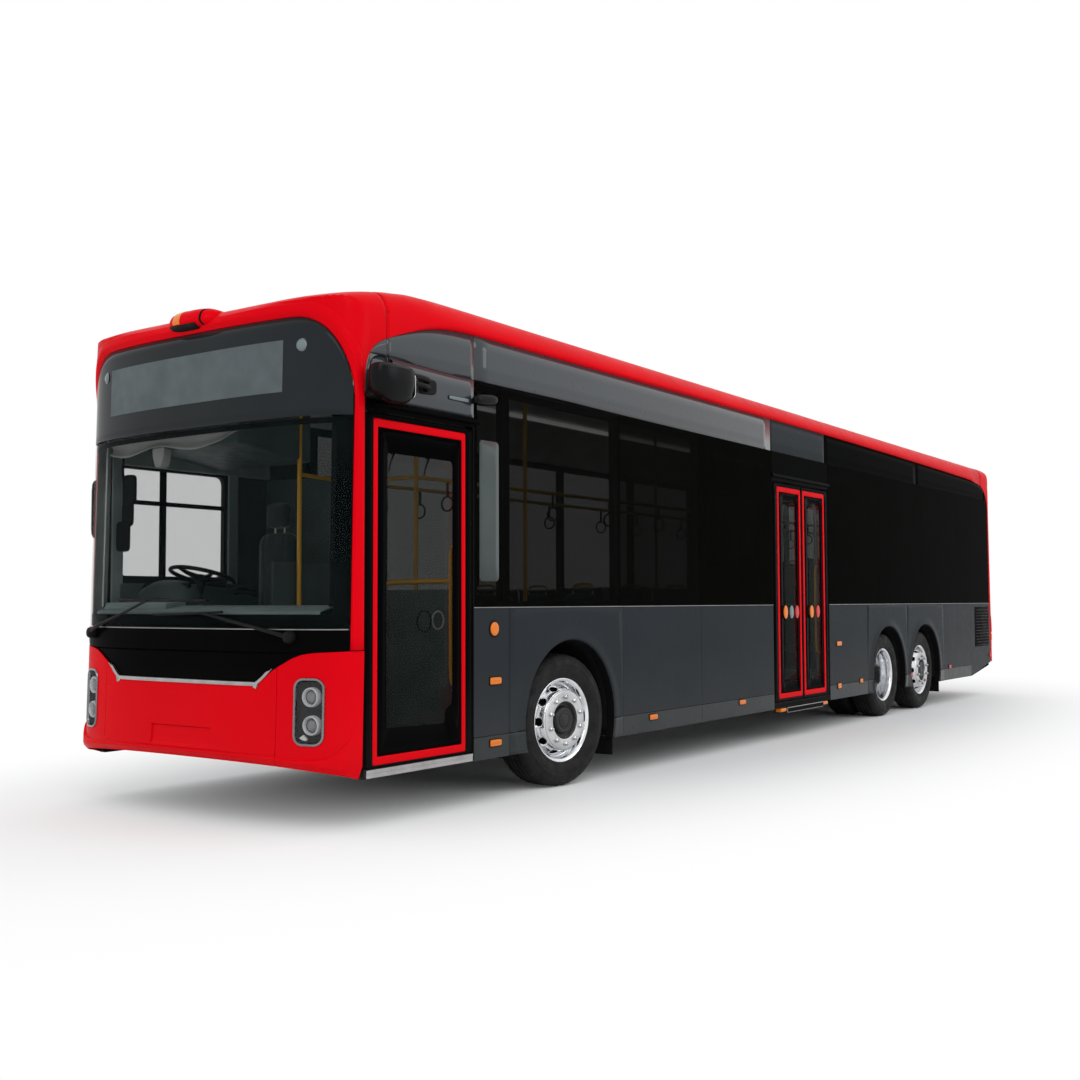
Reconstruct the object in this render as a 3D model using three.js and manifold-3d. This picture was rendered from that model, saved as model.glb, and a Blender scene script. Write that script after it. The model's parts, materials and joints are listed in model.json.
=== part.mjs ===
// Rigid low-floor electric city bus on three axles, for traffic that keeps to the left.
// Millimetres. +X is the bus's left, where the doors are, +Y runs to its rear, +Z is up.
// The origin is on the ground under the middle of the body. Lengths along the bus are given
// as distances from its front, and station() turns one into a Y coordinate.

import * as THREE from 'three';
import { mergeVertices } from 'three/addons/utils/BufferGeometryUtils.js';
import Module from 'manifold-3d';

// ---------------------------------------------------------------- driving dimensions

const bodyLength = 13540;
const halfWidth = 1250;
const roofHeight = 3310; // at the front, before it falls away by roofFall
const roofFall = 0.0045;
const skirtHeight = 300;
const wallThickness = 60;
const glassThickness = 8;
const gap = 0.3; // left between pieces that touch
const runningGap = 6; // left between pieces that move

const edgeStart = 3090; // the walls are upright to here and the roof's edge curves in above
const cantrailHeight = 3095; // where walls end and roof begins
const domeStart = 1350; // the roof curves down to the front from here
const noseDepth = 320; // the front's curve runs this far back along the sides
const noseRoundness = 2.75; // exponent of that curve
const capDepth = 506; // the front cap reaches this far back over the roof
const tailDepth = 165;
const tailRoundness = 4;
const frontLean = 0.02;

const floorTop = 370;
const cab = { inner: -250, rear: 1780, deck: 720 };
const floorThickness = 60;
const platformTop = 750;
const platformStart = 8250;
const sillTop = 355;

const axleHeight = 478;
const tyreHalfWidth = 138;
const tyreFace = 1215; // outer face of every tyre, from the centre line
const wheelSegments = 24;
const axles = { front: 2490, drive: 9110, tag: 10400 };
const arches = [
  // centre, radius
  { centre: 2500, radius: 580 },
  { centre: 9140, radius: 560 },
  { centre: 10460, radius: 560 },
];
const twinSpacing = 322;
const kingpinOffset = 970;
const steerAtRest = 6.5 * Math.PI / 180; // front wheels stand turned to the bus's right

const sideGlass = { bottom: 1298, top: 2777, border: 42 };
const leftPanes = {
  front: [1360, 1718, 3164, 4492, 5976],
  rear: [7364, 8864, 10364, 11864, 13200],
};
const rightPanes = [390, 1430, 2300, 3164, 4492, 5976, 7440, 8900, 10360, 11860, 13200];

const screen = {
  bottom: 1180, // foot of the windscreen
  splitLow: 2425, // the windscreen ends and the destination window begins
  splitHigh: 2433,
  top: 3030,
  halfSpan: 1226,
  wrap: 240, // the glass wraps back to here at both corners
  spring: 2500, // the upper corners start here
  shoulder: 850, // and end this far from the centre line
  roundness: 2.4,
};

const frontDoorway = { front: 322, rear: 1350, top: 2480 };
const midDoorway = { front: 5980, rear: 7360, top: 2500 };
const leafThickness = 45;
const leafBottom = 362;
const leafHeadGap = 12;
const postOffset = 1140; // door post axis, from the centre line
const pinOffset = 1185; // where an arm meets its leaf

const station = (fromFront) => fromFront - bodyLength / 2;

// ---------------------------------------------------------------- finishes

const finish = (color, roughness, metalness) =>
  new THREE.MeshStandardMaterial({ color, roughness, metalness });

const finishes = {
  redPaint: finish(0xd0091c, 0.25, 0.0),
  greyPaint: finish(0x3c4248, 0.25, 0.1),
  blackPaint: finish(0x0c0c0e, 0.3, 0.0),
  tintedGlass: finish(0x101416, 0.05, 0.0),
  clearGlass: finish(0x8fa3a6, 0.05, 0.0),
  rubber: finish(0x17181a, 0.8, 0.0),
  polishedAluminium: finish(0xd4d7da, 0.2, 1.0),
  steel: finish(0x2a2c2e, 0.55, 0.6),
  blackPlastic: finish(0x151618, 0.45, 0.0),
  floorVinyl: finish(0x5a6066, 0.7, 0.0),
  dashPlastic: finish(0x59605c, 0.65, 0.0),
  seatFabric: finish(0x23304a, 0.9, 0.0),
  yellowRail: finish(0xe0a51c, 0.4, 0.1),
  lampLens: finish(0xd9dde0, 0.1, 0.0),
  roofWhite: finish(0xd9dad8, 0.4, 0.0),
};

// ---------------------------------------------------------------- solids

const wasm = await Module();
wasm.setup();

// A closed solid from any closed three.js geometry, its faces turned outwards.
function solid(geometry) {
  geometry.deleteAttribute('normal');
  geometry.deleteAttribute('uv');
  const welded = mergeVertices(geometry, 1e-3);
  const index = welded.index.array;
  const triangles = [];
  for (let i = 0; i < index.length; i += 3) {
    const [a, b, c] = [index[i], index[i + 1], index[i + 2]];
    if (a !== b && b !== c && c !== a) triangles.push(a, b, c);
  }
  const build = (order) => new wasm.Manifold(new wasm.Mesh({
    numProp: 3,
    vertProperties: new Float32Array(welded.attributes.position.array),
    triVerts: new Uint32Array(order),
  }));
  const shape = build(triangles);
  return shape.volume() > 0 ? shape : build(triangles.reverse());
}

function geometryOf(shape) {
  const mesh = shape.getMesh();
  const geometry = new THREE.BufferGeometry();
  geometry.setAttribute('position', new THREE.BufferAttribute(new Float32Array(mesh.vertProperties), 3));
  geometry.setIndex(new THREE.BufferAttribute(new Uint32Array(mesh.triVerts), 1));
  return geometry;
}

const join = (shapes) => shapes.reduce((sum, shape) => sum.add(shape));
const cut = (shape, tools) => tools.reduce((rest, tool) => rest.subtract(tool), shape);

function block([x0, x1], [y0, y1], [z0, z1]) {
  const geometry = new THREE.BoxGeometry(x1 - x0, y1 - y0, z1 - z0);
  return solid(geometry.translate((x0 + x1) / 2, (y0 + y1) / 2, (z0 + z1) / 2));
}

// An outline of [first, second] pairs pushed along one axis: the pairs are (y, z) for 'x',
// (x, z) for 'y' and (x, y) for 'z'.
function prism(axis, outline, from, to) {
  const shape = new THREE.Shape(outline.map(([a, b]) => new THREE.Vector2(a, b)));
  const geometry = new THREE.ExtrudeGeometry(shape, { depth: to - from, bevelEnabled: false });
  if (axis === 'z') return solid(geometry.translate(0, 0, from));
  if (axis === 'y') return solid(geometry.rotateX(Math.PI / 2).translate(0, to, 0));
  const turn = new THREE.Matrix4().makeBasis(
    new THREE.Vector3(0, 1, 0), new THREE.Vector3(0, 0, 1), new THREE.Vector3(1, 0, 0));
  return solid(geometry.applyMatrix4(turn).translate(from, 0, 0));
}

function rod(axis, radius, from, to, [a, b], sides = 12) {
  const ring = Array.from({ length: sides }, (_, i) => {
    const angle = (i + 0.5) * 2 * Math.PI / sides;
    return [a + radius * Math.cos(angle), b + radius * Math.sin(angle)];
  });
  return prism(axis, ring, from, to);
}

// A round tube through a few points, with straight runs between them.
function tube(points, radius, sides = 6) {
  const ring = Array.from({ length: sides }, (_, i) => {
    const angle = i * 2 * Math.PI / sides;
    return new THREE.Vector2(radius * Math.cos(angle), radius * Math.sin(angle));
  });
  const runs = points.slice(1).map((end, i) => {
    const path = new THREE.LineCurve3(new THREE.Vector3(...points[i]), new THREE.Vector3(...end));
    return solid(new THREE.ExtrudeGeometry(new THREE.Shape(ring), { steps: 1, extrudePath: path }));
  });
  const knees = points.slice(1, -1).map(([x, y, z]) =>
    solid(new THREE.SphereGeometry(radius * 1.1, sides, 4).translate(x, y, z)));
  return join([...runs, ...knees]);
}

// A profile of [radius, outboard] pairs turned about the X axis, with a flat facet underneath.
function turned(profile, segments = wheelSegments) {
  const points = profile.map(([radius, outboard]) => new THREE.Vector2(radius, outboard));
  const closed = profile[0][0] > 0 ? [...points, points[0].clone()] : points;
  const geometry = new THREE.LatheGeometry(closed, segments, Math.PI / segments, 2 * Math.PI);
  return solid(geometry.rotateZ(-Math.PI / 2));
}

const bus = new THREE.Group();

function add(name, shape, material, group = bus) {
  const mesh = new THREE.Mesh(geometryOf(shape), material);
  mesh.name = name;
  group.add(mesh);
  return mesh;
}

// ---------------------------------------------------------------- body envelope

// Half of a rounded-square curve: (across, depth) from one corner round the end to the other.
function endCurve(halfSpan, depth, roundness, steps) {
  return Array.from({ length: steps + 1 }, (_, i) => {
    const angle = Math.PI * i / steps;
    const across = halfSpan * Math.sign(Math.cos(angle)) * Math.abs(Math.cos(angle)) ** (2 / roundness);
    return [across, depth * (1 - Math.sin(angle) ** (2 / roundness))];
  });
}

// The body drawn in by inset all round. An inner body runs out below, so that the shell is open there.
function envelope(inset, isInner) {
  const side = halfWidth - inset;
  const low = isInner ? -100 : 0;

  const edge = { across: 220 - inset, up: 210 - inset };
  const shoulder = Array.from({ length: 7 }, (_, i) => {
    const angle = (Math.PI / 2) * (i + 1) / 7;
    return [side - edge.across * (1 - Math.cos(angle)), edgeStart + edge.up * Math.sin(angle)];
  });
  const section = [
    [side, low], [side, edgeStart], ...shoulder, [0, roofHeight - inset],
    ...shoulder.map(([x, z]) => [-x, z]).reverse(), [-side, edgeStart], [-side, low],
  ];
  const bar = prism('y', section, station(-300), station(bodyLength + 300));

  const lean = (geometryShape, slope) => geometryShape.warp((v) => { v[1] += slope * (v[2] - skirtHeight); });
  const nose = endCurve(side, noseDepth - inset, noseRoundness, 18).map(([x, y]) => [x, station(inset + y)]);
  const behind = [[-side, station(bodyLength + 200)], [side, station(bodyLength + 200)]];
  const noseEnd = prism('z', [...nose, ...behind], -100, 3400);
  const tail = endCurve(side, tailDepth - inset, tailRoundness, 16)
    .map(([x, y]) => [x, station(bodyLength - inset - y)]);
  const tailEnd = prism('z', [...tail, [-side, station(-200)], [side, station(-200)]], -100, 3400);

  // Quarter of a rounded-square curve from an end face up to the roof.
  const dome = (centre, reach, rise, roundness, steps) => Array.from({ length: steps + 1 }, (_, i) => {
    const angle = (Math.PI / 2) * i / steps;
    const along = Math.abs(Math.cos(angle)) ** (2 / roundness);
    const up = Math.sin(angle) ** (2 / roundness);
    return [station(centre) + reach * along, roofHeight - inset + 2 - rise * (1 - up)];
  });
  const top = [
    ...dome(domeStart, inset - 1290, 228 - inset / 2, 1.9, 9),
    ...dome(bodyLength - 330, 330 - inset, 260 - inset, 2, 5).reverse(),
  ];
  const underside = isInner
    ? [[station(bodyLength - inset), -100], [station(0), -100]]
    : [[station(bodyLength), 450], [station(12440), skirtHeight], [station(320), skirtHeight],
      [station(131), 340], [station(-20), 388]];
  const profile = prism('x', [...top, ...underside], -halfWidth - 50, halfWidth + 50);

  const full = bar.intersect(lean(noseEnd, frontLean)).intersect(lean(tailEnd, -0.02)).intersect(profile);
  return full.warp((v) => {
    const share = Math.max(0, v[2] - edgeStart) / (roofHeight - edgeStart);
    v[2] -= roofFall * share * Math.max(0, v[1] - station(domeStart));
  });
}

const outerBody = envelope(0, false);
const shell = outerBody.subtract(envelope(wallThickness, true));
const glassSkin = outerBody.subtract(envelope(glassThickness, true));

const everyX = [-halfWidth - 40, halfWidth + 40];
const everyZ = [-50, 3400];
const region = (x, s, z) => block(x, [station(s[0]), station(s[1])], z);

// ---------------------------------------------------------------- roof, cap, front and rear

// Front view of the whole glazed area, drawn in by margin: straight sides, rounded upper corners.
function screenOutline(margin) {
  const reach = screen.halfSpan - screen.shoulder - margin;
  const rise = screen.top - screen.spring - margin;
  const corner = Array.from({ length: 9 }, (_, i) => {
    const angle = (Math.PI / 2) * i / 8;
    return [
      screen.shoulder + reach * Math.cos(angle) ** (2 / screen.roundness),
      screen.spring + rise * Math.sin(angle) ** (2 / screen.roundness),
    ];
  });
  const half = [[screen.halfSpan - margin, screen.bottom - 200], ...corner];
  return [...half, ...half.map(([x, z]) => [-x, z]).reverse()];
}

const screenHole = prism('y', screenOutline(0), station(-100), station(screen.wrap));
const screenFit = prism('y', screenOutline(2), station(-100), station(screen.wrap - 2));

const hoopSeat = region(everyX, [-100, noseDepth - gap], [screen.bottom + gap, 3400]);
const hoopTop = region(everyX, [-100, capDepth - gap], [cantrailHeight + gap, 3400]);
add('front_hoop', shell.intersect(hoopSeat.add(hoopTop)).subtract(screenHole), finishes.redPaint);

add('windscreen', glassSkin.intersect(screenFit).intersect(
  region(everyX, [-100, 400], [screen.bottom + 2, screen.splitLow])), finishes.clearGlass);
add('destination_window', glassSkin.intersect(screenFit).intersect(
  region(everyX, [-100, 400], [screen.splitHigh, 3100])), finishes.tintedGlass);

add('roof', shell.intersect(region(everyX, [capDepth, bodyLength + 50], [cantrailHeight + gap, 3400])),
  finishes.redPaint);

// The front panel carries a flat number-plate seat and a housing for each headlamp cluster.
const plate = { halfLength: 285, bottom: 440, top: 577, depth: 14 };
const lampPocket = { inner: 936, outer: 1120, bottom: 503, top: 897, depth: 200, wall: 20 };
const plateSeat = region([-plate.halfLength, plate.halfLength], [-50, plate.depth],
  [plate.bottom, plate.top]);
const lampBox = (sign, grow) => region(
  [sign * (lampPocket.inner - grow), sign * (lampPocket.outer + grow)].sort((p, q) => p - q),
  [-50, lampPocket.depth + grow], [lampPocket.bottom - grow, lampPocket.top + grow]);
const housings = [1, -1].map((sign) => outerBody.intersect(lampBox(sign, lampPocket.wall)));
const frontZone = region(everyX, [-100, noseDepth - gap], [-50, screen.bottom - gap]);
add('front_panel', cut(join([shell.intersect(frontZone), ...housings]),
  [plateSeat, ...[1, -1].map((sign) => lampBox(sign, 0))]), finishes.redPaint);

add('left_headlamp', outerBody.intersect(lampBox(1, -2)), finishes.lampLens);
add('right_headlamp', outerBody.intersect(lampBox(-1, -2)), finishes.lampLens);

const tailStart = bodyLength - 270;
const rearGlass = { halfLength: 980, bottom: 1500, top: 2720 };
const rearGlassSeat = region([-rearGlass.halfLength, rearGlass.halfLength], [bodyLength - 200, bodyLength + 50],
  [rearGlass.bottom, rearGlass.top]);
const rearPlateSeat = region([-260, 260], [bodyLength - 18, bodyLength + 50], [700, 850]);
add('rear_end', cut(shell.intersect(region(everyX, [tailStart + gap, bodyLength + 50], [-50, cantrailHeight])),
  [rearGlassSeat, rearPlateSeat]), finishes.greyPaint);
add('rear_window', glassSkin.intersect(region([-rearGlass.halfLength + 2, rearGlass.halfLength - 2],
  [bodyLength - 200, bodyLength + 50], [rearGlass.bottom + 2, rearGlass.top - 2])), finishes.tintedGlass);

// ---------------------------------------------------------------- side walls and their glass

const archHoles = arches.map(({ centre, radius }) =>
  rod('x', radius, -halfWidth - 60, halfWidth + 60, [station(centre), axleHeight], 28));
const wallSpan = [noseDepth, tailStart];
const glassInner = halfWidth - glassThickness;

// The row of through holes behind one run of panes, with a pillar at every seam.
const bays = (seams, x) => seams.slice(1).map((end, i) => region(x,
  [seams[i] + sideGlass.border, end - sideGlass.border],
  [sideGlass.bottom + sideGlass.border, sideGlass.top - sideGlass.border]));

function wall(sign, runs, doorways) {
  const inner = halfWidth - wallThickness;
  const across = (a, b) => [sign * a, sign * b].sort((p, q) => p - q);
  const holes = across(inner - 20, halfWidth + 30);
  const side = shell.intersect(region(across(inner - 5, halfWidth + 30), wallSpan, [-50, cantrailHeight]));
  return cut(side, [
    ...archHoles,
    ...runs.flatMap((seams) => bays(seams, holes)),
    ...runs.map((seams) => region(across(glassInner - gap, halfWidth + 30), [seams[0], seams.at(-1)],
      [sideGlass.bottom, sideGlass.top])),
    ...doorways.map(({ front, rear, top }) => region(holes, [front, rear], [-50, top])),
  ]);
}

const pane = (sign, seams) => region([sign * glassInner, sign * halfWidth].sort((p, q) => p - q),
  [seams[0] + 2, seams.at(-1) - 2], [sideGlass.bottom + 2, sideGlass.top - 2]);

const doorways = [{ ...frontDoorway, front: noseDepth - 5 }, midDoorway];
add('left_side', wall(1, [leftPanes.front, leftPanes.rear], doorways), finishes.greyPaint);
add('right_side', wall(-1, [rightPanes], []), finishes.greyPaint);
add('left_front_windows', pane(1, leftPanes.front), finishes.tintedGlass);
add('left_rear_windows', pane(1, leftPanes.rear), finishes.tintedGlass);
add('right_windows', pane(-1, rightPanes), finishes.tintedGlass);

// ---------------------------------------------------------------- floor and underframe

const wheelBoxes = [
  // from and to along the bus, top of the space inside, deck that the box stands on
  { from: 1900, to: 3090, top: 1075, deck: floorTop },
  { from: 8545, to: 11040, top: 1075, deck: platformTop },
];
const boxInner = 590;
const boxWall = 20;
const thinUntil = 1000; // ahead of here the floor is thin, to clear the rising underside of the nose
const thinBottom = 342;
const floorEdge = halfWidth - wallThickness - gap;

function floorSolid() {
  const both = [-floorEdge, floorEdge];
  const slab = [floorTop - floorThickness, floorTop];
  const low = region(both, [cab.rear - 20, platformStart], slab);
  const entrance = region([cab.inner - 20, floorEdge], [thinUntil - 10, cab.rear], slab);
  const entranceNose = region([cab.inner - 20, floorEdge], [noseDepth, thinUntil], [thinBottom, floorTop]);
  const cabDeck = region([-floorEdge, cab.inner], [noseDepth + 15, cab.rear],
    [cab.deck - floorThickness, cab.deck]);
  const cabSide = region([cab.inner - 20, cab.inner], [noseDepth + 15, cab.rear], [thinBottom, cab.deck]);
  const cabBack = region([-floorEdge, cab.inner], [cab.rear - 20, cab.rear], [slab[0], cab.deck]);
  const riser = region(both, [platformStart - 40, platformStart], [floorTop - floorThickness, platformTop]);
  const step = region(both, [platformStart - 300, platformStart - 20],
    [floorTop - 10, (floorTop + platformTop) / 2]);
  const platform = region(both, [platformStart - 40, tailStart], [platformTop - floorThickness, platformTop]);
  const boxes = [];
  const spaces = [];
  for (const { from, to, top, deck } of wheelBoxes) {
    for (const sign of [1, -1]) {
      const across = (a, b) => [sign * a, sign * b].sort((p, q) => p - q);
      boxes.push(region(across(boxInner - boxWall, floorEdge), [from - boxWall, to + boxWall],
        [deck - floorThickness, top + boxWall]));
      spaces.push(region(across(boxInner, halfWidth), [from, to], [0, top]));
    }
  }
  const sills = [frontDoorway, midDoorway].map(({ front, rear }) =>
    region([floorEdge - 10, halfWidth - 1], [Math.max(front, noseDepth) + 2, rear - 2],
      [skirtHeight + 4, sillTop]));
  const decks = [low, entrance, entranceNose, cabDeck, cabSide, cabBack, riser, step, platform];
  return cut(join([...decks, ...boxes, ...sills]), spaces);
}
add('floor', floorSolid(), finishes.floorVinyl);

const railSpan = { inner: 420, outer: 480 };
const crossHalfLength = 900;
function underframe() {
  const beams = [];
  for (const sign of [1, -1]) {
    const across = [sign * railSpan.inner, sign * railSpan.outer].sort((p, q) => p - q);
    beams.push(region(across, [1050, 8340], [250, floorTop - floorThickness - gap]));
    beams.push(region(across, [8260, 8340], [250, platformTop - floorThickness - gap]));
    beams.push(region(across, [8260, 13100], [610, platformTop - floorThickness - gap]));
  }
  const crossings = [
    // distance from the front, bottom, top
    [1500, 250, 309], [3400, 250, 309], [4900, 250, 309], [6500, 250, 309], [8260, 250, 309],
    [11140, 610, 689], [13020, 610, 689],
  ];
  for (const [from, bottom, top] of crossings) {
    beams.push(region([-crossHalfLength, crossHalfLength], [from, from + 80], [bottom, top]));
  }
  return join(beams);
}
add('underframe', underframe(), finishes.steel);

add('battery_pack', region([-1100, 1100], [11300, 12900], [400, 600]), finishes.steel);

// ---------------------------------------------------------------- wheels, knuckles and axles

// Profiles run (radius, outboard) from the middle of the wheel.
const bead = { radius: 287, halfWidth: 100 };
const rolling = axleHeight / Math.cos(Math.PI / wheelSegments);
const tyreProfile = [
  [bead.radius, -bead.halfWidth], [400, -tyreHalfWidth], [rolling, -105],
  [rolling, 105], [400, tyreHalfWidth], [bead.radius, bead.halfWidth],
];
const barrel = 285.5;
const barrelHalf = 100.5;
const lip = { radius: 303, out: 116, bore: 271, boreOut: 107 };
// A single rim: its disc stands out to the outer face.
const singleRimProfile = [
  [0, 140], [100, 140], [205, 144], [216, 134], [258, 52], [lip.bore, lip.boreOut], [lip.radius, lip.out],
  [barrel, barrelHalf], [barrel, -barrelHalf], [lip.radius, -lip.out], [lip.bore, -lip.boreOut],
  [248, 40], [206, 118], [0, 96],
];
// A twin pair: two barrels with their discs bolted together between them, deep in the outer one.
const half = twinSpacing / 2;
const twinRimProfile = [
  [0, half - 26], [95, half - 26], [110, 12], [236, 12], [lip.bore, half + lip.boreOut],
  [lip.radius, half + lip.out], [barrel, half + barrelHalf], [barrel, half - barrelHalf],
  [lip.radius, half - lip.out], [lip.bore, half - lip.out], [lip.bore, lip.out - half],
  [lip.radius, lip.out - half], [barrel, barrelHalf - half], [barrel, -half - barrelHalf],
  [lip.radius, -half - lip.out], [lip.bore, -half - lip.boreOut], [236, -12], [0, -12],
];

const wheelCentre = tyreFace - tyreHalfWidth;
const twinCentre = wheelCentre - half;

function wheelGroup(sign, across, along, turn = 0) {
  const group = new THREE.Group();
  group.position.set(sign * across, station(along), axleHeight);
  group.rotation.z = (sign > 0 ? 0 : Math.PI) + turn;
  bus.add(group);
  return group;
}

const hubRadius = 150;
function knuckle() {
  const offset = wheelCentre - kingpinOffset;
  const eye = rod('z', 60, -88, 88, [-offset, 0], 16);
  const stub = rod('x', 55, -offset, 50, [0, 0], 16);
  const brake = rod('x', hubRadius, -offset + 70, -30 + 60, [0, 0], 20);
  return join([eye, stub, brake]);
}

for (const [side, sign] of [['left', 1], ['right', -1]]) {
  const steered = wheelGroup(sign, kingpinOffset, axles.front, -steerAtRest);
  const hub = new THREE.Group();
  hub.position.x = wheelCentre - kingpinOffset;
  steered.add(hub);
  add(`${side}_knuckle`, knuckle(), finishes.steel, hub);
  add(`front_${side}_tyre`, turned(tyreProfile), finishes.rubber, hub);
  add(`front_${side}_rim`, turned(singleRimProfile), finishes.polishedAluminium, hub);

  const pair = wheelGroup(sign, twinCentre, axles.drive);
  for (const [place, shift] of [['outer', half], ['inner', -half]]) {
    add(`drive_${side}_${place}_tyre`, turned(tyreProfile).translate([shift, 0, 0]), finishes.rubber, pair);
  }
  add(`drive_${side}_rims`, turned(twinRimProfile), finishes.polishedAluminium, pair);

  const tag = wheelGroup(sign, wheelCentre, axles.tag);
  add(`tag_${side}_tyre`, turned(tyreProfile), finishes.rubber, tag);
  add(`tag_${side}_rim`, turned(singleRimProfile), finishes.polishedAluminium, tag);
}

function frontAxle() {
  const y = station(axles.front);
  const parts = [block([-840, 840], [y - 60, y + 60], [165, 243])];
  for (const sign of [1, -1]) {
    const across = (a, b) => [sign * a, sign * b].sort((p, q) => p - q);
    parts.push(block(across(760, 840), [y - 60, y + 60], [165, axleHeight + 160]));
    for (const [low, high] of [[-160, -96], [96, 160]]) {
      parts.push(block(across(760, kingpinOffset), [y - 50, y + 50], [axleHeight + low, axleHeight + high]));
      parts.push(rod('z', 50, axleHeight + low, axleHeight + high, [sign * kingpinOffset, y], 16));
    }
  }
  return join(parts);
}
add('front_axle', frontAxle(), finishes.steel);

function rigidAxle(along, hubInner, hubOuter, motorRadius) {
  const at = [station(along), axleHeight];
  return join([
    rod('x', 62, -hubOuter, hubOuter, at, 14),
    rod('x', hubRadius, -hubOuter + 20, -hubInner, at, 20),
    rod('x', hubRadius, hubInner, hubOuter - 20, at, 20),
    rod('x', motorRadius, -180, 180, at, 16),
  ]);
}
add('drive_axle', rigidAxle(axles.drive, 660, 895, 125), finishes.steel);
add('tag_axle', rigidAxle(axles.tag, 990, 1110, 64), finishes.steel);

// ---------------------------------------------------------------- doors

// A leaf hangs on two goosenecked arms from an upright post at one jamb. As the post turns, the
// leaf swings out and along the side, and it stays parallel to the side all the way.
const doors = [
  // name, jamb side the post stands at (1 at the front, -1 at the rear), leaf ends, pin place
  { name: 'front_door', post: 1, post_at: 387, from: 337, to: 1340, pin: 800, doorway: frontDoorway },
  { name: 'mid_door_front', post: 1, post_at: 6042, from: 5998, to: 6664, pin: 6370, doorway: midDoorway },
  { name: 'mid_door_rear', post: -1, post_at: 7298, from: 6676, to: 7342, pin: 6970, doorway: midDoorway },
];
const leafBorder = 62;
const armHeights = [430, 2395];
const armRadius = 12;

for (const { name, post, post_at, from, to, pin, doorway } of doors) {
  const top = doorway.top - leafHeadGap;
  const outer = [halfWidth - leafThickness, halfWidth];
  const glassSpan = [from + leafBorder, to - leafBorder];
  const frame = cut(region(outer, [from, to], [leafBottom, top]),
    [region([halfWidth - 100, halfWidth + 20], glassSpan, [leafBottom + 110, top - 150])]);
  const lugs = armHeights.flatMap((z) => [z - 40, z + 40].map((middle) =>
    region([pinOffset - 20, halfWidth - leafThickness + 5], [pin - 22, pin + 22], [middle - 10, middle + 10])));
  add(name, join([frame, ...lugs]), finishes.blackPaint);
  add(`${name}_glass`, region([halfWidth - 26, halfWidth - 8], [glassSpan[0] + gap, glassSpan[1] - gap],
    [leafBottom + 110 + gap, top - 150 - gap]), finishes.clearGlass);

  // The neck leaves the post at 45 degrees into the bus and away from the jamb.
  const postAxis = [postOffset, station(post_at)];
  const neck = 130 * Math.SQRT1_2;
  const arms = armHeights.map((z) => tube([
    [...postAxis, z],
    [postAxis[0] - neck, postAxis[1] + post * neck, z],
    [pinOffset, station(pin), z],
  ], armRadius));
  const pins = armHeights.map((z) => rod('z', 14, z - 25, z + 25, [pinOffset, station(pin)], 10));
  const upright = rod('z', 22, floorTop + runningGap, doorway.top - 60, postAxis, 12);
  add(`${name}_arms`, join([upright, ...arms, ...pins]), finishes.steel);
}

// ---------------------------------------------------------------- outside fittings

function mirror(sign, { base, head, arm }) {
  const across = (a, b) => [sign * a, sign * b].sort((p, q) => p - q);
  const housing = region(across(head.inner, head.outer), [head.from, head.to], [head.bottom, head.top]);
  const points = arm.map(([x, s, z]) => [sign * x, station(s), z]);
  const foot = region(across(halfWidth + gap, halfWidth + 30), [base.from, base.to], [base.bottom, base.top]);
  return join([foot, tube(points, 18), housing]);
}
add('left_mirror', mirror(1, {
  base: { from: 865, to: 965, bottom: 2635, top: 2725 },
  arm: [[halfWidth + 20, 915, 2680], [1340, 850, 2690], [1370, 560, 2660]],
  head: { inner: 1290, outer: 1450, from: 255, to: 600, bottom: 2508, top: 2740 },
}), finishes.blackPlastic);
add('right_mirror', mirror(-1, {
  base: { from: 440, to: 540, bottom: 2500, top: 2620 },
  arm: [[halfWidth + 20, 490, 2560], [1320, 455, 2530], [1340, 410, 2400], [1360, 385, 2180]],
  head: { inner: 1305, outer: 1415, from: 315, to: 455, bottom: 1790, top: 2215 },
}), finishes.blackPlastic);

// The pod straddles the cap's front edge and is cut to the cap beneath it.
const podBody = region([-215, 215], [25, 330], [3052, 3188]);
add('roof_pod', podBody.subtract(outerBody.translate([0, -gap, gap])), finishes.redPaint);

// How far behind the front plane the body's skin lies, at a place in the front view.
const noseSkin = (x, z) =>
  noseDepth * (1 - (1 - Math.abs(x / halfWidth) ** noseRoundness) ** (1 / noseRoundness))
  + frontLean * (z - skirtHeight);

const wipers = [
  // pivot, then the blade's two ends and its middle, as (across, height) in the front view
  { name: 'right_wiper', pivot: [-1020, 1138], from: [-670, 1358], middle: [-330, 1352], to: [240, 1348] },
  { name: 'left_wiper', pivot: [905, 1132], from: [-275, 1262], middle: [200, 1272], to: [369, 1278] },
];
for (const { name, pivot, from, middle, to } of wipers) {
  const over = ([x, z], lift) => [x, station(noseSkin(x, z) - lift), z];
  const between = (a, b) => [(a[0] + b[0]) / 2, (a[1] + b[1]) / 2];
  add(name, join([
    tube([over(pivot, 9), over(pivot, 34)], 16),
    tube([over(pivot, 30), over(between(pivot, middle), 36), over(middle, 30)], 9),
    tube([over(from, 24), over(middle, 24), over(to, 24)], 10),
  ]), finishes.blackPlastic);
}

// ---------------------------------------------------------------- inside

const driver = { across: -650, wheelAt: 705, wheelHeight: 1520, columnLength: 380 };
const columnTilt = 0.28; // the steering column leans back from upright by this much
const columnRun = (length) => [driver.across, station(driver.wheelAt - length * Math.sin(columnTilt)),
  driver.wheelHeight - length * Math.cos(columnTilt)];
const column = (radius, length) => tube([columnRun(length), columnRun(0)], radius, 10);

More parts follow.
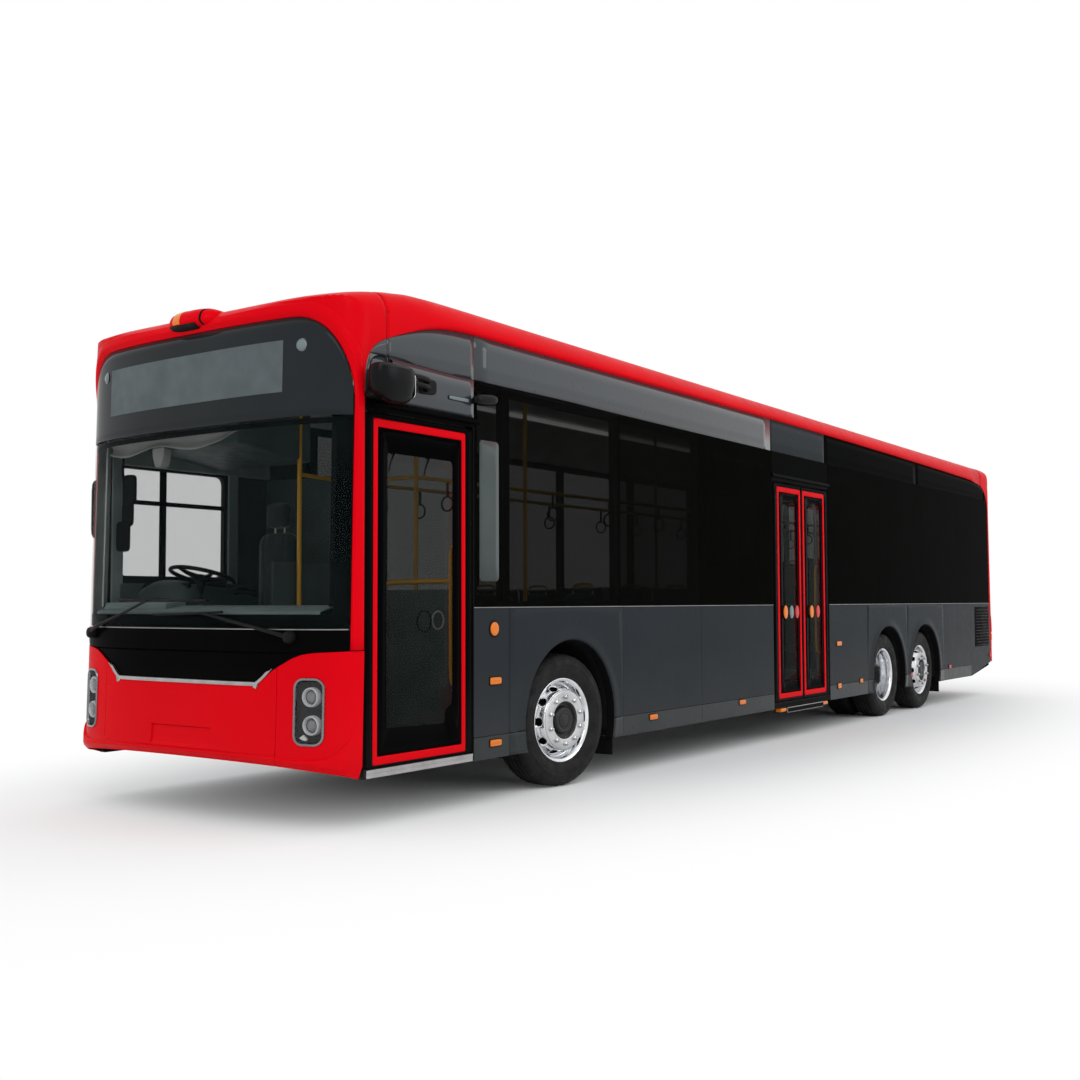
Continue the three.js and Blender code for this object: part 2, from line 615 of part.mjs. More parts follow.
// A shelf runs the whole way across under the windscreen, with the console behind it at the wheel.
const dashShelf = [
  // distance from the front, height
  [235, 930], [235, 1184], [40, 1184], [40, 1290], [300, 1325], [345, 1290], [345, 930],
];
const dashConsole = [
  [300, 1325], [440, 1340], [560, 1240], [640, 1190], [640, 1130], [440, 1040], [440, cab.deck + gap],
  [330, cab.deck + gap],
];
const dashHood = [[330, 1320], [345, 1470], [400, 1490], [455, 1440], [440, 1320]];
const onSide = (outline) => outline.map(([s, z]) => [station(s), z]);
const dashBody = join([
  prism('x', onSide(dashShelf), -1100, 1080),
  prism('x', onSide(dashConsole), -1080, -270),
  prism('x', onSide(dashHood), -930, -370),
]).intersect(envelope(24, true));
add('dashboard', dashBody.subtract(column(30, driver.columnLength + 2)), finishes.dashPlastic);

function steeringWheel() {
  const ring = solid(new THREE.TorusGeometry(225, 15, 6, 18).rotateX(-columnTilt)
    .translate(driver.across, station(driver.wheelAt), driver.wheelHeight));
  const spokes = solid(new THREE.BoxGeometry(444, 40, 18).rotateX(-columnTilt)
    .translate(driver.across, station(driver.wheelAt), driver.wheelHeight));
  return join([column(28, driver.columnLength), ring, spokes]);
}
add('steering_wheel', steeringWheel(), finishes.blackPlastic);

function seat(across, along, deck, width, depth = 430, backHeight = 620) {
  const [from, to] = [across - width / 2, across + width / 2];
  const cushion = region([from, to], [along, along + depth], [deck + 380, deck + 460]);
  const back = region([from, to], [along + depth - 10, along + depth + 60],
    [deck + 390, deck + 460 + backHeight]);
  return cushion.add(back);
}

const pairWidth = 860;
const pairAcross = floorEdge - 20 - pairWidth / 2;
function seatRow(sign, rows, deck) {
  const rail = [sign * (pairAcross - 40), sign * (pairAcross + 40)].sort((p, q) => p - q);
  return join([
    ...rows.map((along) => seat(sign * pairAcross, along, deck, pairWidth)),
    region(rail, [rows[0] + 40, rows.at(-1) + 440], [deck + 330, deck + 385]),
    ...rows.map((along) => region(rail, [along + 150, along + 230], [deck + gap, deck + 340])),
  ]);
}
add('left_front_seats', seatRow(1, [3300, 4100, 4900], floorTop), finishes.seatFabric);
add('right_front_seats', seatRow(-1, [3300, 4100, 4900, 5700], floorTop), finishes.seatFabric);

const rearRows = [8560, 9340, 10120, 10900, 11680];
function rearSeats() {
  const bench = seat(0, 12480, platformTop, 2 * floorEdge - 40, 460, 640);
  const deck = wheelBoxes[1].top + boxWall;
  const rows = rearRows.flatMap((along) => [1, -1].map((sign) =>
    seat(sign * pairAcross, along, deck - 330, pairWidth)));
  const rails = [1, -1].map((sign) => {
    const across = [sign * (pairAcross - 40), sign * (pairAcross + 40)].sort((p, q) => p - q);
    return region(across, [rearRows[0] + 40, 12520], [deck + gap, deck + 60]);
  });
  return join([bench, ...rows, ...rails]);
}
add('rear_seats', rearSeats(), finishes.seatFabric);

function driverSeat() {
  const x = driver.across;
  const pedestal = region([x - 130, x + 130], [1010, 1310], [cab.deck + gap, 1120]);
  const cushion = region([x - 250, x + 250], [940, 1410], [1110, 1220]);
  const back = region([x - 240, x + 240], [1370, 1470], [1170, 1900]);
  const head = region([x - 130, x + 130], [1385, 1455], [1880, 2100]);
  return join([pedestal, cushion, back, head]);
}
add('driver_seat', driverSeat(), finishes.seatFabric);

const ceiling = roofHeight - wallThickness;
function handrails() {
  const railHeight = 2250;
  const parts = [];
  const frontPole = 1840;
  const [poleRadius, railRadius] = [17, 15];
  for (const x of [-330, 330]) {
    parts.push(tube([[x, station(frontPole), railHeight], [x, station(12300), railHeight]], railRadius));
    for (const s of [frontPole, 3200, 6500, 7600]) {
      parts.push(tube([[x, station(s), floorTop + 5], [x, station(s), ceiling - 60]], poleRadius));
    }
    parts.push(tube([[x, station(12300), platformTop + 5], [x, station(12300), ceiling - 60]], poleRadius));
  }
  for (const s of [frontPole, 12300]) {
    parts.push(tube([[-330, station(s), railHeight], [330, station(s), railHeight]], railRadius));
  }
  const cabPole = [cab.inner + 40, station(1200)];
  parts.push(tube([[...cabPole, floorTop + 5], [...cabPole, ceiling - 60]], poleRadius));
  parts.push(tube([[...cabPole, railHeight], [-330, station(frontPole), railHeight]], railRadius));
  return join(parts);
}
add('handrails', handrails(), finishes.yellowRail);

// ---------------------------------------------------------------- roof equipment

function roofUnit(from, to, halfSpan, height) {
  const profile = [
    [-halfSpan, 3190], [-halfSpan, height - 70], [-halfSpan + 110, height], [halfSpan - 110, height],
    [halfSpan, height - 70], [halfSpan, 3190],
  ];
  return prism('y', profile, station(from), station(to)).subtract(outerBody.translate([0, 0, gap]));
}
add('air_conditioner', roofUnit(8700, 11600, 800, 3405), finishes.roofWhite);
add('roof_batteries', roofUnit(3000, 7800, 850, 3405), finishes.roofWhite);

export default bus;
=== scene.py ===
import json
import math

import bmesh
import bpy
import numpy as np
from mathutils import Matrix, Vector


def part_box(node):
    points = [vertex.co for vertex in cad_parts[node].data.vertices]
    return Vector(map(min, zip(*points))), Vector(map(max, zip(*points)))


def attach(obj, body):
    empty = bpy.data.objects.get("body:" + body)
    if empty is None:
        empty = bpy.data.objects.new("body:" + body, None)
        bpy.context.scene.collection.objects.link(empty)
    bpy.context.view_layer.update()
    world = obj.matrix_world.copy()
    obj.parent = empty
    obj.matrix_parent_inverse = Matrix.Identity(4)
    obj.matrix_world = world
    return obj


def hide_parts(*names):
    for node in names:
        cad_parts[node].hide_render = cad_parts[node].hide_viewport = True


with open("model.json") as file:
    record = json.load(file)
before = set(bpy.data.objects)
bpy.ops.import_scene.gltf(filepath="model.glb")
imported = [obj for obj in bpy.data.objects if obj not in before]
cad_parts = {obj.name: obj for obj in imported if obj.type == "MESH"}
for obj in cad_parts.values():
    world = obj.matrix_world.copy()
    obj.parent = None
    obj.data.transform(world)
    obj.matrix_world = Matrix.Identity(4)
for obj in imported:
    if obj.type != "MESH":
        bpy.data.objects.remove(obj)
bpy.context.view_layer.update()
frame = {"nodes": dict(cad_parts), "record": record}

scene = bpy.context.scene
print("frame loaded")

# Distances along the bus are given from its front end. z is height above the ground.
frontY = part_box("rear_end")[1].y - 13.537
bus = {
    "length": 13.54,
    "half": 1.2535,  # outer face of the side panels, a sheet's thickness proud of the frame
    "skirt": 0.30,
    "skirtSeam": 0.45,
    "glassLow": 1.298,
}


def along(s):
    # y of a distance from the front end: the front's own y plus the distance
    return frontY + s


# meshes

def gridFaces(rows, cols, wrapRows=False, wrapCols=False):
    # quads between neighbouring points of a rows by cols grid
    i = np.arange(rows if wrapRows else rows - 1)
    j = np.arange(cols if wrapCols else cols - 1)
    a, b = np.meshgrid(i, j, indexing="ij")
    c, d = (a + 1) % rows, (b + 1) % cols
    return np.stack([a * cols + b, c * cols + b, c * cols + d, a * cols + d], -1).reshape(-1, 4)


def makeObject(name, points, faces, material, body="shell", slot=None, stands=(), closed=False,
               toward=None, sharp=32):
    # welds the points, turns the faces outwards and hands the piece to its body
    mesh = bpy.data.meshes.new(name)
    mesh.from_pydata(np.asarray(points, float).reshape(-1, 3).tolist(), [],
                     [list(map(int, f)) for f in faces])
    bm = bmesh.new()
    bm.from_mesh(mesh)
    bmesh.ops.remove_doubles(bm, verts=bm.verts, dist=1e-5)
    bmesh.ops.dissolve_degenerate(bm, edges=bm.edges, dist=1e-6)
    bmesh.ops.recalc_face_normals(bm, faces=bm.faces)
    bm.normal_update()
    if closed:
        flip = bm.calc_volume(signed=True) < 0
    else:
        aim = Vector(toward) if toward is not None else None
        score = 0.0
        for face in bm.faces:
            centre = face.calc_center_median()
            out = aim if aim is not None else Vector((centre.x, 0, centre.z - 1.6))
            score += face.normal.dot(out) * face.calc_area()
        flip = score < 0
    if flip:
        bmesh.ops.reverse_faces(bm, faces=bm.faces)
    bm.to_mesh(mesh)
    bm.free()
    mesh.polygons.foreach_set("use_smooth", np.ones(len(mesh.polygons), bool))
    mesh.set_sharp_from_angle(angle=math.radians(sharp))
    mesh.materials.append(material)
    piece = bpy.data.objects.new(name, mesh)
    scene.collection.objects.link(piece)
    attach(piece, body)
    if stands:
        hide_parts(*stands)
    return piece


def addSurface(name, points, material, wrapRows=False, wrapCols=False, **kw):
    # a grid of points joined row by row and column by column into four-sided faces
    rows, cols = points.shape[:2]
    return makeObject(name, points.reshape(-1, 3), gridFaces(rows, cols, wrapRows, wrapCols), material, **kw)


def addPanel(name, points, material, thickness=0.006, bevel=0.0015, **kw):
    # an open sheet given a wall inwards, with its edges eased
    piece = addSurface(name, points, material, **kw)
    return panelEdges(piece, thickness, bevel)


def panelEdges(piece, thickness=0.006, bevel=0.0015):
    # a wall of even thickness goes inwards from the sheet, then its edges are eased
    solid = piece.modifiers.new("wall", "SOLIDIFY")
    solid.thickness = thickness
    solid.offset = -1
    solid.use_even_offset = False
    if bevel:
        easeEdges(piece, bevel)
    return piece


def easeEdges(piece, width, segments=2):
    # edges sharper than 40 degrees get a small rounded bevel
    ease = piece.modifiers.new("ease", "BEVEL")
    ease.width = width
    ease.segments = segments
    ease.limit_method = "ANGLE"
    ease.angle_limit = math.radians(40)
    ease.harden_normals = True
    ease.use_clamp_overlap = True
    return piece


def addTube(name, path, radius, material, sides=12, ends=True, **kw):
    # a circle of the given radius carried along the path, shrunk to a point at each end
    path = np.asarray(path, float)
    radius = np.broadcast_to(np.asarray(radius, float), (len(path),)).copy()
    tangent = np.gradient(path, axis=0)
    if ends:
        path = np.vstack([path[:1], path, path[-1:]])
        tangent = np.vstack([tangent[:1], tangent, tangent[-1:]])
        radius = np.concatenate([[0], radius, [0]])
    tangent /= np.linalg.norm(tangent, axis=1, keepdims=True)
    spread = np.abs(tangent).mean(0)
    reference = np.eye(3)[int(np.argmin(spread))]
    first = np.cross(tangent, reference)
    first /= np.linalg.norm(first, axis=1, keepdims=True)
    second = np.cross(tangent, first)
    angle = np.linspace(0, 2 * np.pi, sides, endpoint=False)
    ring = first[:, None] * np.cos(angle)[None, :, None] + second[:, None] * np.sin(angle)[None, :, None]
    points = path[:, None] + ring * radius[:, None, None]
    return addSurface(name, points, material, wrapCols=True, closed=ends, **kw)


def smoothPath(points, count=24):
    # a smooth curve through a few points: cubic through neighbours, as whole arrays
    p = np.asarray(points, float)
    p = np.vstack([2 * p[0] - p[1], p, 2 * p[-1] - p[-2]])
    t = np.linspace(0, len(p) - 3, count)
    i = np.clip(t.astype(int), 0, len(p) - 4)
    f = (t - i)[:, None]
    a, b, c, d = p[i], p[i + 1], p[i + 2], p[i + 3]
    return 0.5 * (2 * b + (c - a) * f + (2 * a - 5 * b + 4 * c - d) * f ** 2 + (3 * b - 3 * c + d - a)
                  * f ** 3)


def addBar(name, outline, axis, start, end, material, bevel=0.003, segments=2, **kw):
    # an outline of pairs pushed along an axis: (y, z) for x, (x, z) for y, (x, y) for z
    outline = np.asarray(outline, float)
    order = {"x": (1, 2, 0), "y": (0, 2, 1), "z": (0, 1, 2)}[axis]
    n = len(outline)
    points = np.zeros((2 * n, 3))
    for k, level in enumerate((start, end)):
        points[k * n:(k + 1) * n, order[0]] = outline[:, 0]
        points[k * n:(k + 1) * n, order[1]] = outline[:, 1]
        points[k * n:(k + 1) * n, order[2]] = level
    faces = [list(range(n)), list(range(2 * n - 1, n - 1, -1))]
    faces += [[i, (i + 1) % n, n + (i + 1) % n, n + i] for i in range(n)]
    piece = makeObject(name, points, faces, material, closed=True, **kw)
    if bevel:
        easeEdges(piece, bevel, segments)
    return piece


def addBlock(name, low, high, material, bevel=0.004, segments=2, **kw):
    # the rectangle from low to high, across and up, carried along y
    (x0, y0, z0), (x1, y1, z1) = low, high
    return addBar(name, [(x0, z0), (x1, z0), (x1, z1), (x0, z1)], "y", y0, y1, material, bevel, segments,
                  **kw)


def roundedRect(u0, u1, v0, v1, radius, steps=6):
    # outline of a rectangle with circular corners, anticlockwise
    angle = np.linspace(0, np.pi / 2, steps)
    corners = []
    for cu, cv, turn in ((u1 - radius, v1 - radius, 0), (u0 + radius, v1 - radius, 1),
                         (u0 + radius, v0 + radius, 2), (u1 - radius, v0 + radius, 3)):
        a = angle + turn * np.pi / 2
        corners.append(np.stack([cu + radius * np.cos(a), cv + radius * np.sin(a)], -1))
    return np.vstack(corners)


def raysTo(outline, centre, angles):
    # where rays from centre at these angles meet a closed outline
    a = np.asarray(outline, float) - centre
    b = np.roll(a, -1, axis=0)
    direction = np.stack([np.cos(angles), np.sin(angles)], -1)[:, None]
    edge = (b - a)[None]
    det = direction[..., 0] * -edge[..., 1] + direction[..., 1] * edge[..., 0]
    det = np.where(np.abs(det) < 1e-12, 1e-12, det)
    t = (a[None, :, 0] * -edge[..., 1] + a[None, :, 1] * edge[..., 0]) / det
    k = (direction[..., 0] * a[None, :, 1] - direction[..., 1] * a[None, :, 0]) / det
    t = np.where((k >= -1e-9) & (k <= 1 + 1e-9) & (t > 1e-9), t, np.inf).min(1)
    return centre + direction[:, 0] * t[:, None]


def ringGrid(inner, outer, rings, count=96):
    # straight lines from a hole's outline to an outer outline, both seen from the hole's middle
    inner, outer = np.asarray(inner, float), np.asarray(outer, float)
    centre = (inner.min(0) + inner.max(0)) / 2
    corners = np.vstack([inner, outer]) - centre
    angles = np.sort(np.unique(np.round(np.concatenate([
        np.linspace(-np.pi, np.pi, count, endpoint=False), np.arctan2(corners[:, 1], corners[:, 0])]), 5)))
    a, b = raysTo(inner, centre, angles), raysTo(outer, centre, angles)
    r = np.linspace(0, 1, rings)[:, None, None]
    return a[None] * (1 - r) + b[None] * r


def smoothStep(x):
    # three x squared less two x cubed, with x held between 0 and 1
    x = np.clip(x, 0, 1)
    return x * x * (3 - 2 * x)


# materials

def newMaterial(name):
    # a material with its node tree and shader
    material = bpy.data.materials.new(name)
    material.use_nodes = True
    tree = material.node_tree
    return material, tree, tree.nodes["Principled BSDF"]


def addNode(tree, kind, **values):
    # a node with its sockets and settings filled in from the keywords
    node = tree.nodes.new(kind)
    for key, value in values.items():
        if key in node.inputs:
            node.inputs[key].default_value = value
        else:
            setattr(node, key, value)
    return node


def objectNoise(tree, scale, detail=3, stretch=None, roughness=0.5):
    # noise over the object's own coordinates, scaled apart on each axis where asked
    coords = tree.nodes.new("ShaderNodeTexCoord")
    source = coords.outputs["Object"]
    if stretch:
        mapping = addNode(tree, "ShaderNodeMapping", Scale=stretch)
        tree.links.new(source, mapping.inputs["Vector"])
        source = mapping.outputs["Vector"]
    noise = addNode(tree, "ShaderNodeTexNoise", Scale=scale, Detail=detail, Roughness=roughness)
    tree.links.new(source, noise.inputs["Vector"])
    return noise.outputs["Fac"]


def ramp(tree, source, stops):
    # a value turned into a colour between (place, colour) stops
    node = tree.nodes.new("ShaderNodeValToRGB")
    while len(node.color_ramp.elements) < len(stops):
        node.color_ramp.elements.new(0.5)
    for element, (place, colour) in zip(node.color_ramp.elements, stops):
        element.position = place
        element.color = (*colour, 1) if len(colour) == 3 else colour
    tree.links.new(source, node.inputs["Fac"])
    return node.outputs["Color"]


def bumpFrom(tree, source, shader, strength, distance):
    # a value used as height, felt through the shader's normal
    bump = addNode(tree, "ShaderNodeBump", Strength=strength, Distance=distance)
    tree.links.new(source, bump.inputs["Height"])
    tree.links.new(bump.outputs["Normal"], shader.inputs["Normal"])
    return bump


def shade(colour, share):
    # each channel of a colour times a share
    return tuple(max(0, c * share) for c in colour)


def dustyPaint(name, colour, roughness=0.3, coat=1.0, dust=0.25, spec=0.5, coatRough=0.04, waviness=0.02):
    # clear-coated paint: faint mottling, road dust that thickens towards the skirt, a slight waviness
    material, tree, shader = newMaterial(name)
    mottled = ramp(tree, objectNoise(tree, 1.3, 4), [(0.3, shade(colour, 0.95)), (0.7, shade(colour, 1.03))])
    coords = tree.nodes.new("ShaderNodeTexCoord")
    split = tree.nodes.new("ShaderNodeSeparateXYZ")
    tree.links.new(coords.outputs["Object"], split.inputs[0])
    height = addNode(tree, "ShaderNodeMapRange")
    for key, value in (("From Min", 0.3), ("From Max", 0.95), ("To Min", dust), ("To Max", 0.0)):
        height.inputs[key].default_value = value
    tree.links.new(split.outputs["Z"], height.inputs["Value"])
    patches = addNode(tree, "ShaderNodeMath", operation="MULTIPLY")
    tree.links.new(height.outputs["Result"], patches.inputs[0])
    tree.links.new(objectNoise(tree, 2.2, 5, roughness=0.55), patches.inputs[1])
    mix = addNode(tree, "ShaderNodeMix", data_type="RGBA")
    tree.links.new(patches.outputs["Value"], mix.inputs["Factor"])
    tree.links.new(mottled, mix.inputs[6])
    mix.inputs[7].default_value = (0.23, 0.21, 0.19, 1)
    tree.links.new(mix.outputs[2], shader.inputs["Base Color"])
    gloss = addNode(tree, "ShaderNodeMapRange")
    for key, value in (("From Min", 0.3), ("From Max", 0.7), ("To Min", roughness * 0.85),
                       ("To Max", roughness * 1.2)):
        gloss.inputs[key].default_value = value
    tree.links.new(objectNoise(tree, 9, 5), gloss.inputs["Value"])
    tree.links.new(gloss.outputs["Result"], shader.inputs["Roughness"])
    shader.inputs["Specular IOR Level"].default_value = spec
    shader.inputs["Coat Weight"].default_value = coat
    shader.inputs["Coat Roughness"].default_value = coatRough
    bumpFrom(tree, objectNoise(tree, 1.7, 2), shader, waviness, 0.05)
    return material


def mouldedPlastic(name, colour, roughness=0.5, grain=420, strength=0.25, spec=0.4, distance=0.0004):
    # fine moulded grain over a colour that drifts a little, worn glossier in patches
    material, tree, shader = newMaterial(name)
    tint = ramp(tree, objectNoise(tree, 5, 4), [(0.3, shade(colour, 0.85)), (0.7, shade(colour, 1.15))])
    tree.links.new(tint, shader.inputs["Base Color"])
    gloss = addNode(tree, "ShaderNodeMapRange")
    for key, value in (("From Min", 0.3), ("From Max", 0.7), ("To Min", roughness * 0.8),
                       ("To Max", roughness * 1.2)):
        gloss.inputs[key].default_value = value
    tree.links.new(objectNoise(tree, 12, 4), gloss.inputs["Value"])
    tree.links.new(gloss.outputs["Result"], shader.inputs["Roughness"])
    shader.inputs["Specular IOR Level"].default_value = spec
    bumpFrom(tree, objectNoise(tree, grain, 2), shader, strength, distance)
    return material


def brushedMetal(name, colour, roughness=0.2, scale=90, streak=None, metallic=1.0, grime=0.2):
    # machined or polished metal: fine streaks in its gloss and a little grey film in patches
    material, tree, shader = newMaterial(name)
    film = ramp(tree, objectNoise(tree, 8, 5), [(0.35, shade(colour, 1 - grime)), (0.6, colour)])
    tree.links.new(film, shader.inputs["Base Color"])
    gloss = addNode(tree, "ShaderNodeMapRange")
    for key, value in (("From Min", 0.3), ("From Max", 0.7), ("To Min", roughness * 0.6),
                       ("To Max", roughness * 1.5)):
        gloss.inputs[key].default_value = value
    tree.links.new(objectNoise(tree, scale, 4, streak), gloss.inputs["Value"])
    tree.links.new(gloss.outputs["Result"], shader.inputs["Roughness"])
    shader.inputs["Metallic"].default_value = metallic
    bumpFrom(tree, objectNoise(tree, scale * 2, 2, streak), shader, 0.08, 0.0005)
    return material


def paneGlass(name, colour, alpha, spec=0.5, roughness=0.02):
    # thin tinted pane: a faint film of dust in its gloss, see-through by its alpha
    material, tree, shader = newMaterial(name)
    tint = ramp(tree, objectNoise(tree, 2.2, 3), [(0.3, shade(colour, 0.85)), (0.7, shade(colour, 1.1))])
    tree.links.new(tint, shader.inputs["Base Color"])
    gloss = addNode(tree, "ShaderNodeMapRange")
    for key, value in (("From Min", 0.35), ("From Max", 0.75), ("To Min", roughness),
                       ("To Max", roughness * 2.5)):
        gloss.inputs[key].default_value = value
    tree.links.new(objectNoise(tree, 7, 5), gloss.inputs["Value"])
    tree.links.new(gloss.outputs["Result"], shader.inputs["Roughness"])
    shader.inputs["Specular IOR Level"].default_value = spec
    shader.inputs["Alpha"].default_value = alpha
    return material


def tyreRubber(name):
    # dark rubber, greyer where dust lies on the sidewall, with fine radial scuffs
    material, tree, shader = newMaterial(name)
    dust = ramp(tree, objectNoise(tree, 9, 7, roughness=0.7),
                [(0.35, (0.005, 0.005, 0.0054)), (0.75, (0.014, 0.0135, 0.013))])
    tree.links.new(dust, shader.inputs["Base Color"])
    rough = ramp(tree, objectNoise(tree, 14, 4), [(0.3, (0.55,) * 3), (0.7, (0.85,) * 3)])
    tree.links.new(rough, shader.inputs["Roughness"])
    shader.inputs["Specular IOR Level"].default_value = 0.2
    bumpFrom(tree, objectNoise(tree, 160, 3), shader, 0.3, 0.0006)
    return material


def lensPlastic(name, colour, ribs, roughness=0.15, glow=0.0):
    # coloured lamp lens with moulded ribs under a clear face
    material, tree, shader = newMaterial(name)
    coords = tree.nodes.new("ShaderNodeTexCoord")
    wave = addNode(tree, "ShaderNodeTexWave", Scale=ribs, Distortion=0.0)
    wave.bands_direction = "Z"
    tree.links.new(coords.outputs["Object"], wave.inputs["Vector"])
    tint = ramp(tree, wave.outputs["Fac"], [(0.0, shade(colour, 0.75)), (1.0, colour)])
    tree.links.new(tint, shader.inputs["Base Color"])
    shader.inputs["Roughness"].default_value = roughness
    shader.inputs["Coat Weight"].default_value = 0.25
    shader.inputs["Specular IOR Level"].default_value = 0.2
    if glow:
        tree.links.new(tint, shader.inputs["Emission Color"])
        shader.inputs["Emission Strength"].default_value = glow
    bumpFrom(tree, wave.outputs["Fac"], shader, 0.25, 0.002)
    return material


def wovenCloth(name, colour, accent, scale=900):
    # close weave of two yarns with a soft sheen
    material, tree, shader = newMaterial(name)
    coords = tree.nodes.new("ShaderNodeTexCoord")
    cells = addNode(tree, "ShaderNodeTexVoronoi", Scale=scale)
    tree.links.new(coords.outputs["Object"], cells.inputs["Vector"])
    blotch = ramp(tree, objectNoise(tree, 28, 4), [(0.42, colour), (0.58, accent)])
    dark = addNode(tree, "ShaderNodeMix", data_type="RGBA", blend_type="MULTIPLY")
    dark.inputs["Factor"].default_value = 0.5
    tree.links.new(blotch, dark.inputs[6])
    tree.links.new(ramp(tree, cells.outputs["Distance"], [(0.0, (1, 1, 1)), (0.6, (0.4, 0.4, 0.4))]),
                   dark.inputs[7])
    tree.links.new(dark.outputs[2], shader.inputs["Base Color"])
    shader.inputs["Roughness"].default_value = 0.9
    shader.inputs["Sheen Weight"].default_value = 0.3
    bumpFrom(tree, cells.outputs["Distance"], shader, 0.4, 0.0008)
    return material


paint = {
    "red": (0.67, 0.0008, 0.0060),
    # sheet and skirt are the slate grey in darker copies for the lower side, as painted shade
    "grey": (0.031, 0.037, 0.043), "sheet": (0.0245, 0.0290, 0.0330), "skirt": (0.020, 0.0255, 0.0285),
    "black": (0.0020, 0.0020, 0.0023),
}
redPaint = dustyPaint("red coach paint", paint["red"], 0.32, 0.03, 0.02, 0.012)
greyPaint = dustyPaint("slate coach paint", paint["grey"], 0.3, 0.85, 0.12, 0.05)
# the two lower slate paints are darker copies of the one above: painted shade
shadedSheetGrey = dustyPaint("slate coach paint between glass and skirt", paint["sheet"], 0.3, 0.03, 0.12, 0.012)
shadedSkirtGrey = dustyPaint("slate coach paint on the skirt", paint["skirt"], 0.3, 0.12, 0.12, 0.06)
blackGloss = dustyPaint("black gloss panel", (0.0034, 0.0040, 0.0034), 0.16, 0.002, 0.05, 0.001)
blackPaint = dustyPaint("black gloss", paint["black"], 0.25, 0.006, 0.05, 0.005)
blackBand = dustyPaint("black printed glass border", (0.0014, 0.0015, 0.0018), 0.12, 0.004, 0.02, 0.003)
satinBlack = mouldedPlastic("satin black trim", (0.0055, 0.0055, 0.006), 0.42, 300, 0.15, 0.08)
blackPlastic = mouldedPlastic("black moulded plastic", (0.006, 0.006, 0.0065), 0.5, 420, 0.25, 0.1)
# near-black plastic for real black parts, and set behind seams, in recesses and inside the wheels as painted
# shade
blackPartsAndPaintedShade = mouldedPlastic("shadowed black backing", (0.004, 0.004, 0.004), 0.9, 60, 0.1, 0.1)
clearGlass = paneGlass("clear laminated glass", (0.010, 0.018, 0.017), 0.14, 0.02)
doorGlass = paneGlass("door glass", (0.010, 0.014, 0.012), 0.36, 0.02)
# side glass: one near-black glass in copies of different alpha; the near-black with almost no gloss is
# painted dark reflection, partly real tint
darkReflectionGlass = paneGlass("tinted side glass", (0.0024, 0.0028, 0.0022), 0.95, 0.0008)
midGlass = paneGlass("tinted glass beside the front seats", (0.0030, 0.0034, 0.0028), 0.55, 0.004)
farGlass = paneGlass("light tinted side glass", (0.0024, 0.0028, 0.0022), 0.72, 0.004)
shadeGlass = paneGlass("deep tinted side glass", (0.0024, 0.0028, 0.0022), 0.80, 0.002)
displayGlass = paneGlass("smoked display glass", (0.014, 0.017, 0.019), 1.0, 0.1)
aluminium = brushedMetal("polished aluminium", (0.80, 0.81, 0.83), 0.16, 70)
satinSteel = brushedMetal("satin silver trim", (0.42, 0.41, 0.41), 0.35, 120, (1, 12, 12))
darkSteel = mouldedPlastic("painted chassis steel", (0.016, 0.016, 0.017), 0.6, 90, 0.4, 0.3, 0.001)
rubber = tyreRubber("tyre rubber")
amberLens = lensPlastic("amber lens", (0.80, 0.19, 0.003), 90, 0.15, 0.06)
redLens = lensPlastic("red lens", (0.55, 0.006, 0.008), 90, 0.15, 0.1)
clearLens = lensPlastic("clear lens", (0.55, 0.57, 0.6), 60, 0.08)
smokedLens = lensPlastic("smoked lens", (0.17, 0.21, 0.22), 60, 0.10)
print("materials made")

# the body's skin: straight walls, a rounded-square nose and tail in plan, a domed roof

skin = {
    "noseDepth": 0.32, "noseRound": 2.75, "lean": 0.02,
    "tailDepth": 0.165, "tailRound": 4.0,
    "roof": 3.31, "crown": 0.01, "edgeAcross": 0.22, "edgeUp": 0.21,
    "domeStart": 1.35, "domeReach": 1.29, "domeRise": 0.228, "domeRound": 1.9,
    "tailDome": 0.33, "tailRise": 0.26, "fall": 0.0045,
    "cornerDrop": 0.05, "blend": 2.2,
}


def roofHeight(x, s):
    # crown less the drop across (parabola, then quarter ellipse) and along (dome), joined by a power sum
    a = np.clip(np.abs(x), 0, bus["half"])
    inner = bus["half"] - skin["edgeAcross"]
    t = np.clip((a - inner) / skin["edgeAcross"], 0, 1)
    across = skin["crown"] * np.clip(a / inner, 0, 1) ** 2 + skin["edgeUp"] * (1 - np.sqrt(1 - t * t))
    u = np.clip((skin["domeStart"] - s) / skin["domeReach"], 0, 1)
    n = skin["domeRound"]
    front = skin["domeRise"] * (1 - (1 - u ** n) ** (1 / n))
    v = np.clip((s - (bus["length"] - skin["tailDome"])) / skin["tailDome"], 0, 1)
    rear = skin["tailRise"] * (1 - np.sqrt(1 - v * v))
    p = skin["blend"]
    drop = (across ** p + (front + rear) ** p) ** (1 / p)
    corner = np.clip((a - 0.7) / 0.55, 0, 1) ** 2 * smoothStep((0.95 - s) / 0.9)
    height = skin["roof"] - drop - skin["cornerDrop"] * corner
    share = np.clip((height - 3.09) / 0.22, 0, 1)
    return height - skin["fall"] * share * np.maximum(0, s - skin["domeStart"])


def bodyLevel(p):
    # below 0 inside the body: the worst of nose, tail and roof
    x, s, z = p[..., 0], p[..., 1] - frontY, p[..., 2]
    a = np.abs(x) / bus["half"]
    front = skin["lean"] * (z - bus["skirt"])
    b = np.clip((front + skin["noseDepth"] - s) / skin["noseDepth"], 0, 9)
    nose = (a ** skin["noseRound"] + b ** skin["noseRound"]) ** (1 / skin["noseRound"]) - 1
    c = np.clip((s - bus["length"] + front + skin["tailDepth"]) / skin["tailDepth"], 0, 9)
    tail = (a ** skin["tailRound"] + c ** skin["tailRound"]) ** (1 / skin["tailRound"]) - 1
    return np.maximum(np.maximum(nose, tail), z - roofHeight(x, s))


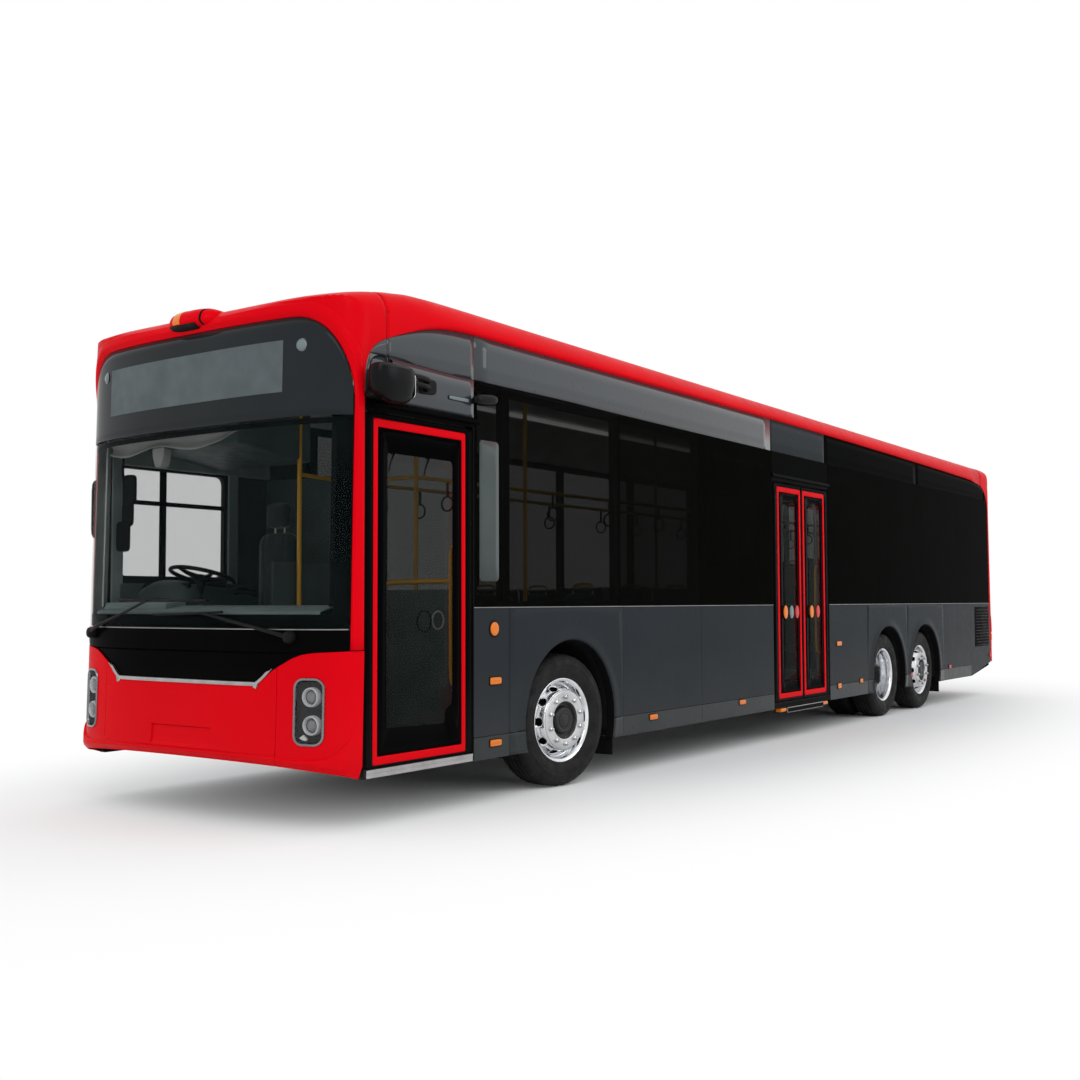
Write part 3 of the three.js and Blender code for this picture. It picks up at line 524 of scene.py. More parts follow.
def ontoSkin(points, centre):
    # each point slides along its line from centre until it lies on the skin, by halving
    points, centre = np.asarray(points, float), np.broadcast_to(np.asarray(centre, float), np.shape(points))
    low, high = np.full(points.shape[:-1], 0.3), np.full(points.shape[:-1], 1.8)
    for _ in range(34):
        middle = (low + high) / 2
        inside = bodyLevel(centre + (points - centre) * middle[..., None]) < 0
        low, high = np.where(inside, middle, low), np.where(inside, high, middle)
    return centre + (points - centre) * low[..., None]


def endTable(depth, roundness):
    # quarter of the plan curve as arc length against (across, behind the end plane)
    angle = np.linspace(0, np.pi / 2, 6000)
    x = bus["half"] * np.sin(angle) ** (2 / roundness)
    s = depth * (1 - np.cos(angle) ** (2 / roundness))
    length = np.concatenate([[0], np.cumsum(np.hypot(np.diff(x), np.diff(s)))])
    return length, x, s


noseTable = endTable(skin["noseDepth"], skin["noseRound"])
tailTable = endTable(skin["tailDepth"], skin["tailRound"])


def endPoints(w, z, lift=0.0, tail=False):
    # w is the length round the end from its middle, lift stands out from the skin
    table = tailTable if tail else noseTable
    w, z = np.broadcast_arrays(np.asarray(w, float), np.asarray(z, float))
    a = np.abs(w)
    x, s = np.interp(a, table[0], table[1]), np.interp(a, table[0], table[2])
    e = 0.004
    dx = np.interp(a + e, table[0], table[1]) - np.interp(np.maximum(a - e, 0), table[0], table[1])
    ds = np.interp(a + e, table[0], table[2]) - np.interp(np.maximum(a - e, 0), table[0], table[2])
    over = np.maximum(0, a - table[0][-1])
    ds = np.where(a > table[0][-1], 1.0, ds)
    dx = np.where(a > table[0][-1], 0.0, dx)
    size = np.hypot(dx, ds)
    x = (x + lift * ds / size) * np.sign(w)
    s = s + over - lift * dx / size + skin["lean"] * (z - bus["skirt"])
    return np.stack([x, along(bus["length"] - s) if tail else along(s), z], -1)


def roundTo(x, tail=False):
    # length round the end at which it is x across, read back from the table of the end
    table = tailTable if tail else noseTable
    return np.sign(x) * np.interp(np.abs(x), table[1], table[0])


# lower edge of the red roof band along the side, (s, z)
bandEdge = np.array([
    (0.318, 2.50), (0.320, 2.64), (0.332, 2.745), (0.362, 2.82), (0.42, 2.88), (0.506, 2.925), (0.62, 2.966),
    (0.78, 3.018), (0.93, 3.055), (1.10, 3.078), (1.30, 3.089), (1.6, 3.091), (2.4, 3.090), (4.5, 3.090),
    (7.3, 3.081), (10.0, 3.055), (12.4, 3.018), (12.8, 3.000), (13.0, 2.972), (13.15, 2.92),
    (13.25, 2.84), (13.31, 2.74), (13.335, 2.62), (13.34, 2.50),
])
bandCurve = smoothPath(np.column_stack([bandEdge, np.zeros(len(bandEdge))]), 900)[:, :2]


def bandHeight(s):
    # height of the red band's lower edge at a distance, read from its curve
    return np.interp(s, bandCurve[:, 0], bandCurve[:, 1])


def bandLower(s0, s1, count):
    # points along the band's lower edge between two stations, evenly by length
    inside = bandCurve[(bandCurve[:, 0] > s0) & (bandCurve[:, 0] < s1)]
    path = np.vstack([[s0, bandHeight(s0)], inside, [s1, bandHeight(s1)]])
    step = np.concatenate([[0], np.cumsum(np.hypot(*np.diff(path, axis=0).T))])
    t = np.linspace(0, step[-1], count)
    return np.column_stack([np.interp(t, step, path[:, 0]), np.interp(t, step, path[:, 1])])


roofJoin = {"front": 0.506, "rear": 13.0, "gap": 0.002, "lip": 0.017, "lipRise": 0.031}


def lipShare(s):
    # the lip under the band grows from nothing behind the hoop and dies away before the tail
    return smoothStep((s - 0.45) / 0.75) * (1 - smoothStep((s - 12.5) / 0.5))


def mirrored(points):
    # rows run up the left half; the right half follows, without the middle twice
    right = points[::-1].copy()
    right[..., 0] *= -1
    return np.concatenate([points, right[1:]])


def roofSection(s, count=34):
    # one half of the roof across at station s: lip, shoulder, crown
    low = bandHeight(s)
    floor = np.stack([np.full_like(s, bus["half"]), along(s), low], -1)
    zc, lip = 2.45, lipShare(s)
    rise = 0.004 + (roofJoin["lipRise"] - 0.004) * lip
    centre = np.stack([0 * s, along(s), 0 * s + zc], -1)
    start = np.arctan2(low + rise - zc, bus["half"])
    share = np.linspace(0, 1, count)[:, None]
    angle = start[None] + (np.pi / 2 - start[None]) * share ** 1.25
    ray = np.stack([np.cos(angle), 0 * angle, np.sin(angle)], -1)
    points = ontoSkin(centre[None] + ray, centre[None])
    points[..., 0] += roofJoin["lip"] * lip * (1 - smoothStep((points[..., 2] - low - rise) / 0.11))
    foot = floor.copy()
    foot[..., 0] += 0.001 * lip
    under = floor.copy()
    under[..., 0] += roofJoin["lip"] * 0.85 * lip
    under[..., 2] += rise * 0.72
    return np.concatenate([foot[None], under[None], points])


def hoopGrid(inner, outer, centre, ring, relief, steps=16):
    # rows of straight lines from inner to outer, laid on the skin, with a raised ring beside inner
    span = np.linalg.norm(outer - inner, axis=-1)
    width = np.minimum(ring[-1], span * 0.86)
    near = np.asarray(ring)[:, None] / ring[-1] * (width / span)[None]
    rest = np.linspace(0, 1, steps + 1)[1:, None]
    share = np.concatenate([near, (width / span)[None] + rest * (1 - width / span)[None]])
    height = np.concatenate([np.broadcast_to(np.asarray(relief)[:, None], near.shape),
                             (relief[-1] * (1 - smoothStep(rest * 2.2)) + 0.006 * np.sin(np.pi * rest))
                             * np.ones_like(span)[None]])
    points = inner[None] + (outer - inner)[None] * share[..., None]
    middle = np.broadcast_to(centre, points.shape).copy()
    middle[..., 2] = np.minimum(points[..., 2], centre[2])
    points = ontoSkin(points, middle)
    out = points - middle
    out /= np.linalg.norm(out, axis=-1, keepdims=True)
    return (points + out * height[..., None]).transpose(1, 0, 2)


# outline of the front glass, left half: up the straight side, round the corner, to the middle
screen = {"low": 1.18, "splitLow": 2.425, "splitHigh": 2.433, "top": 3.03, "half": 1.226,
          "spring": 2.5, "shoulder": 0.85, "roundness": 2.4}


def screenEdge(margin, low, sides=20, corner=30, across=14):
    # half outline of the screen: up a straight side, round a superellipse corner, in to the middle
    z = np.linspace(low, screen["spring"], sides)
    straight = np.column_stack([np.full(sides, screen["half"] + margin), z])
    angle = np.linspace(0, np.pi / 2, corner)[1:]
    reach = screen["half"] - screen["shoulder"] + margin
    rise = screen["top"] - screen["spring"] + margin
    bend = np.column_stack([screen["shoulder"] + reach * np.cos(angle) ** (2 / screen["roundness"]),
                            screen["spring"] + rise * np.sin(angle) ** (2 / screen["roundness"])])
    x = np.linspace(screen["shoulder"], 0, across)[1:]
    top = np.column_stack([x, np.full(across - 1, screen["top"] + margin)])
    return np.vstack([straight, bend, top])


def frontHoop():
    # the red hoop: from the screen's outline out to the wall, the band and the front seam of the roof
    low = 1.056
    inner2 = screenEdge(0.004, low)
    inner = endPoints(roundTo(inner2[:, 0]), inner2[:, 1])
    z = np.linspace(low, screen["spring"], 20)
    side = np.column_stack([np.full(20, bus["half"]), np.full(20, along(0.318)), z])
    band = bandLower(0.3181, roofJoin["front"] - roofJoin["gap"], 17)[1:]
    band = np.column_stack([np.full(16, bus["half"]), along(band[:, 0]), band[:, 1]])
    seam = roofSection(np.full(1, roofJoin["front"] - roofJoin["gap"]), 160)[:, 0]
    seam = seam[2:]
    length = np.concatenate([[0], np.cumsum(np.linalg.norm(np.diff(seam, axis=0), axis=1))])
    split = np.interp(-1.0, -seam[:, 0], length)
    t = np.concatenate([np.linspace(0, split, 14)[1:], np.linspace(split, length[-1], 14)[1:]])
    over = np.column_stack([np.interp(t, length, seam[:, k]) for k in range(3)])
    outer = np.vstack([side, band, over])
    grid = hoopGrid(inner, outer, np.array([0, along(1.35), 2.6]),
                    [0, 0.006, 0.036, 0.041, 0.066, 0.098, 0.106],
                    [-0.006, 0.0, 0.014, 0.016, 0.016, 0.013, 0.009])
    grid = mirrored(grid)
    piece = addPanel("front_hoop_skin", grid, redPaint, 0.006, 0.0, slot="red_paint", stands=("front_hoop",),
                     sharp=26)
    return piece


frontHoop()

roofStations = np.concatenate([np.linspace(roofJoin["front"] + roofJoin["gap"], 1.6, 30),
                               np.linspace(1.6, roofJoin["rear"] - roofJoin["gap"], 26)[1:]])
roofGrid = mirrored(roofSection(roofStations))
addPanel("roof_skin", roofGrid, redPaint, 0.006, 0.0, slot="red_paint", stands=("roof",), toward=(0, 0, 1),
         sharp=30)
print("roof and front hoop made")

# more makers

def appliedModifiers(piece):
    # bakes the modifiers into the mesh
    bpy.context.view_layer.update()
    made = bpy.data.meshes.new_from_object(piece.evaluated_get(bpy.context.evaluated_depsgraph_get()))
    old = piece.data
    piece.modifiers.clear()
    piece.data = made
    bpy.data.meshes.remove(old)
    return piece


def cutBy(piece, cutters):
    # takes closed cutters out of a piece, then lets go of them
    for cutter in cutters:
        hole = piece.modifiers.new("cut", "BOOLEAN")
        hole.operation = "DIFFERENCE"
        hole.solver = "EXACT"
        hole.object = cutter
    appliedModifiers(piece)
    for cutter in cutters:
        bpy.data.objects.remove(cutter)
    mesh = piece.data
    mesh.polygons.foreach_set("use_smooth", np.ones(len(mesh.polygons), bool))
    mesh.set_sharp_from_angle(angle=math.radians(32))
    return piece


def basisOf(axis):
    # three unit directions with the last along axis
    n = np.asarray(axis, float)
    n = n / np.linalg.norm(n)
    side = np.cross((0, 0, 1), n) if abs(n[2]) < 0.9 else np.cross((1, 0, 0), n)
    side /= np.linalg.norm(side)
    return side, np.cross(n, side), n


def addTurned(name, profile, centre, axis, material, count=48, **kw):
    # (radius, height) pairs turned about an axis of any direction through centre
    profile = np.asarray(profile, float)
    a, b, n = basisOf(axis)
    angle = np.linspace(0, 2 * np.pi, count, endpoint=False)[:, None, None]
    r, h = profile[None, :, 0, None], profile[None, :, 1, None]
    points = np.asarray(centre, float) + (a * np.cos(angle) + b * np.sin(angle)) * r + n * h
    kw.setdefault("toward", tuple(n))
    return addSurface(name, points, material, wrapRows=True, **kw)


def joined(name, parts, stands=()):
    # several finished pieces of one body become one object
    for part in parts:
        if part.modifiers:
            appliedModifiers(part)
    bpy.context.view_layer.update()
    with bpy.context.temp_override(active_object=parts[0], selected_editable_objects=parts,
                                   selected_objects=parts, object=parts[0]):
        bpy.ops.object.join()
    piece = parts[0]
    piece.name = name
    if stands:
        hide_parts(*stands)
    return piece


def onFront(outline, lift=0.0):
    # (across, height) pairs laid on the nose
    outline = np.asarray(outline, float)
    return endPoints(roundTo(outline[..., 0]), outline[..., 1], lift)


# front glass

def screenTop(x):
    # height of the glass outline above a place across
    a = np.clip((np.abs(x) - screen["shoulder"]) / (screen["half"] - screen["shoulder"]), 0, 1)
    return screen["spring"] + (screen["top"] - screen["spring"]) * (1 - a ** screen["roundness"]) ** (1
            / screen["roundness"])


def frontGlass():
    # panes and borders between outlines, laid on the nose at their own depths
    x = np.linspace(-1, 1, 71)
    w = roundTo(screen["half"]) * x
    pane = endPoints(w[:, None], np.linspace(screen["low"] + 0.004, screen["splitLow"], 7)[None], 0.0)
    addPanel("windscreen_pane", pane, clearGlass, 0.006, 0.0, slot="clear_glass", stands=("windscreen",),
             toward=(0, -1, 0))
    angle = np.linspace(0, np.pi / 2, 34)
    bend = screen["shoulder"] + (screen["half"] - screen["shoulder"]) * np.cos(angle) ** (2
            / screen["roundness"])
    across = np.concatenate([bend, np.linspace(screen["shoulder"], 0, 22)[1:]])
    across = np.concatenate([across, -across[::-1][1:]])
    share = np.linspace(0, 1, 12)[None]
    z = screen["splitHigh"] * (1 - share) + screenTop(across)[:, None] * share
    pane = endPoints(roundTo(across)[:, None], z)
    addPanel("destination_pane", pane, displayGlass, 0.006, 0.0, slot="tinted_glass",
             stands=("destination_window",),
             toward=(0, -1, 0))
    # printed black borders just behind the windscreen, and the grey display field behind its own glass
    strips = []
    for n, (w0, w1, z0, z1) in enumerate((
            (-1.0, 1.0, screen["low"] + 0.006, 1.264), (-1.0, -0.982, 1.264, 2.42), (0.925, 1.0, 1.264, 2.42),
            (-0.982, 0.925, 2.385, 2.42))):
        w = roundTo(screen["half"]) * np.linspace(w0, w1, 40)
        strips.append(addSurface(f"border{n}", endPoints(w[:, None], np.linspace(z0, z1, 6)[None], -0.010),
                                 blackBand,
                                 toward=(0, -1, 0)))
    joined("windscreen_border", strips)
    w = roundTo(np.linspace(-0.867, 0.803, 40))
    addSurface("destination_display", endPoints(w[:, None], np.linspace(2.588, 2.90, 8)[None], 0.0012),
               displayField,
               toward=(0, -1, 0), slot="tinted_glass")
    for n, sign in enumerate((1, -1)):
        spot = onFront([[sign * 0.939, 2.86]])[0]
        addTurned(f"top_lamp_{n}", [(0, 0.012), (0.018, 0.011), (0.028, 0.006), (0.033, 0.001),
                                    (0.036, 0.003), (0.039, 0.0)],
                  spot, (sign * 0.35, -1, 0.02), smokedLens, slot="lamp_lens")


displayField = mouldedPlastic("grey display field", (0.075, 0.093, 0.098), 0.55, 900, 0.1, 0.25)
frontGlass()

# front panels

bumperTop = np.array([(0, 0.850), (0.60, 0.850), (0.655, 0.853), (0.705, 0.880), (0.765, 0.927),
                      (0.815, 0.957),
                      (0.872, 0.986), (0.92, 1.010), (0.976, 1.029), (1.03, 1.038), (1.094, 1.043),
                      (1.226, 1.050),
                      (1.30, 1.053)])
bumperCrease = np.array([(0, 0.441), (0.24, 0.441), (0.80, 0.432), (0.99, 0.425), (1.08, 0.428),
                         (1.147, 0.443),
                         (1.195, 0.480), (1.231, 0.537), (1.245, 0.59), (1.2535, 0.62)])
bumper = {"bottom": 0.388, "bottomSide": 0.306, "seam": 0.81, "gap": 0.0018, "rear": 0.314, "tuck": 0.030,
          "plateHalf": 0.285, "plateLow": 0.452, "plateHigh": 0.577, "plateDepth": 0.011,
          "lampLow": 0.503, "lampHigh": 0.897, "lampInner": 0.932, "lampOuter": 1.124}


def acrossOf(w):
    # distance across at a length round the nose, read from its table
    return np.interp(np.abs(w), noseTable[0], noseTable[1])


def topOf(w):
    # height of the bumper's top edge at a length round the nose
    return np.interp(acrossOf(w), bumperTop[:, 0], bumperTop[:, 1])


def creaseOf(w):
    # height of the bumper's crease at a length round the nose
    return np.interp(np.minimum(acrossOf(w), 1.2535), bumperCrease[:, 0], bumperCrease[:, 1])


def bottomOf(w):
    # the lower edge drops as the nose runs back to the doors
    s = np.interp(np.abs(w), noseTable[0], noseTable[2]) + np.maximum(0, np.abs(w) - noseTable[0][-1])
    return bumper["bottom"] - (bumper["bottom"] - bumper["bottomSide"]) * np.clip(s / 0.30, 0, 1) ** 0.9


def bumperLift(w, z):
    # a swell above the crease, a ledge under it that grows towards the corners, a tuck at the bottom,
    # and the shallow seat of the number plate
    crease, low, a = creaseOf(w), bottomOf(w), acrossOf(w)
    ledge = 0.008 + 0.012 * smoothStep((a - 0.75) / 0.35)
    ledge = ledge * (1 - smoothStep((a - 1.222) / 0.026))
    below = smoothStep((crease - z) / 0.009)
    lift = ledge * below + 0.006 * np.exp(-((z - crease) / 0.055) ** 2) * (z > crease) * (1
            - smoothStep((a - 1.1) / 0.12))
    lift = lift - bumper["tuck"] * smoothStep((low + 0.040 - z) / 0.040)
    seat = smoothStep((bumper["plateHalf"] - np.abs(w)) / 0.006) * smoothStep((bumper["plateHigh"] - z)
            / 0.006)
    # a narrow groove runs round the seat
    inset, width = 0.003, 0.0022
    inside = (z > bumper["plateLow"] - 0.002) & (z < bumper["plateHigh"])
    groove = np.exp(-((np.abs(w) - bumper["plateHalf"] + inset) / width) ** 2) * inside
    over = np.exp(-((z - bumper["plateHigh"] + inset) / width) ** 2) * (np.abs(w) < bumper["plateHalf"])
    lift = lift - 0.007 * np.maximum(groove, over)
    return lift - bumper["plateDepth"] * seat * smoothStep((z - bumper["plateLow"]) / 0.02)


def bumperGrid(w, cells, top):
    # a column at each length w, with rows from the lower edge over the crease up to the top
    low, crease = bottomOf(w)[:, None], creaseOf(w)[:, None]
    under = np.array([0, 0.25, 0.5, 0.75])[None] * (crease - 0.010 - low) + low
    step = crease - np.array([0.010, 0.0075, 0.005, 0.0025, 0.0])[None]
    plate = np.broadcast_to(np.array(cells)[None], (len(w), len(cells)))
    base = plate[:, -1:] if len(cells) else crease
    above = base + (top[:, None] - base) * np.linspace(0, 1, 15)[1:][None]
    z = np.concatenate([under, step, plate, above], 1)
    return endPoints(w[:, None], z, bumperLift(w[:, None], z))


def frontPanels():
    # strips of the nose between lines of height: bumper, black panel, trim and tray
    seam = roundTo(bumper["seam"])
    half = roundTo(bumper["plateHalf"])
    w = np.concatenate([np.linspace(0, half - 0.007, 9),
                        half - np.array([0.005, 0.004, 0.003, 0.002, 0.001, 0.0]),
                        np.linspace(half, seam - bumper["gap"], 22)[1:]])
    w = np.concatenate([-w[::-1][:-1], w])
    high = bumper["plateHigh"]
    cells = [0.447, 0.452, 0.458, 0.465, 0.472, 0.50, 0.54,
             *(high - np.array([0.007, 0.005, 0.004, 0.003, 0.002, 0.001, 0.0])), 0.62]
    addPanel("front_bumper_middle", bumperGrid(w, cells, topOf(w)), redPaint, 0.006, 0.0025, slot="red_paint",
                      stands=("front_panel",), toward=(0, -1, 0), sharp=28)
    for side, sign in (("left", 1), ("right", -1)):
        end = np.interp(bumper["rear"] - 0.008, noseTable[2], noseTable[0])
        w = sign * np.linspace(seam + bumper["gap"], end, 46)
        corner = addPanel(f"front_bumper_{side}", bumperGrid(w, [], topOf(w)), redPaint, 0.006, 0.0,
                          slot="red_paint",
                          toward=(0, -1, 0), sharp=28)
        outline = roundedRect(bumper["lampInner"] + 0.004, bumper["lampOuter"] - 0.004,
                              bumper["lampLow"] + 0.004,
                              bumper["lampHigh"] - 0.004, 0.058, 9) * (sign, 1)
        cutter = addBar("lamp cutter", outline, "y", along(-0.2), along(0.32), redPaint, 0)
        appliedModifiers(corner)
        cutBy(corner, [cutter])
        easeEdges(corner, 0.0015)
    # black panel below the cowl, narrowing to nothing where the bumper rises
    x = np.linspace(0, 0.985, 40)
    x = np.concatenate([-x[::-1][:-1], x])
    w = roundTo(x)
    low = topOf(w) + 0.004
    share = np.linspace(0, 1, 10)[None]
    z = low[:, None] * (1 - share) + np.maximum(low + 0.001, 1.033)[:, None] * share
    addPanel("front_grille_panel", endPoints(w[:, None], z, -0.012), blackPaint, 0.006, 0.002,
             slot="black_paint",
             toward=(0, -1, 0))
    w = roundTo(screen["half"] - 0.003) * np.linspace(-1, 1, 71)
    low = np.maximum(1.043, topOf(w) + 0.004)[:, None]
    z = low + (1.172 - low) * np.linspace(0, 1, 12)[None]
    swell = 0.004 * np.sin(np.linspace(0, 1, 12) * np.pi)[None]
    addPanel("front_cowl", endPoints(w[:, None], z, swell - 0.002), blackPaint, 0.006, 0.002,
             slot="black_paint",
             toward=(0, -1, 0))
    z = np.array([1.1735, 1.1745, 1.1785, 1.1795])[None]
    addPanel("cowl_bead", endPoints(w[:, None], z, np.array([0.0, 0.0035, 0.0035, 0.0])[None]), satinSteel,
             0.003, 0.0,
             slot="polished_aluminium", toward=(0, -1, 0))
    # bright trim along the foot of the black panel, turned up at both ends
    path = smoothPath([(0, 0.8405, 0), (0.62, 0.8405, 0), (0.652, 0.845, 0), (0.70, 0.876, 0),
                       (0.752, 0.921, 0),
                       (0.775, 0.944, 0)], 60)[:, :2]
    step = np.concatenate([[0], np.cumsum(np.hypot(*np.diff(path, axis=0).T))])
    t = np.linspace(0, step[-1], 70)
    path = np.column_stack([np.interp(t, step, path[:, 0]), np.interp(t, step, path[:, 1])])
    path = np.vstack([path[::-1][:-1] * (-1, 1), path])
    a = np.abs(path[:, 0])
    tall = 0.024 - 0.004 * smoothStep((a - 0.62) / 0.06) - 0.018 * smoothStep((a - 0.74) / 0.036)
    across = np.array([0.0, 0.04, 0.5, 0.82, 0.96, 1.0])
    trimLift = np.array([-0.010, 0.006, 0.0095, 0.0075, 0.004, -0.012])
    direction = np.stack([-np.gradient(path[:, 1]), np.gradient(path[:, 0])], -1)
    direction /= np.linalg.norm(direction, axis=1, keepdims=True)
    spots = path[:, None] + direction[:, None] * across[None, :, None] * tall[:, None, None]
    addPanel("front_trim", endPoints(roundTo(spots[..., 0]), spots[..., 1], trimLift[None]), satinSteel,
             0.003, 0.0,
             slot="polished_aluminium", toward=(0, -1, 0))
    # black tray that closes the front underneath and behind its seams, its black painted shade seen through
    # them
    w = np.linspace(-1, 1, 61) * np.interp(0.30, noseTable[2], noseTable[0])
    z = np.linspace(0, 1, 8)[None] * (1.17 - 0.40) + 0.40
    back = endPoints(w[:, None], z, -0.035)
    foot = back[:, :1].copy()
    foot[..., 1] = along(0.325)
    foot[..., 2] = 0.372
    lip = endPoints(w[:, None], bottomOf(w)[:, None] + 0.006, -0.036)
    addPanel("front_backing", np.concatenate([foot, lip, back[:, 1:]], 1), blackPartsAndPaintedShade, 0.004, 0.0,
             slot="black_plastic",
             toward=(0, -1, 0))


frontPanels()

# headlamps: a bright rim, a black bowl, two round lamps and a clear cover

lampStyle = {"corner": 0.062, "bowl": 0.046, "ring": 0.052, "places": ((1.036, 0.785), (1.043, 0.621))}


def headlamp(side, sign):
    # rings of one rounded oblong, each drawn in and lifted by its own amounts, and two round lamps
    b = bumper

    def loop(inset, lift, corner=None):
        r = max(0.01, lampStyle["corner"] - inset) if corner is None else corner
        o = roundedRect(b["lampInner"] + inset, b["lampOuter"] - inset, b["lampLow"] + inset,
                        b["lampHigh"] - inset, r, 10)
        return onFront(o * (sign, 1), lift)

    rim = np.stack([loop(0.006, -0.012), loop(0.0, 0.003), loop(0.002, 0.008), loop(0.008, 0.010),
                    loop(0.014, 0.008),
                    loop(0.017, 0.002), loop(0.018, -0.012)])
    addSurface(f"{side}_headlamp_rim", rim, rimMetal, wrapCols=True, toward=(0, -1, 0),
               slot="polished_aluminium",
               stands=(f"{side}_headlamp",))
    middle = onFront([[sign * (b["lampInner"] + b["lampOuter"]) / 2, (b["lampLow"] + b["lampHigh"]) / 2]],
                     -lampStyle["bowl"])
    bowl = [loop(0.017, 0.0), loop(0.018, -0.010), loop(0.021, -0.026), loop(0.026, -0.036),
            loop(0.034, -0.042),
            loop(0.052, -lampStyle["bowl"], 0.03)]
    bowl.append(np.broadcast_to(middle, bowl[0].shape).copy())
    addSurface(f"{side}_headlamp_bowl", np.stack(bowl), satinBlack, wrapCols=True, toward=(0, -1, 0),
               slot="black_plastic")
    cover = [loop(0.018, -0.003), loop(0.020, 0.001), loop(0.030, 0.0035), loop(0.05, 0.0045, 0.03)]
    cover.append(np.broadcast_to(onFront([[sign * 1.028, 0.70]], 0.005), cover[0].shape).copy())
    addSurface(f"{side}_headlamp_cover", np.stack(cover), coverGlass, wrapCols=True, toward=(0, -1, 0),
               slot="lamp_lens")
    parts, lenses = [], []
    for n, (x, z) in enumerate(lampStyle["places"]):
        at = onFront([[sign * x, z]], -lampStyle["bowl"] - 0.004)[0]
        axis = np.array((sign * 0.16, -1, 0.0))
        k = lampStyle["ring"] / 0.041
        parts.append(addTurned(f"ring{n}", np.array([(0.047, 0), (0.046, 0.022), (0.043, 0.034),
                                                     (0.040, 0.036), (0.036, 0.030),
                                                     (0.034, 0.016), (0.031, 0.010)]) * k, at, axis,
                                                     chromeRing, 56))
        lenses.append(addTurned(f"lens{n}", np.array([(0.031, 0.010), (0.029, 0.018), (0.024, 0.025),
                                                      (0.017, 0.030),
                                                      (0.009, 0.0325), (0.0, 0.033)]) * k, at, axis,
                                                      projectorLens, 48))
    x0 = b["lampInner"] + 0.030
    wedge = np.array([(x0, 0.548), (x0 + 0.020, 0.536), (x0 + 0.046, 0.532), (x0 + 0.050, 0.543),
                      (x0 + 0.026, 0.566)])
    front = onFront(wedge * (sign, 1), -0.018)
    back = onFront(wedge * (sign, 1), -0.040)
    n = len(wedge)
    faces = [list(range(n)), list(range(2 * n - 1, n - 1, -1))] + [[i, (i + 1) % n, n + (i + 1) % n, n + i]
            for i in range(n)]
    parts.append(makeObject("wedge", np.vstack([front, back]), faces, chromeRing, closed=True))
    joined(f"{side}_headlamp_rings", parts)
    joined(f"{side}_headlamp_lenses", lenses)


chromeRing = mouldedPlastic("silvered reflector", (0.44, 0.45, 0.46), 0.22, 60, 0.05, 0.6)
rimMetal = brushedMetal("dark chromed lamp rim", (0.22, 0.22, 0.23), 0.22, 90)
projectorLens = lensPlastic("projector lens", (0.16, 0.17, 0.18), 30, 0.06)
coverGlass = paneGlass("clear lamp cover", (0.5, 0.5, 0.5), 0.06, 0.5)
headlamp("left", 1)
headlamp("right", -1)

# pod on the front edge of the roof

pod = {"half": 0.200, "s": 0.118, "z": 3.126, "deep": 0.125, "tall": 0.068}


def roofPod():
    # a capsule: rounded-square sections that close at both ends
    t = np.linspace(-1, 1, 49)
    x = pod["half"] * np.sin(t * np.pi / 2)
    r = (1 - np.abs(np.clip(x / pod["half"], -1, 1)) ** 3.2) ** (1 / 3.2)
    angle = np.linspace(0, 2 * np.pi, 40, endpoint=False)
    c, s = np.cos(angle), np.sin(angle)
    u, v = np.sign(c) * np.abs(c) ** 0.8, np.sign(s) * np.abs(s) ** 0.8
    lean = 0.25
    y = along(pod["s"]) + pod["deep"] * r[:, None] * u[None] + lean * pod["tall"] * v[None]
    z = pod["z"] + pod["tall"] * r[:, None] * v[None]
    points = np.stack([np.broadcast_to(x[:, None], y.shape), y, z], -1)
    addSurface("roof_pod_shell", points[:, :], redPaint, wrapCols=True, closed=True, slot="red_paint",
               stands=("roof_pod",))
    # amber segment, black gap and black foot sit a little proud of it
    for name, x0, x1, a0, a1, grow, material, slot in (
            ("roof_pod_lamp", -0.105, -0.035, -0.30, 0.62, 1.02, amberLens, "lamp_lens"),
            ("roof_pod_gap", 0.135, 0.150, -1.0, 1.0, 1.012, blackPartsAndPaintedShade, "black_plastic"),
            ("roof_pod_foot", -0.155, 0.10, -1.25, -0.34, 1.03, blackPlastic, "black_plastic")):
        xs = np.linspace(x0, x1, 14)
        rr = (1 - np.abs(xs / pod["half"]) ** 3.2) ** (1 / 3.2) * grow
        aa = np.pi - np.linspace(a0, a1, 24) * np.pi / 2
        c, s = np.cos(aa), np.sin(aa)
        u, v = np.sign(c) * np.abs(c) ** 0.8, np.sign(s) * np.abs(s) ** 0.8
        y = along(pod["s"]) + pod["deep"] * rr[:, None] * u[None] + lean * pod["tall"] * v[None]
        z = pod["z"] + pod["tall"] * rr[:, None] * v[None]
        addPanel(name, np.stack([np.broadcast_to(xs[:, None], y.shape), y, z], -1), material, 0.006, 0.001,
                 toward=(0, -1, 0.2), slot=slot)


roofPod()
print("front made")

# side panels

arches = {"front": (2.50, 0.58), "drive": (9.14, 0.56), "tag": (10.46, 0.56), "height": 0.478, "flare": 0.011,
          "reach": 0.10}
side = {"gap": 0.0018, "thick": 0.005, "bevel": 0.0012}


def upperSeam(s):
    # the long seam between the glass band and the panels under the roof
    return np.interp(s, [0.34, 0.42, 1.19, 2.37, 3.2, 4.5, 6.0, 9.8, 13.4],
                     [2.815, 2.815, 2.795, 2.800, 2.792, 2.786, 2.782, 2.779, 2.777])


def onSide(sign, s, z, lift=0.0):
    # points on the flat side: half the width plus lift across, distance along, height
    s, z, lift = np.broadcast_arrays(np.asarray(s, float), np.asarray(z, float), np.asarray(lift, float))
    return np.stack([sign * (bus["half"] + lift), along(s), z], -1)


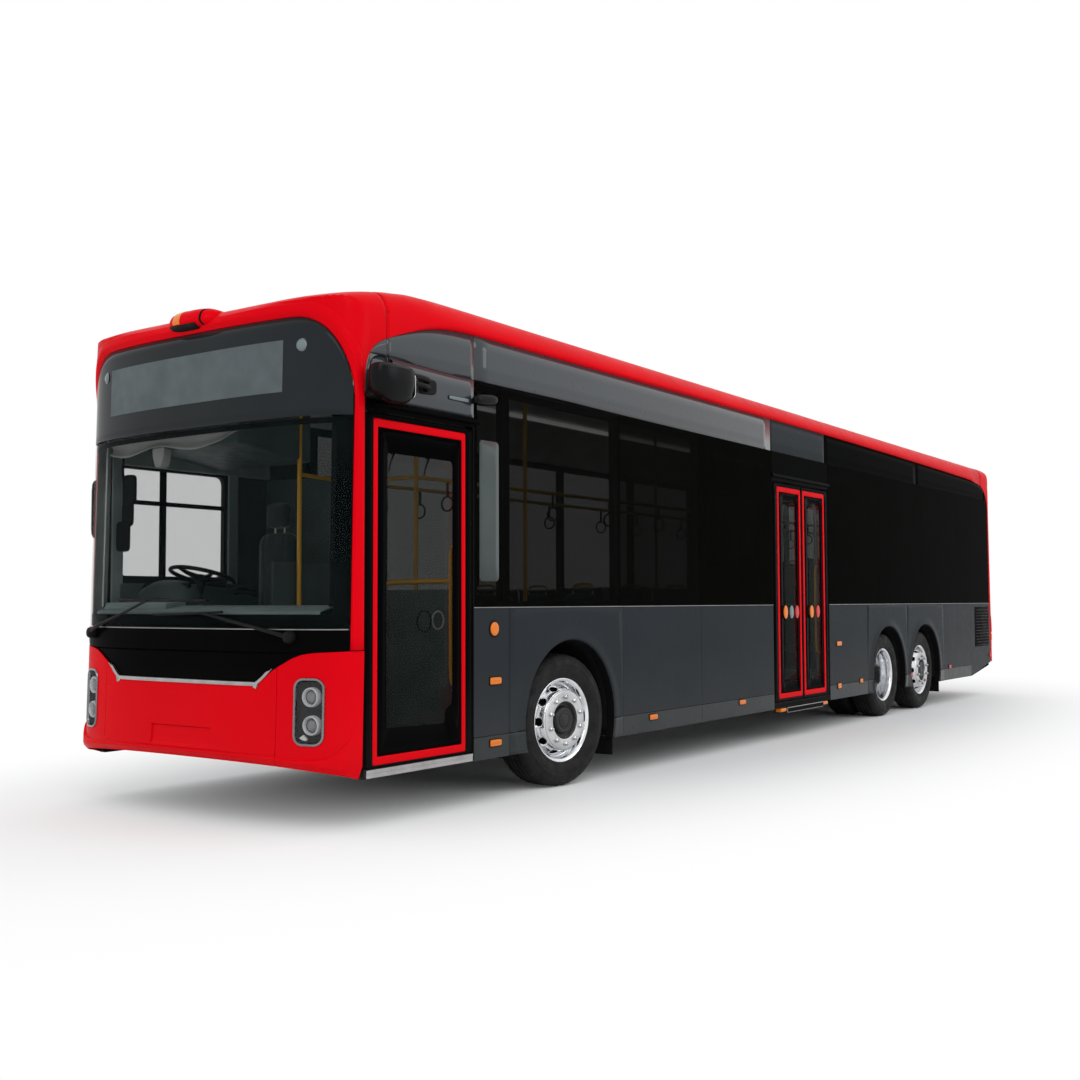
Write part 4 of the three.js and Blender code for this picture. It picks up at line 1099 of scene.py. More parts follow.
def sideSheet(name, sign, s0, s1, low, high, material, columns=2, rows=2, **kw):
    # flat sheet between two stations; low and high may change along it
    s = np.linspace(s0, s1, columns)
    z0 = low(s) if callable(low) else np.full(columns, low)
    z1 = high(s) if callable(high) else np.full(columns, high)
    share = np.linspace(0, 1, rows)[None]
    grid = onSide(sign, s[:, None], z0[:, None] * (1 - share) + z1[:, None] * share, kw.pop("lift", 0.0))
    return addPanel(name, grid, material, kw.pop("thickness", side["thick"]), kw.pop("bevel", side["bevel"]),
                    toward=(sign, 0, 0), **kw)


def archFlare(r, radius):
    # the sheet swells towards the wheel opening and rolls back at its very edge
    near = np.clip((r - radius) / arches["reach"], 0, 1)
    swell = arches["flare"] * (1 - smoothStep(near))
    return swell - 0.010 * (1 - smoothStep((r - radius) / 0.012))


def archSheet(name, sign, s0, s1, low, high, arch, material, count=72):
    # sheet round a wheel opening: rays from the wheel's middle out to the sheet's edges
    centre, radius = arch
    middle = np.array([centre, arches["height"]])
    start = math.asin((low - middle[1]) / radius)
    corners = [math.atan2(z - middle[1], s - centre) for s,
               z in ((s0, low), (s1, low), (s0, high), (s1, high))]
    angles = np.linspace(start, np.pi - start, count)
    corners = [c if c > -np.pi / 2 else c + 2 * np.pi for c in corners]
    angles = np.unique(np.round(np.concatenate([angles, [c for c in corners if start < c < np.pi - start]]),
                                6))
    outline = np.array([(s0, low), (s1, low), (s1, high), (s0, high)], float)
    outer = raysTo(outline, middle, angles)
    direction = np.stack([np.cos(angles), np.sin(angles)], -1)
    inner = middle + direction * radius
    reach = np.maximum(0, np.linalg.norm(outer - middle, axis=1) - radius)
    outer = middle + direction * (radius + reach)[:, None]
    t = np.concatenate([[0, 0.004, 0.008, 0.012], np.linspace(0.02, arches["reach"], 6)])
    share = np.minimum(t[None] / np.maximum(reach[:, None], 1e-6), 1)
    share = np.concatenate([share, np.linspace(share[:, -1], 1, 5, axis=1)[:, 1:]], 1)
    spots = inner[:, None] + (outer - inner)[:, None] * share[..., None]
    r = np.linalg.norm(spots - middle, axis=-1)
    edge = np.minimum.reduce([spots[..., 0] - s0, s1 - spots[..., 0], high - spots[..., 1] + 0.2])
    lift = archFlare(r, radius) * smoothStep(edge / 0.02 + (edge > 5))
    grid = onSide(sign, spots[..., 0], spots[..., 1], lift)
    return addPanel(name, grid, material, side["thick"], 0.0, toward=(sign, 0, 0), sharp=35)


def lowerSide(sign, seams, arch=None):
    # sheets under the glass between two seams, split along the skirt seam
    g = side["gap"]
    s0, s1 = seams[0] + g, seams[1] - g
    low, mid, high = bus["skirt"], bus["skirtSeam"], bus["glassLow"] - 0.003
    parts = []
    if arch is None:
        parts.append(sideSheet("a", sign, s0, s1, low, mid - g, shadedSkirtGrey, 4))
        parts.append(sideSheet("b", sign, s0, s1, mid + g, high, shadedSheetGrey, 4, 4))
        return parts
    parts.append(archSheet("b", sign, s0, s1, mid + g, high, arch, shadedSheetGrey))
    centre, radius = arch
    z = np.linspace(low, mid - g, 7)
    reach = np.sqrt(radius ** 2 - (z - arches["height"]) ** 2)
    for n, (end, way) in enumerate(((s0, -1), (s1, 1))):
        edge = centre + way * reach
        if (edge[-1] - end) * way > -0.02:
            continue
        t = np.array([0, 0.004, 0.008, 0.012, 0.03, 0.06, 0.1])
        span = np.abs(end - edge)[:, None]
        share = np.minimum(t[None] / span, 1)
        share = np.concatenate([share, np.ones((len(z), 1))], 1)
        s = edge[:, None] + (end - edge)[:, None] * share
        r = np.hypot(s - centre, z[:, None] - arches["height"])
        lift = archFlare(r, radius) * smoothStep(np.abs(s - end) / 0.02)
        parts.append(addPanel(f"c{n}", onSide(sign, s, np.broadcast_to(z[:, None], s.shape), lift), shadedSkirtGrey,
                              side["thick"], 0.0, toward=(sign, 0, 0)))
    return parts


rearRise = {"from": 12.44, "height": 0.45}


def buildSide(sign):
    # one side as sheets between its seams, with rays round the wheel openings
    name = "left" if sign > 0 else "right"
    g = side["gap"]
    lower = []
    if sign > 0:
        runs = [((1.352, 1.736), None), ((1.736, 3.213), arches["front"]), ((3.213, 4.507), None),
                ((4.507, 5.978), None),
                ((7.362, 8.46), None)]
    else:
        runs = [((0.318, 1.736), None), ((1.736, 3.213), arches["front"]), ((3.213, 4.507), None),
                ((4.507, 5.978), None),
                ((5.978, 7.362), None), ((7.362, 8.46), None)]
    for seams, arch in runs:
        lower += lowerSide(sign, seams, arch)
    # the two rear wheel openings meet between the wheels without a seam
    lower += lowerSide(sign, (8.46, 9.80 + g), arches["drive"])
    lower += lowerSide(sign, (9.80 - g, 11.21), arches["tag"])
    lower += lowerSide(sign, (11.21, 12.41))
    rise = lambda s: np.interp(s, [rearRise["from"], 13.27], [0.302, rearRise["height"]])
    lower.append(sideSheet("t", sign, 12.41 + g, 13.338, rise, bus["glassLow"] - 0.003, shadedSheetGrey, 8, 4))
    joined(f"{name}_lower_panels", lower)
    # panels between the glass and the red band
    upper = []
    # from the middle door back the panels turn darker, the shaded slate copy and then black gloss, as painted
    # dark reflection
    for s0, s1 in ((1.352, 5.95), (5.95, 7.28), (7.28, 10.2), (10.2, 13.2)):
        s = np.linspace(s0 + g, s1 - g, 30)
        share = np.linspace(0, 1, 4)[None]
        z0, z1 = upperSeam(s)[:, None] + g, bandHeight(s)[:, None] + 0.012
        upper.append(addPanel("u", onSide(sign, s[:, None], z0 * (1 - share) + z1 * share),
                              greyPaint if s0 < 5 else (shadedSheetGrey if s0 < 7 else blackGloss), side["thick"],
                              0.0, toward=(sign, 0, 0)))
    # the last strip by the tail in black gloss, painted dark reflection
    s = bandCurve[(bandCurve[:, 0] > 13.2) & (bandCurve[:, 0] < 13.338)]
    s = np.vstack([[13.2 + g, bandHeight(13.2)], s])[:, 0]
    z1 = np.maximum(bandHeight(s), 2.50)[:, None] - 0.002
    share = np.linspace(0, 1, 4)[None]
    z0 = np.minimum(upperSeam(s)[:, None] + g, z1 - 0.001)
    upper.append(addPanel("u", onSide(sign, s[:, None], z0 * (1 - share) + z1 * share), blackGloss,
                          side["thick"], 0.0,
                          toward=(sign, 0, 0)))
    # the corner panel behind the hoop, from the door head up to the band
    s = np.concatenate([bandCurve[(bandCurve[:, 0] > 0.3215) & (bandCurve[:, 0] < 0.506 - g), 0],
                        [0.506 - g]])
    for lo, hi in ((2.545, lambda q: upperSeam(q) - g),
                   (lambda q: upperSeam(q) + g, lambda q: bandHeight(q) - 0.002)):
        for part in (s, np.linspace(0.506 + g, 1.352 - g, 24)):
            top = np.minimum(hi(part), bandHeight(part) + (0.012 if part[0] > 0.5 else -0.002))
            bottom = lo(part) if callable(lo) else np.full(len(part), lo)
            keep = top - bottom > 0.004
            if keep.sum() < 2:
                continue
            zz = bottom[keep][:, None] * (1 - share) + top[keep][:, None] * share
            upper.append(addPanel("u", onSide(sign, part[keep][:, None], zz), greyPaint, side["thick"], 0.0,
                                  toward=(sign, 0, 0)))
    if sign > 0:
        # head panel over the middle doorway
        upper.append(sideSheet("u", sign, 5.978, 7.362, 2.56, lambda q: upperSeam(q) - g, blackGloss, 6))
    joined(f"{name}_upper_panels", upper)


buildSide(1)
buildSide(-1)

# side glass: sheets edge to edge, their black borders behind them

paneSeams = {
    "left_front": (1.362, 1.718, 3.164, 4.492, 5.974),
    "left_rear": (7.366, 8.864, 10.364, 11.864, 13.336),
    "right": (1.43, 2.30, 3.164, 4.492, 5.976, 7.44, 8.90, 10.36, 11.86, 13.336),
}


def glassRun(name, sign, seams, stands, materials):
    # a run of panes between seams, each in its own glass, up to the upper seam or the band
    parts = []
    g = side["gap"]
    for n, (s0, s1) in enumerate(zip(seams[:-1], seams[1:])):
        low = bus["glassLow"] + 0.003
        high = (lambda q: np.minimum(upperSeam(q) - g,
                                     bandHeight(q) - 0.003)) if s1 > 13 else (lambda q: upperSeam(q) - g)
        parts.append(sideSheet(f"p{n}", sign, s0 + g, s1 - g, low, high,
                               materials[min(n, len(materials) - 1)], 9, 5, lift=-0.0004, thickness=0.005,
                               bevel=0.0008))
    return joined(name, parts, stands)


# the panes go darker towards the rear, copies of one glass, as painted dark reflection
glassRun("left_front_glass", 1, paneSeams["left_front"], ("left_front_windows",),
         (midGlass, midGlass, shadeGlass, darkReflectionGlass))
glassRun("left_rear_glass", 1, paneSeams["left_rear"], ("left_rear_windows",), (darkReflectionGlass,))
glassRun("right_glass", -1, paneSeams["right"], ("right_windows",), (darkReflectionGlass, shadeGlass, farGlass))
# thin bright bead along the foot of the glass
for tag, sign, s0, s1 in (("left_front", 1, 1.356, 5.976), ("left_rear", 1, 7.366, 13.336),
                          ("right", -1, 0.32, 13.336)):
    y0, y1, z = along(s0), along(s1), bus["glassLow"]
    addBlock(f"{tag}_glass_bead", (sign * 1.2505 if sign > 0 else -1.2545, y0, z - 0.0022),
             (1.2545 if sign > 0 else -1.2505, y1, z + 0.0022), satinSteel, 0.0006, slot="polished_aluminium")
# the frame's side walls go black, painted shade seen through the seams between the panels
for node in ("left_side", "right_side"):
    frame["nodes"][node].data.materials.clear()
    frame["nodes"][node].data.materials.append(blackPartsAndPaintedShade)
print("sides made")
# doors

doorStyle = {
    "face": 1.2512,  # outer face of a leaf
    "foot": 0.364,
    "redTall": 0.050,
}
doorLeaves = {
    # ends and top of the leaf, outer outline of its red border, border width, clear part of its glass
    "front_door": {"span": (0.339, 1.338), "top": 2.466, "red": (0.395, 1.268, 0.374, 2.432), "wide": 0.040,
                   "pin": 0.800,
                   "clear": [(0.515, 0.585), (1.062, 0.572), (1.066, 0.652), (1.138, 0.695), (1.138, 2.215),
                             (1.122, 2.235),
                             (0.531, 2.235), (0.515, 2.215)]},
    "mid_door_front": {"span": (6.000, 6.663), "top": 2.486, "red": (6.092, 6.652, 0.392, 2.450),
                       "wide": 0.044, "pin": 6.370,
                       "clear": [(6.215, 0.545), (6.530, 0.545), (6.530, 2.330), (6.215, 2.330)]},
    "mid_door_rear": {"span": (6.678, 7.340), "top": 2.486, "red": (6.700, 7.262, 0.392, 2.450),
                      "wide": 0.044, "pin": 6.970,
                      "clear": [(6.820, 0.545), (7.135, 0.545), (7.135, 2.330), (6.820, 2.330)]},
}

doorwayLinings = {
    # ends of the doorway, foot and top of its strips and how far the strip over it goes up, inner face of
    # them all,
    # width of the front and rear strips, width of the returns. A leaf drifts 7 to 9 mm along the bus before
    # it is out
    # of its doorway, so a strip is thin on the side that a leaf opens towards.
    "front": {"span": (0.3215, 1.3505), "foot": 0.355, "top": 2.478, "head": 2.540, "inside": 1.190,
              "fore": 0.005, "aft": 0.007, "return": 0.022,
               "returnDepth": (1.188, 1.200), "returnHeight": (0.52, 2.28)},
    "middle": {"span": (5.9805, 7.3595), "foot": 0.355, "top": 2.498, "head": 2.556, "inside": 1.190,
               "fore": 0.005, "aft": 0.005, "return": 0.022,
               "returnDepth": (1.188, 1.200), "returnHeight": (0.52, 2.28)},
}


def sideRing(name, inner, outer, lifts, material, face=None, thickness=0.004, **kw):
    # straight lines from a hole's outline to an outer outline on a flat side, each row at its own height
    grid = ringGrid(inner, outer, len(lifts), 80)
    x = (doorStyle["face"] if face is None else face) + np.asarray(lifts)[:, None]
    points = np.stack([np.broadcast_to(x, grid.shape[:2]), along(grid[..., 0]), grid[..., 1]], -1)
    return addPanel(name, points, material, thickness, kw.pop("bevel", 0.0), wrapCols=True, toward=(1, 0, 0),
                    **kw)


def sideFill(name, outline, material, face, thickness=0.004, **kw):
    # a flat plate inside an outline: shrunken copies of it down to its middle
    outline = np.asarray(outline, float)
    middle = outline.mean(0)
    share = np.array([1.0, 0.6, 0.25, 0.0])[:, None, None]
    spots = middle + (outline[None] - middle) * share
    points = np.stack([np.full(spots.shape[:2], face), along(spots[..., 0]), spots[..., 1]], -1)
    return addPanel(name, points, material, thickness, 0.0, wrapCols=True, toward=(1, 0, 0), **kw)


def rounded(outline, radius, steps=5):
    # each corner of an outline of pairs gives way to a curve that starts and ends radius away from it
    p = np.asarray(outline, float)
    before, after = np.roll(p, 1, axis=0) - p, np.roll(p, -1, axis=0) - p
    sizes = [np.linalg.norm(v, axis=1, keepdims=True) for v in (before, after)]
    r = np.minimum(radius, 0.45 * np.minimum(*sizes))
    a, b = p + before / sizes[0] * r, p + after / sizes[1] * r
    t = np.linspace(0, 1, steps)[None, :, None]
    curve = a[:, None] * (1 - t) ** 2 + 2 * p[:, None] * t * (1 - t) + b[:, None] * t ** 2
    return curve.reshape(-1, 2)


def ringLoop(name, centre, radius, wire, axis, material, count=36, **kw):
    # a wire bent to a circle round an axis
    a, b, _ = basisOf(axis)
    angle = np.linspace(0, 2 * np.pi, count, endpoint=False)[:, None, None]
    turn = np.linspace(0, 2 * np.pi, 10, endpoint=False)[None, :, None]
    out = a * np.cos(angle) + b * np.sin(angle)
    n = np.asarray(axis, float) / np.linalg.norm(axis)
    points = np.asarray(centre, float) + out * (radius + wire * np.cos(turn)) + n * wire * np.sin(turn)
    return addSurface(name, points, material, True, True, closed=True, **kw)


def ovalLens(name, s, z, wide, tall, material, body, x=None, high=0.012, slot="lamp_lens"):
    # a domed oval lens with a raised rim: rings that shrink towards the middle
    angle = np.linspace(0, 2 * np.pi, 28, endpoint=False)[None]
    scale = np.array([1.0, 1.0, 0.94, 0.86, 0.80, 0.62, 0.35, 0.0])[:, None]
    lift = np.array([-0.001, 0.5, 0.75, 0.55, 0.6, 0.85, 0.98, 1.0])[:, None] * high
    face = doorStyle["face"] if x is None else x
    points = np.stack([face + lift + 0 * angle, along(s + wide / 2 * scale * np.cos(angle)),
                       z + tall / 2 * scale * np.sin(angle)], -1)
    return addSurface(name, points, material, wrapCols=True, toward=(1, 0, 0), body=body, slot=slot)


def doorLeaf(name, style):
    # one leaf in rings between outlines: its edge, red border, glass print and clear part
    body = f"{name}_leaf"
    s0, s1 = style["span"]
    r0, r1, z0, z1 = style["red"]
    wide = style["wide"]
    edge = roundedRect(s0, s1, doorStyle["foot"], style["top"], 0.010)
    outer = roundedRect(r0, r1, z0, z1, 0.014)
    inner = roundedRect(r0 + wide, r1 - wide, z0 + doorStyle["redTall"], z1 - doorStyle["redTall"], 0.006)
    clear = rounded(style["clear"], 0.018)
    hole = roundedRect(s0 + 0.066, s1 - 0.066, 0.478, style["top"] - 0.152, 0.030)
    frameParts = [
        sideRing("a", outer, edge, [0.0, 0.0006, 0.0], blackPaint, body=body),
        sideRing("b", hole, edge, [-0.0055, -0.0055], blackPartsAndPaintedShade, thickness=0.038, bevel=0.001, body=body),
    ]
    for z in (0.390, 0.470, 2.355, 2.435):
        pin = style["pin"]
        frameParts.append(addBlock("lug", (1.167, along(pin - 0.021), z - 0.009),
                                   (1.211, along(pin + 0.021), z + 0.009),
                                   satinBlack, 0.003, body=body))
    joined(f"{name}_frame", frameParts, (name,))
    sideRing(f"{name}_red_border", inner, outer, [-0.001, 0.0008, 0.0012, 0.0012, 0.0008, -0.001], redPaint,
             body=body,
             slot="red_paint", thickness=0.003)
    glassPrint = sideRing("a", clear, inner, [-0.0012, -0.0012], blackBand, body=body)
    pane = sideFill("b", clear, doorGlass, doorStyle["face"] - 0.0012, body=body)
    joined(f"{name}_pane", [glassPrint, pane], (f"{name}_glass",))
    # rubber seals up both edges
    seals = []
    for n, s in enumerate((s0 + 0.004, s1 - 0.004)):
        seals.append(addTube(f"seal{n}", [(1.228, along(s), z)
                                          for z in (0.368, 0.6, 1.4, 2.2, style["top"] - 0.004)], 0.0075,
                             rubber, 10, body=body))
    joined(f"{name}_seals", seals)


def grabBar(name, path, radius, material, body, slot):
    # a tube along a smooth curve through the path
    return addTube(name, smoothPath(path, 28), radius, material, 12, body=body, slot=slot)


def allDoors():
    # the three leaves with their fittings, and what is fixed round the two doorways
    for name, style in doorLeaves.items():
        doorLeaf(name, style)
    # two ring handles and two hooks on the inner face of the front door
    rings = [ringLoop("r0", (1.198, along(0.921), 1.215), 0.066, 0.006, (1, 0, 0), blackPlastic,
                      body="front_door_leaf"),
             ringLoop("r1", (1.198, along(1.054), 1.220), 0.056, 0.006, (1, 0, 0), satinSteel,
                      body="front_door_leaf")]
    joined("front_door_ring_handles", rings)
    hooks = []
    for n, s in enumerate((0.640, 0.970)):
        hooks.append(addTurned(f"k{n}", [(0.010, 0.0), (0.010, 0.012), (0.024, 0.018), (0.027, 0.028),
                                         (0.020, 0.040), (0.0, 0.043)],
                               (1.212, along(s), 2.262), (-1, 0, 0), blackPlastic, 24,
                               body="front_door_leaf"))
        hooks.append(addTube(f"h{n}", smoothPath([(1.196, along(s), 2.245), (1.194, along(s - 0.03), 2.19),
                                                  (1.200, along(s - 0.055), 2.13)], 12), 0.0055, blackPlastic,
                                                  8,
                             body="front_door_leaf"))
    joined("front_door_hooks", hooks)
    for name, s in (("front_door", 1.215), ("mid_door_front", 6.16), ("mid_door_rear", 7.19)):
        grabBar(f"{name}_grab_bar", [(1.206, along(s), 0.80), (1.176, along(s), 0.84), (1.172, along(s), 1.1),
                                     (1.172, along(s), 1.4),
                                     (1.176, along(s), 1.66), (1.206, along(s), 1.70)], 0.014, yellowPaint,
                                     f"{name}_leaf",
                "yellow_rail")
    # oval lamps on the middle door
    for n, (leaf, s, kind) in enumerate((("mid_door_front", 6.262, amberLens),
                                         ("mid_door_front", 6.402, smokedLens),
                                         ("mid_door_front", 6.532, redLens),
                                         ("mid_door_rear", 6.900, amberLens),
                                         ("mid_door_rear", 7.058, redLens))):
        ovalLens(f"door_lamp_{n}", s, 1.228, 0.092, 0.128, kind, f"{leaf}_leaf", high=0.010)
    # drip rails, sill strips and the ramp under the middle door, all fixed to the shell
    for name, s0, s1, z in (("front_drip_rail", 0.372, 1.405, 2.502),
                            ("middle_drip_rail", 5.972, 7.385, 2.532)):
        profile = [(1.249, z), (1.267, z + 0.004), (1.271, z + 0.010), (1.267, z + 0.026), (1.262, z + 0.034),
                   (1.249, z + 0.038)]
        addBar(name, profile, "y", along(s0), along(s1), blackPaint, 0.002, slot="black_paint")
    for name, s0, s1 in (("front", 0.345, 1.345), ("middle", 5.985, 7.355)):
        strip = [(1.225, 0.304), (1.2515, 0.304), (1.2515, 0.313), (1.2495, 0.315), (1.2495, 0.330),
                 (1.2515, 0.332),
                 (1.2515, 0.352), (1.225, 0.352)]
        addBar(f"{name}_sill_strip", strip, "y", along(s0), along(s1),
               satinSteel if name == "front" else blackPaint, 0.0012,
               slot="polished_aluminium")
        addBar(f"{name}_step_nosing", [(1.150, 0.3705), (1.196, 0.3705), (1.196, 0.3755), (1.150, 0.3755)],
               "y", along(s0 + 0.01),
               along(s1 - 0.01), yellowPaint, 0.0012, slot="yellow_rail")
    ramp = roundedRect(1.12, 1.262, 0.252, 0.302, 0.012, 4)
    addBar("ramp_box", ramp, "y", along(6.245), along(7.150), blackPaint, 0.003, slot="black_paint")
    edges = [addBar("e0", [(1.2615, 0.296), (1.2635, 0.296), (1.2635, 0.3035), (1.2615, 0.3035)], "y",
                    along(6.25), along(7.145),
                    satinSteel, 0.0008),
             addBar("e1", [(1.2610, 0.252), (1.2635, 0.252), (1.2635, 0.2565), (1.2610, 0.2565)], "y",
                    along(6.25), along(7.145),
                    satinSteel, 0.0008),
             addBar("e2", [(1.2612, 0.254), (1.2635, 0.254), (1.2635, 0.302), (1.2612, 0.302)], "y",
                    along(6.249), along(6.258),
                    satinSteel, 0.0008)]
    joined("ramp_edges", edges)
    for n, (s0, s1) in enumerate(((6.115, 6.238), (7.157, 7.272))):
        addBar(f"ramp_lamp_{n}", roundedRect(1.20, 1.260, 0.266, 0.300, 0.010, 4), "y", along(s0), along(s1),
               amberLens, 0.003,
               slot="lamp_lens")
    # black linings round the two doorways, a return behind the edge of the leaf on each side
    for name, style in doorwayLinings.items():
        s0, s1 = style["span"]
        top, face, inside = style["top"], doorStyle["face"], style["inside"]
        parts = []
        strips = ((s0, s0 + style["fore"], style["foot"], top), (s1 - style["aft"], s1, style["foot"], top),
                  (s0, s1, top + 0.001, style["head"]))
        for n, (a, b, z0, z1) in enumerate(strips):
            parts.append(addBlock(f"j{n}", (inside, along(a), z0), (face, along(b), z1), blackPaint, 0.002))
        deep, tall = style["returnDepth"], style["returnHeight"]
        for n, (a, b) in enumerate(((s0, s0 + style["return"]), (s1 - style["return"], s1))):
            parts.append(addBlock(f"r{n}", (deep[0], along(a), tall[0]), (deep[1], along(b), tall[1]),
                                  blackPaint, 0.002))
        joined(f"{name}_doorway_lining", parts)


yellowPaint = dustyPaint("yellow powder coat", (0.72, 0.36, 0.012), 0.35, 0.2, 0.2, 0.3)
allDoors()
for node in ("front_door_arms", "mid_door_front_arms", "mid_door_rear_arms"):
    frame["nodes"][node].data.materials.clear()
    frame["nodes"][node].data.materials.append(satinSteel)
print("doors made")
# wheels

wheelStyle = {
    "boltCircle": 0.1675, "holeAcross": 0.031, "holeTall": 0.029, "turns": 144,
}
# (radius, outboard) from the middle of the tyre
tyreHalf = [(0.287, 0.0985), (0.2905, 0.1075), (0.2975, 0.1125), (0.306, 0.1175), (0.313, 0.1225),
            (0.3175, 0.1235),
            (0.320, 0.1222), (0.338, 0.1302), (0.360, 0.1352), (0.383, 0.1378), (0.398, 0.1372),
            (0.4005, 0.1385),
            (0.404, 0.1365), (0.420, 0.1335), (0.4365, 0.1285), (0.4395, 0.1298), (0.443, 0.1265),
            (0.454, 0.1205),
            (0.4635, 0.1125), (0.4705, 0.1025), (0.4750, 0.0925), (0.4768, 0.084), (0.4770, 0.0645),
            (0.4665, 0.0625),
            (0.4665, 0.0545), (0.4774, 0.0525), (0.4778, 0.0255), (0.4672, 0.0238), (0.4672, 0.0162),
            (0.4780, 0.0145)]
singleRim = [(0.2850, -0.1000), (0.2850, 0.0960), (0.2905, 0.1010), (0.2985, 0.1060), (0.3030, 0.1110),
             (0.3026, 0.1150),
             (0.2985, 0.1160), (0.2920, 0.1135), (0.2840, 0.1095), (0.2765, 0.1025), (0.2725, 0.0900),
             (0.2708, 0.0700),
             (0.2690, 0.0580), (0.2660, 0.0525), (0.2630, 0.0515), (0.2610, 0.0530)]
singleFace = [(0.2165, 0.1360), (0.2150, 0.1400), (0.2110, 0.1435), (0.2050, 0.1450), (0.1400, 0.1450),
              (0.1362, 0.1435),
              (0.1345, 0.1400), (0.1345, 0.1000)]
singleBack = [(0.2600, 0.0500), (0.2620, 0.0200), (0.2640, 0.0000), (0.2660, -0.0500), (0.2700, -0.0850),
              (0.2780, -0.1010),
              (0.2860, -0.1080), (0.2990, -0.1140), (0.3030, -0.1120), (0.3020, -0.1070), (0.2850, -0.1000)]
twinRim = [(0.2850, 0.0620), (0.2850, 0.2570), (0.2905, 0.2620), (0.2985, 0.2670), (0.3030, 0.2720),
           (0.3026, 0.2760),
           (0.2985, 0.2770), (0.2920, 0.2745), (0.2840, 0.2705), (0.2765, 0.2635), (0.2725, 0.2510),
           (0.2705, 0.2200),
           (0.2680, 0.1900), (0.2600, 0.1650), (0.2585, 0.1100), (0.2560, 0.0650), (0.2500, 0.0350),
           (0.2420, 0.0220)]
twinFace = [(0.2000, 0.0140), (0.1960, 0.0145), (0.1440, 0.0145), (0.1400, 0.0150)]
twinBack = [(0.2850, 0.0620), (0.3020, 0.0480), (0.2960, 0.0420), (0.2720, 0.0440), (0.2710, -0.0440),
            (0.2960, -0.0420),
            (0.3020, -0.0480), (0.2850, -0.0620), (0.2850, -0.2570), (0.2985, -0.2670), (0.3026, -0.2760),
            (0.2920, -0.2745),
            (0.2765, -0.2635), (0.2705, -0.2200), (0.2600, -0.1650), (0.2560, -0.0650), (0.2420, -0.0100),
            (0.1400, -0.0110)]
hubCap = {"single": [(0.1343, 0.106), (0.118, 0.102), (0.104, 0.106), (0.100, 0.116), (0.097, 0.124),
                     (0.094, 0.130),
                     (0.088, 0.1370), (0.078, 0.1395), (0.074, 0.1380), (0.050, 0.1385), (0.046, 0.1400),
                     (0.0, 0.1410)],
          "twin": [(0.1405, 0.0135), (0.116, 0.016), (0.111, 0.022), (0.108, 0.060), (0.104, 0.072),
                   (0.100, 0.100),
                   (0.096, 0.125), (0.088, 0.1335), (0.066, 0.1360), (0.062, 0.1335), (0.0, 0.1345)]}


def inWheel(points, centre, axis):
    # (radial a, radial b, outboard) to places in the bus
    a, b, n = basisOf(axis)
    return np.asarray(centre, float) + points[..., :1] * a + points[..., 1:2] * b + points[..., 2:] * n


def wheelLathe(name, profile, centre, axis, material, count=72, body="shell", **kw):
    # a (radius, outboard) profile turned about the wheel's axis
    profile = np.asarray(profile, float)
    t = np.linspace(0, 2 * np.pi, count, endpoint=False)[:, None]
    r, h = profile[None, :, 0], profile[None, :, 1]
    points = np.stack([r * np.cos(t), r * np.sin(t), h + 0 * t], -1)
    kw.setdefault("toward", tuple(axis))
    return addSurface(name, inWheel(points, centre, axis), material, wrapRows=True, body=body, **kw)


def tyre(name, body, centre, axis, node):
    # the turned section, its shoulders notched in step with the turn
    half = np.array(tyreHalf)
    profile = np.vstack([half, half[::-1] * (1, -1)])
    count = wheelStyle["turns"]
    t = np.linspace(0, 2 * np.pi, count, endpoint=False)[:, None]
    shoulder = np.abs(profile[:, 1])[None]
    edge = (shoulder > 0.066) & (shoulder < 0.108) & (profile[None, :, 0] > 0.466)
    notch = np.where(np.arange(count)[:, None] % 3 == 0, 0.0075, 0.0) * edge
    rib = np.where(np.arange(count)[:, None] % 6 == 1, 0.004,
                   0.0) * ((shoulder < 0.053) & (profile[None, :, 0] > 0.4773))
    r = profile[None, :, 0] - notch - rib
    points = np.stack([r * np.cos(t), r * np.sin(t), profile[None, :, 1] + 0 * t], -1)
    return addSurface(name, inWheel(points, centre, axis), rubber, True, True, closed=True, body=body,
                      stands=(node,),
                      slot="tyre_rubber", sharp=40)


def holedBand(name, start, end, centre, axis, material, body, count=10, bulge=0.003, thickness=0.009):
    # a conical band split into sectors, each with an oval hole: rings from the hole out to the sector's edge
    (r0, h0), (r1, h1) = start, end
    middle, length = (r0 + r1) / 2, math.hypot(r1 - r0, h1 - h0)
    half = np.pi / count * middle
    t = np.linspace(0, 2 * np.pi, 28, endpoint=False)
    hole = np.stack([wheelStyle["holeAcross"] * np.cos(t), length * 0.5 + wheelStyle["holeTall"] * np.sin(t)],
                    -1)
    edge = np.array([(-half, 0), (half, 0), (half, length), (-half, length)])
    grid = ringGrid(hole, edge, 5, 48)
    rows, n = grid.shape[:2]
    turn = grid[None, ..., 0] / middle + (np.arange(count) * 2 * np.pi / count)[:, None, None]
    v = np.broadcast_to(grid[None, ..., 1] / length, turn.shape)
    r = r0 + (r1 - r0) * v
    h = h0 + (h1 - h0) * v + bulge * np.sin(np.pi * v)
    points = np.stack([r * np.cos(turn), r * np.sin(turn), h], -1)
    faces = gridFaces(rows, n, wrapCols=True)
    faces = np.concatenate([faces + k * rows * n for k in range(count)])
    piece = makeObject(name, inWheel(points, centre, axis), faces, material, body=body, toward=tuple(axis))
    return panelEdges(piece, thickness, 0.0)


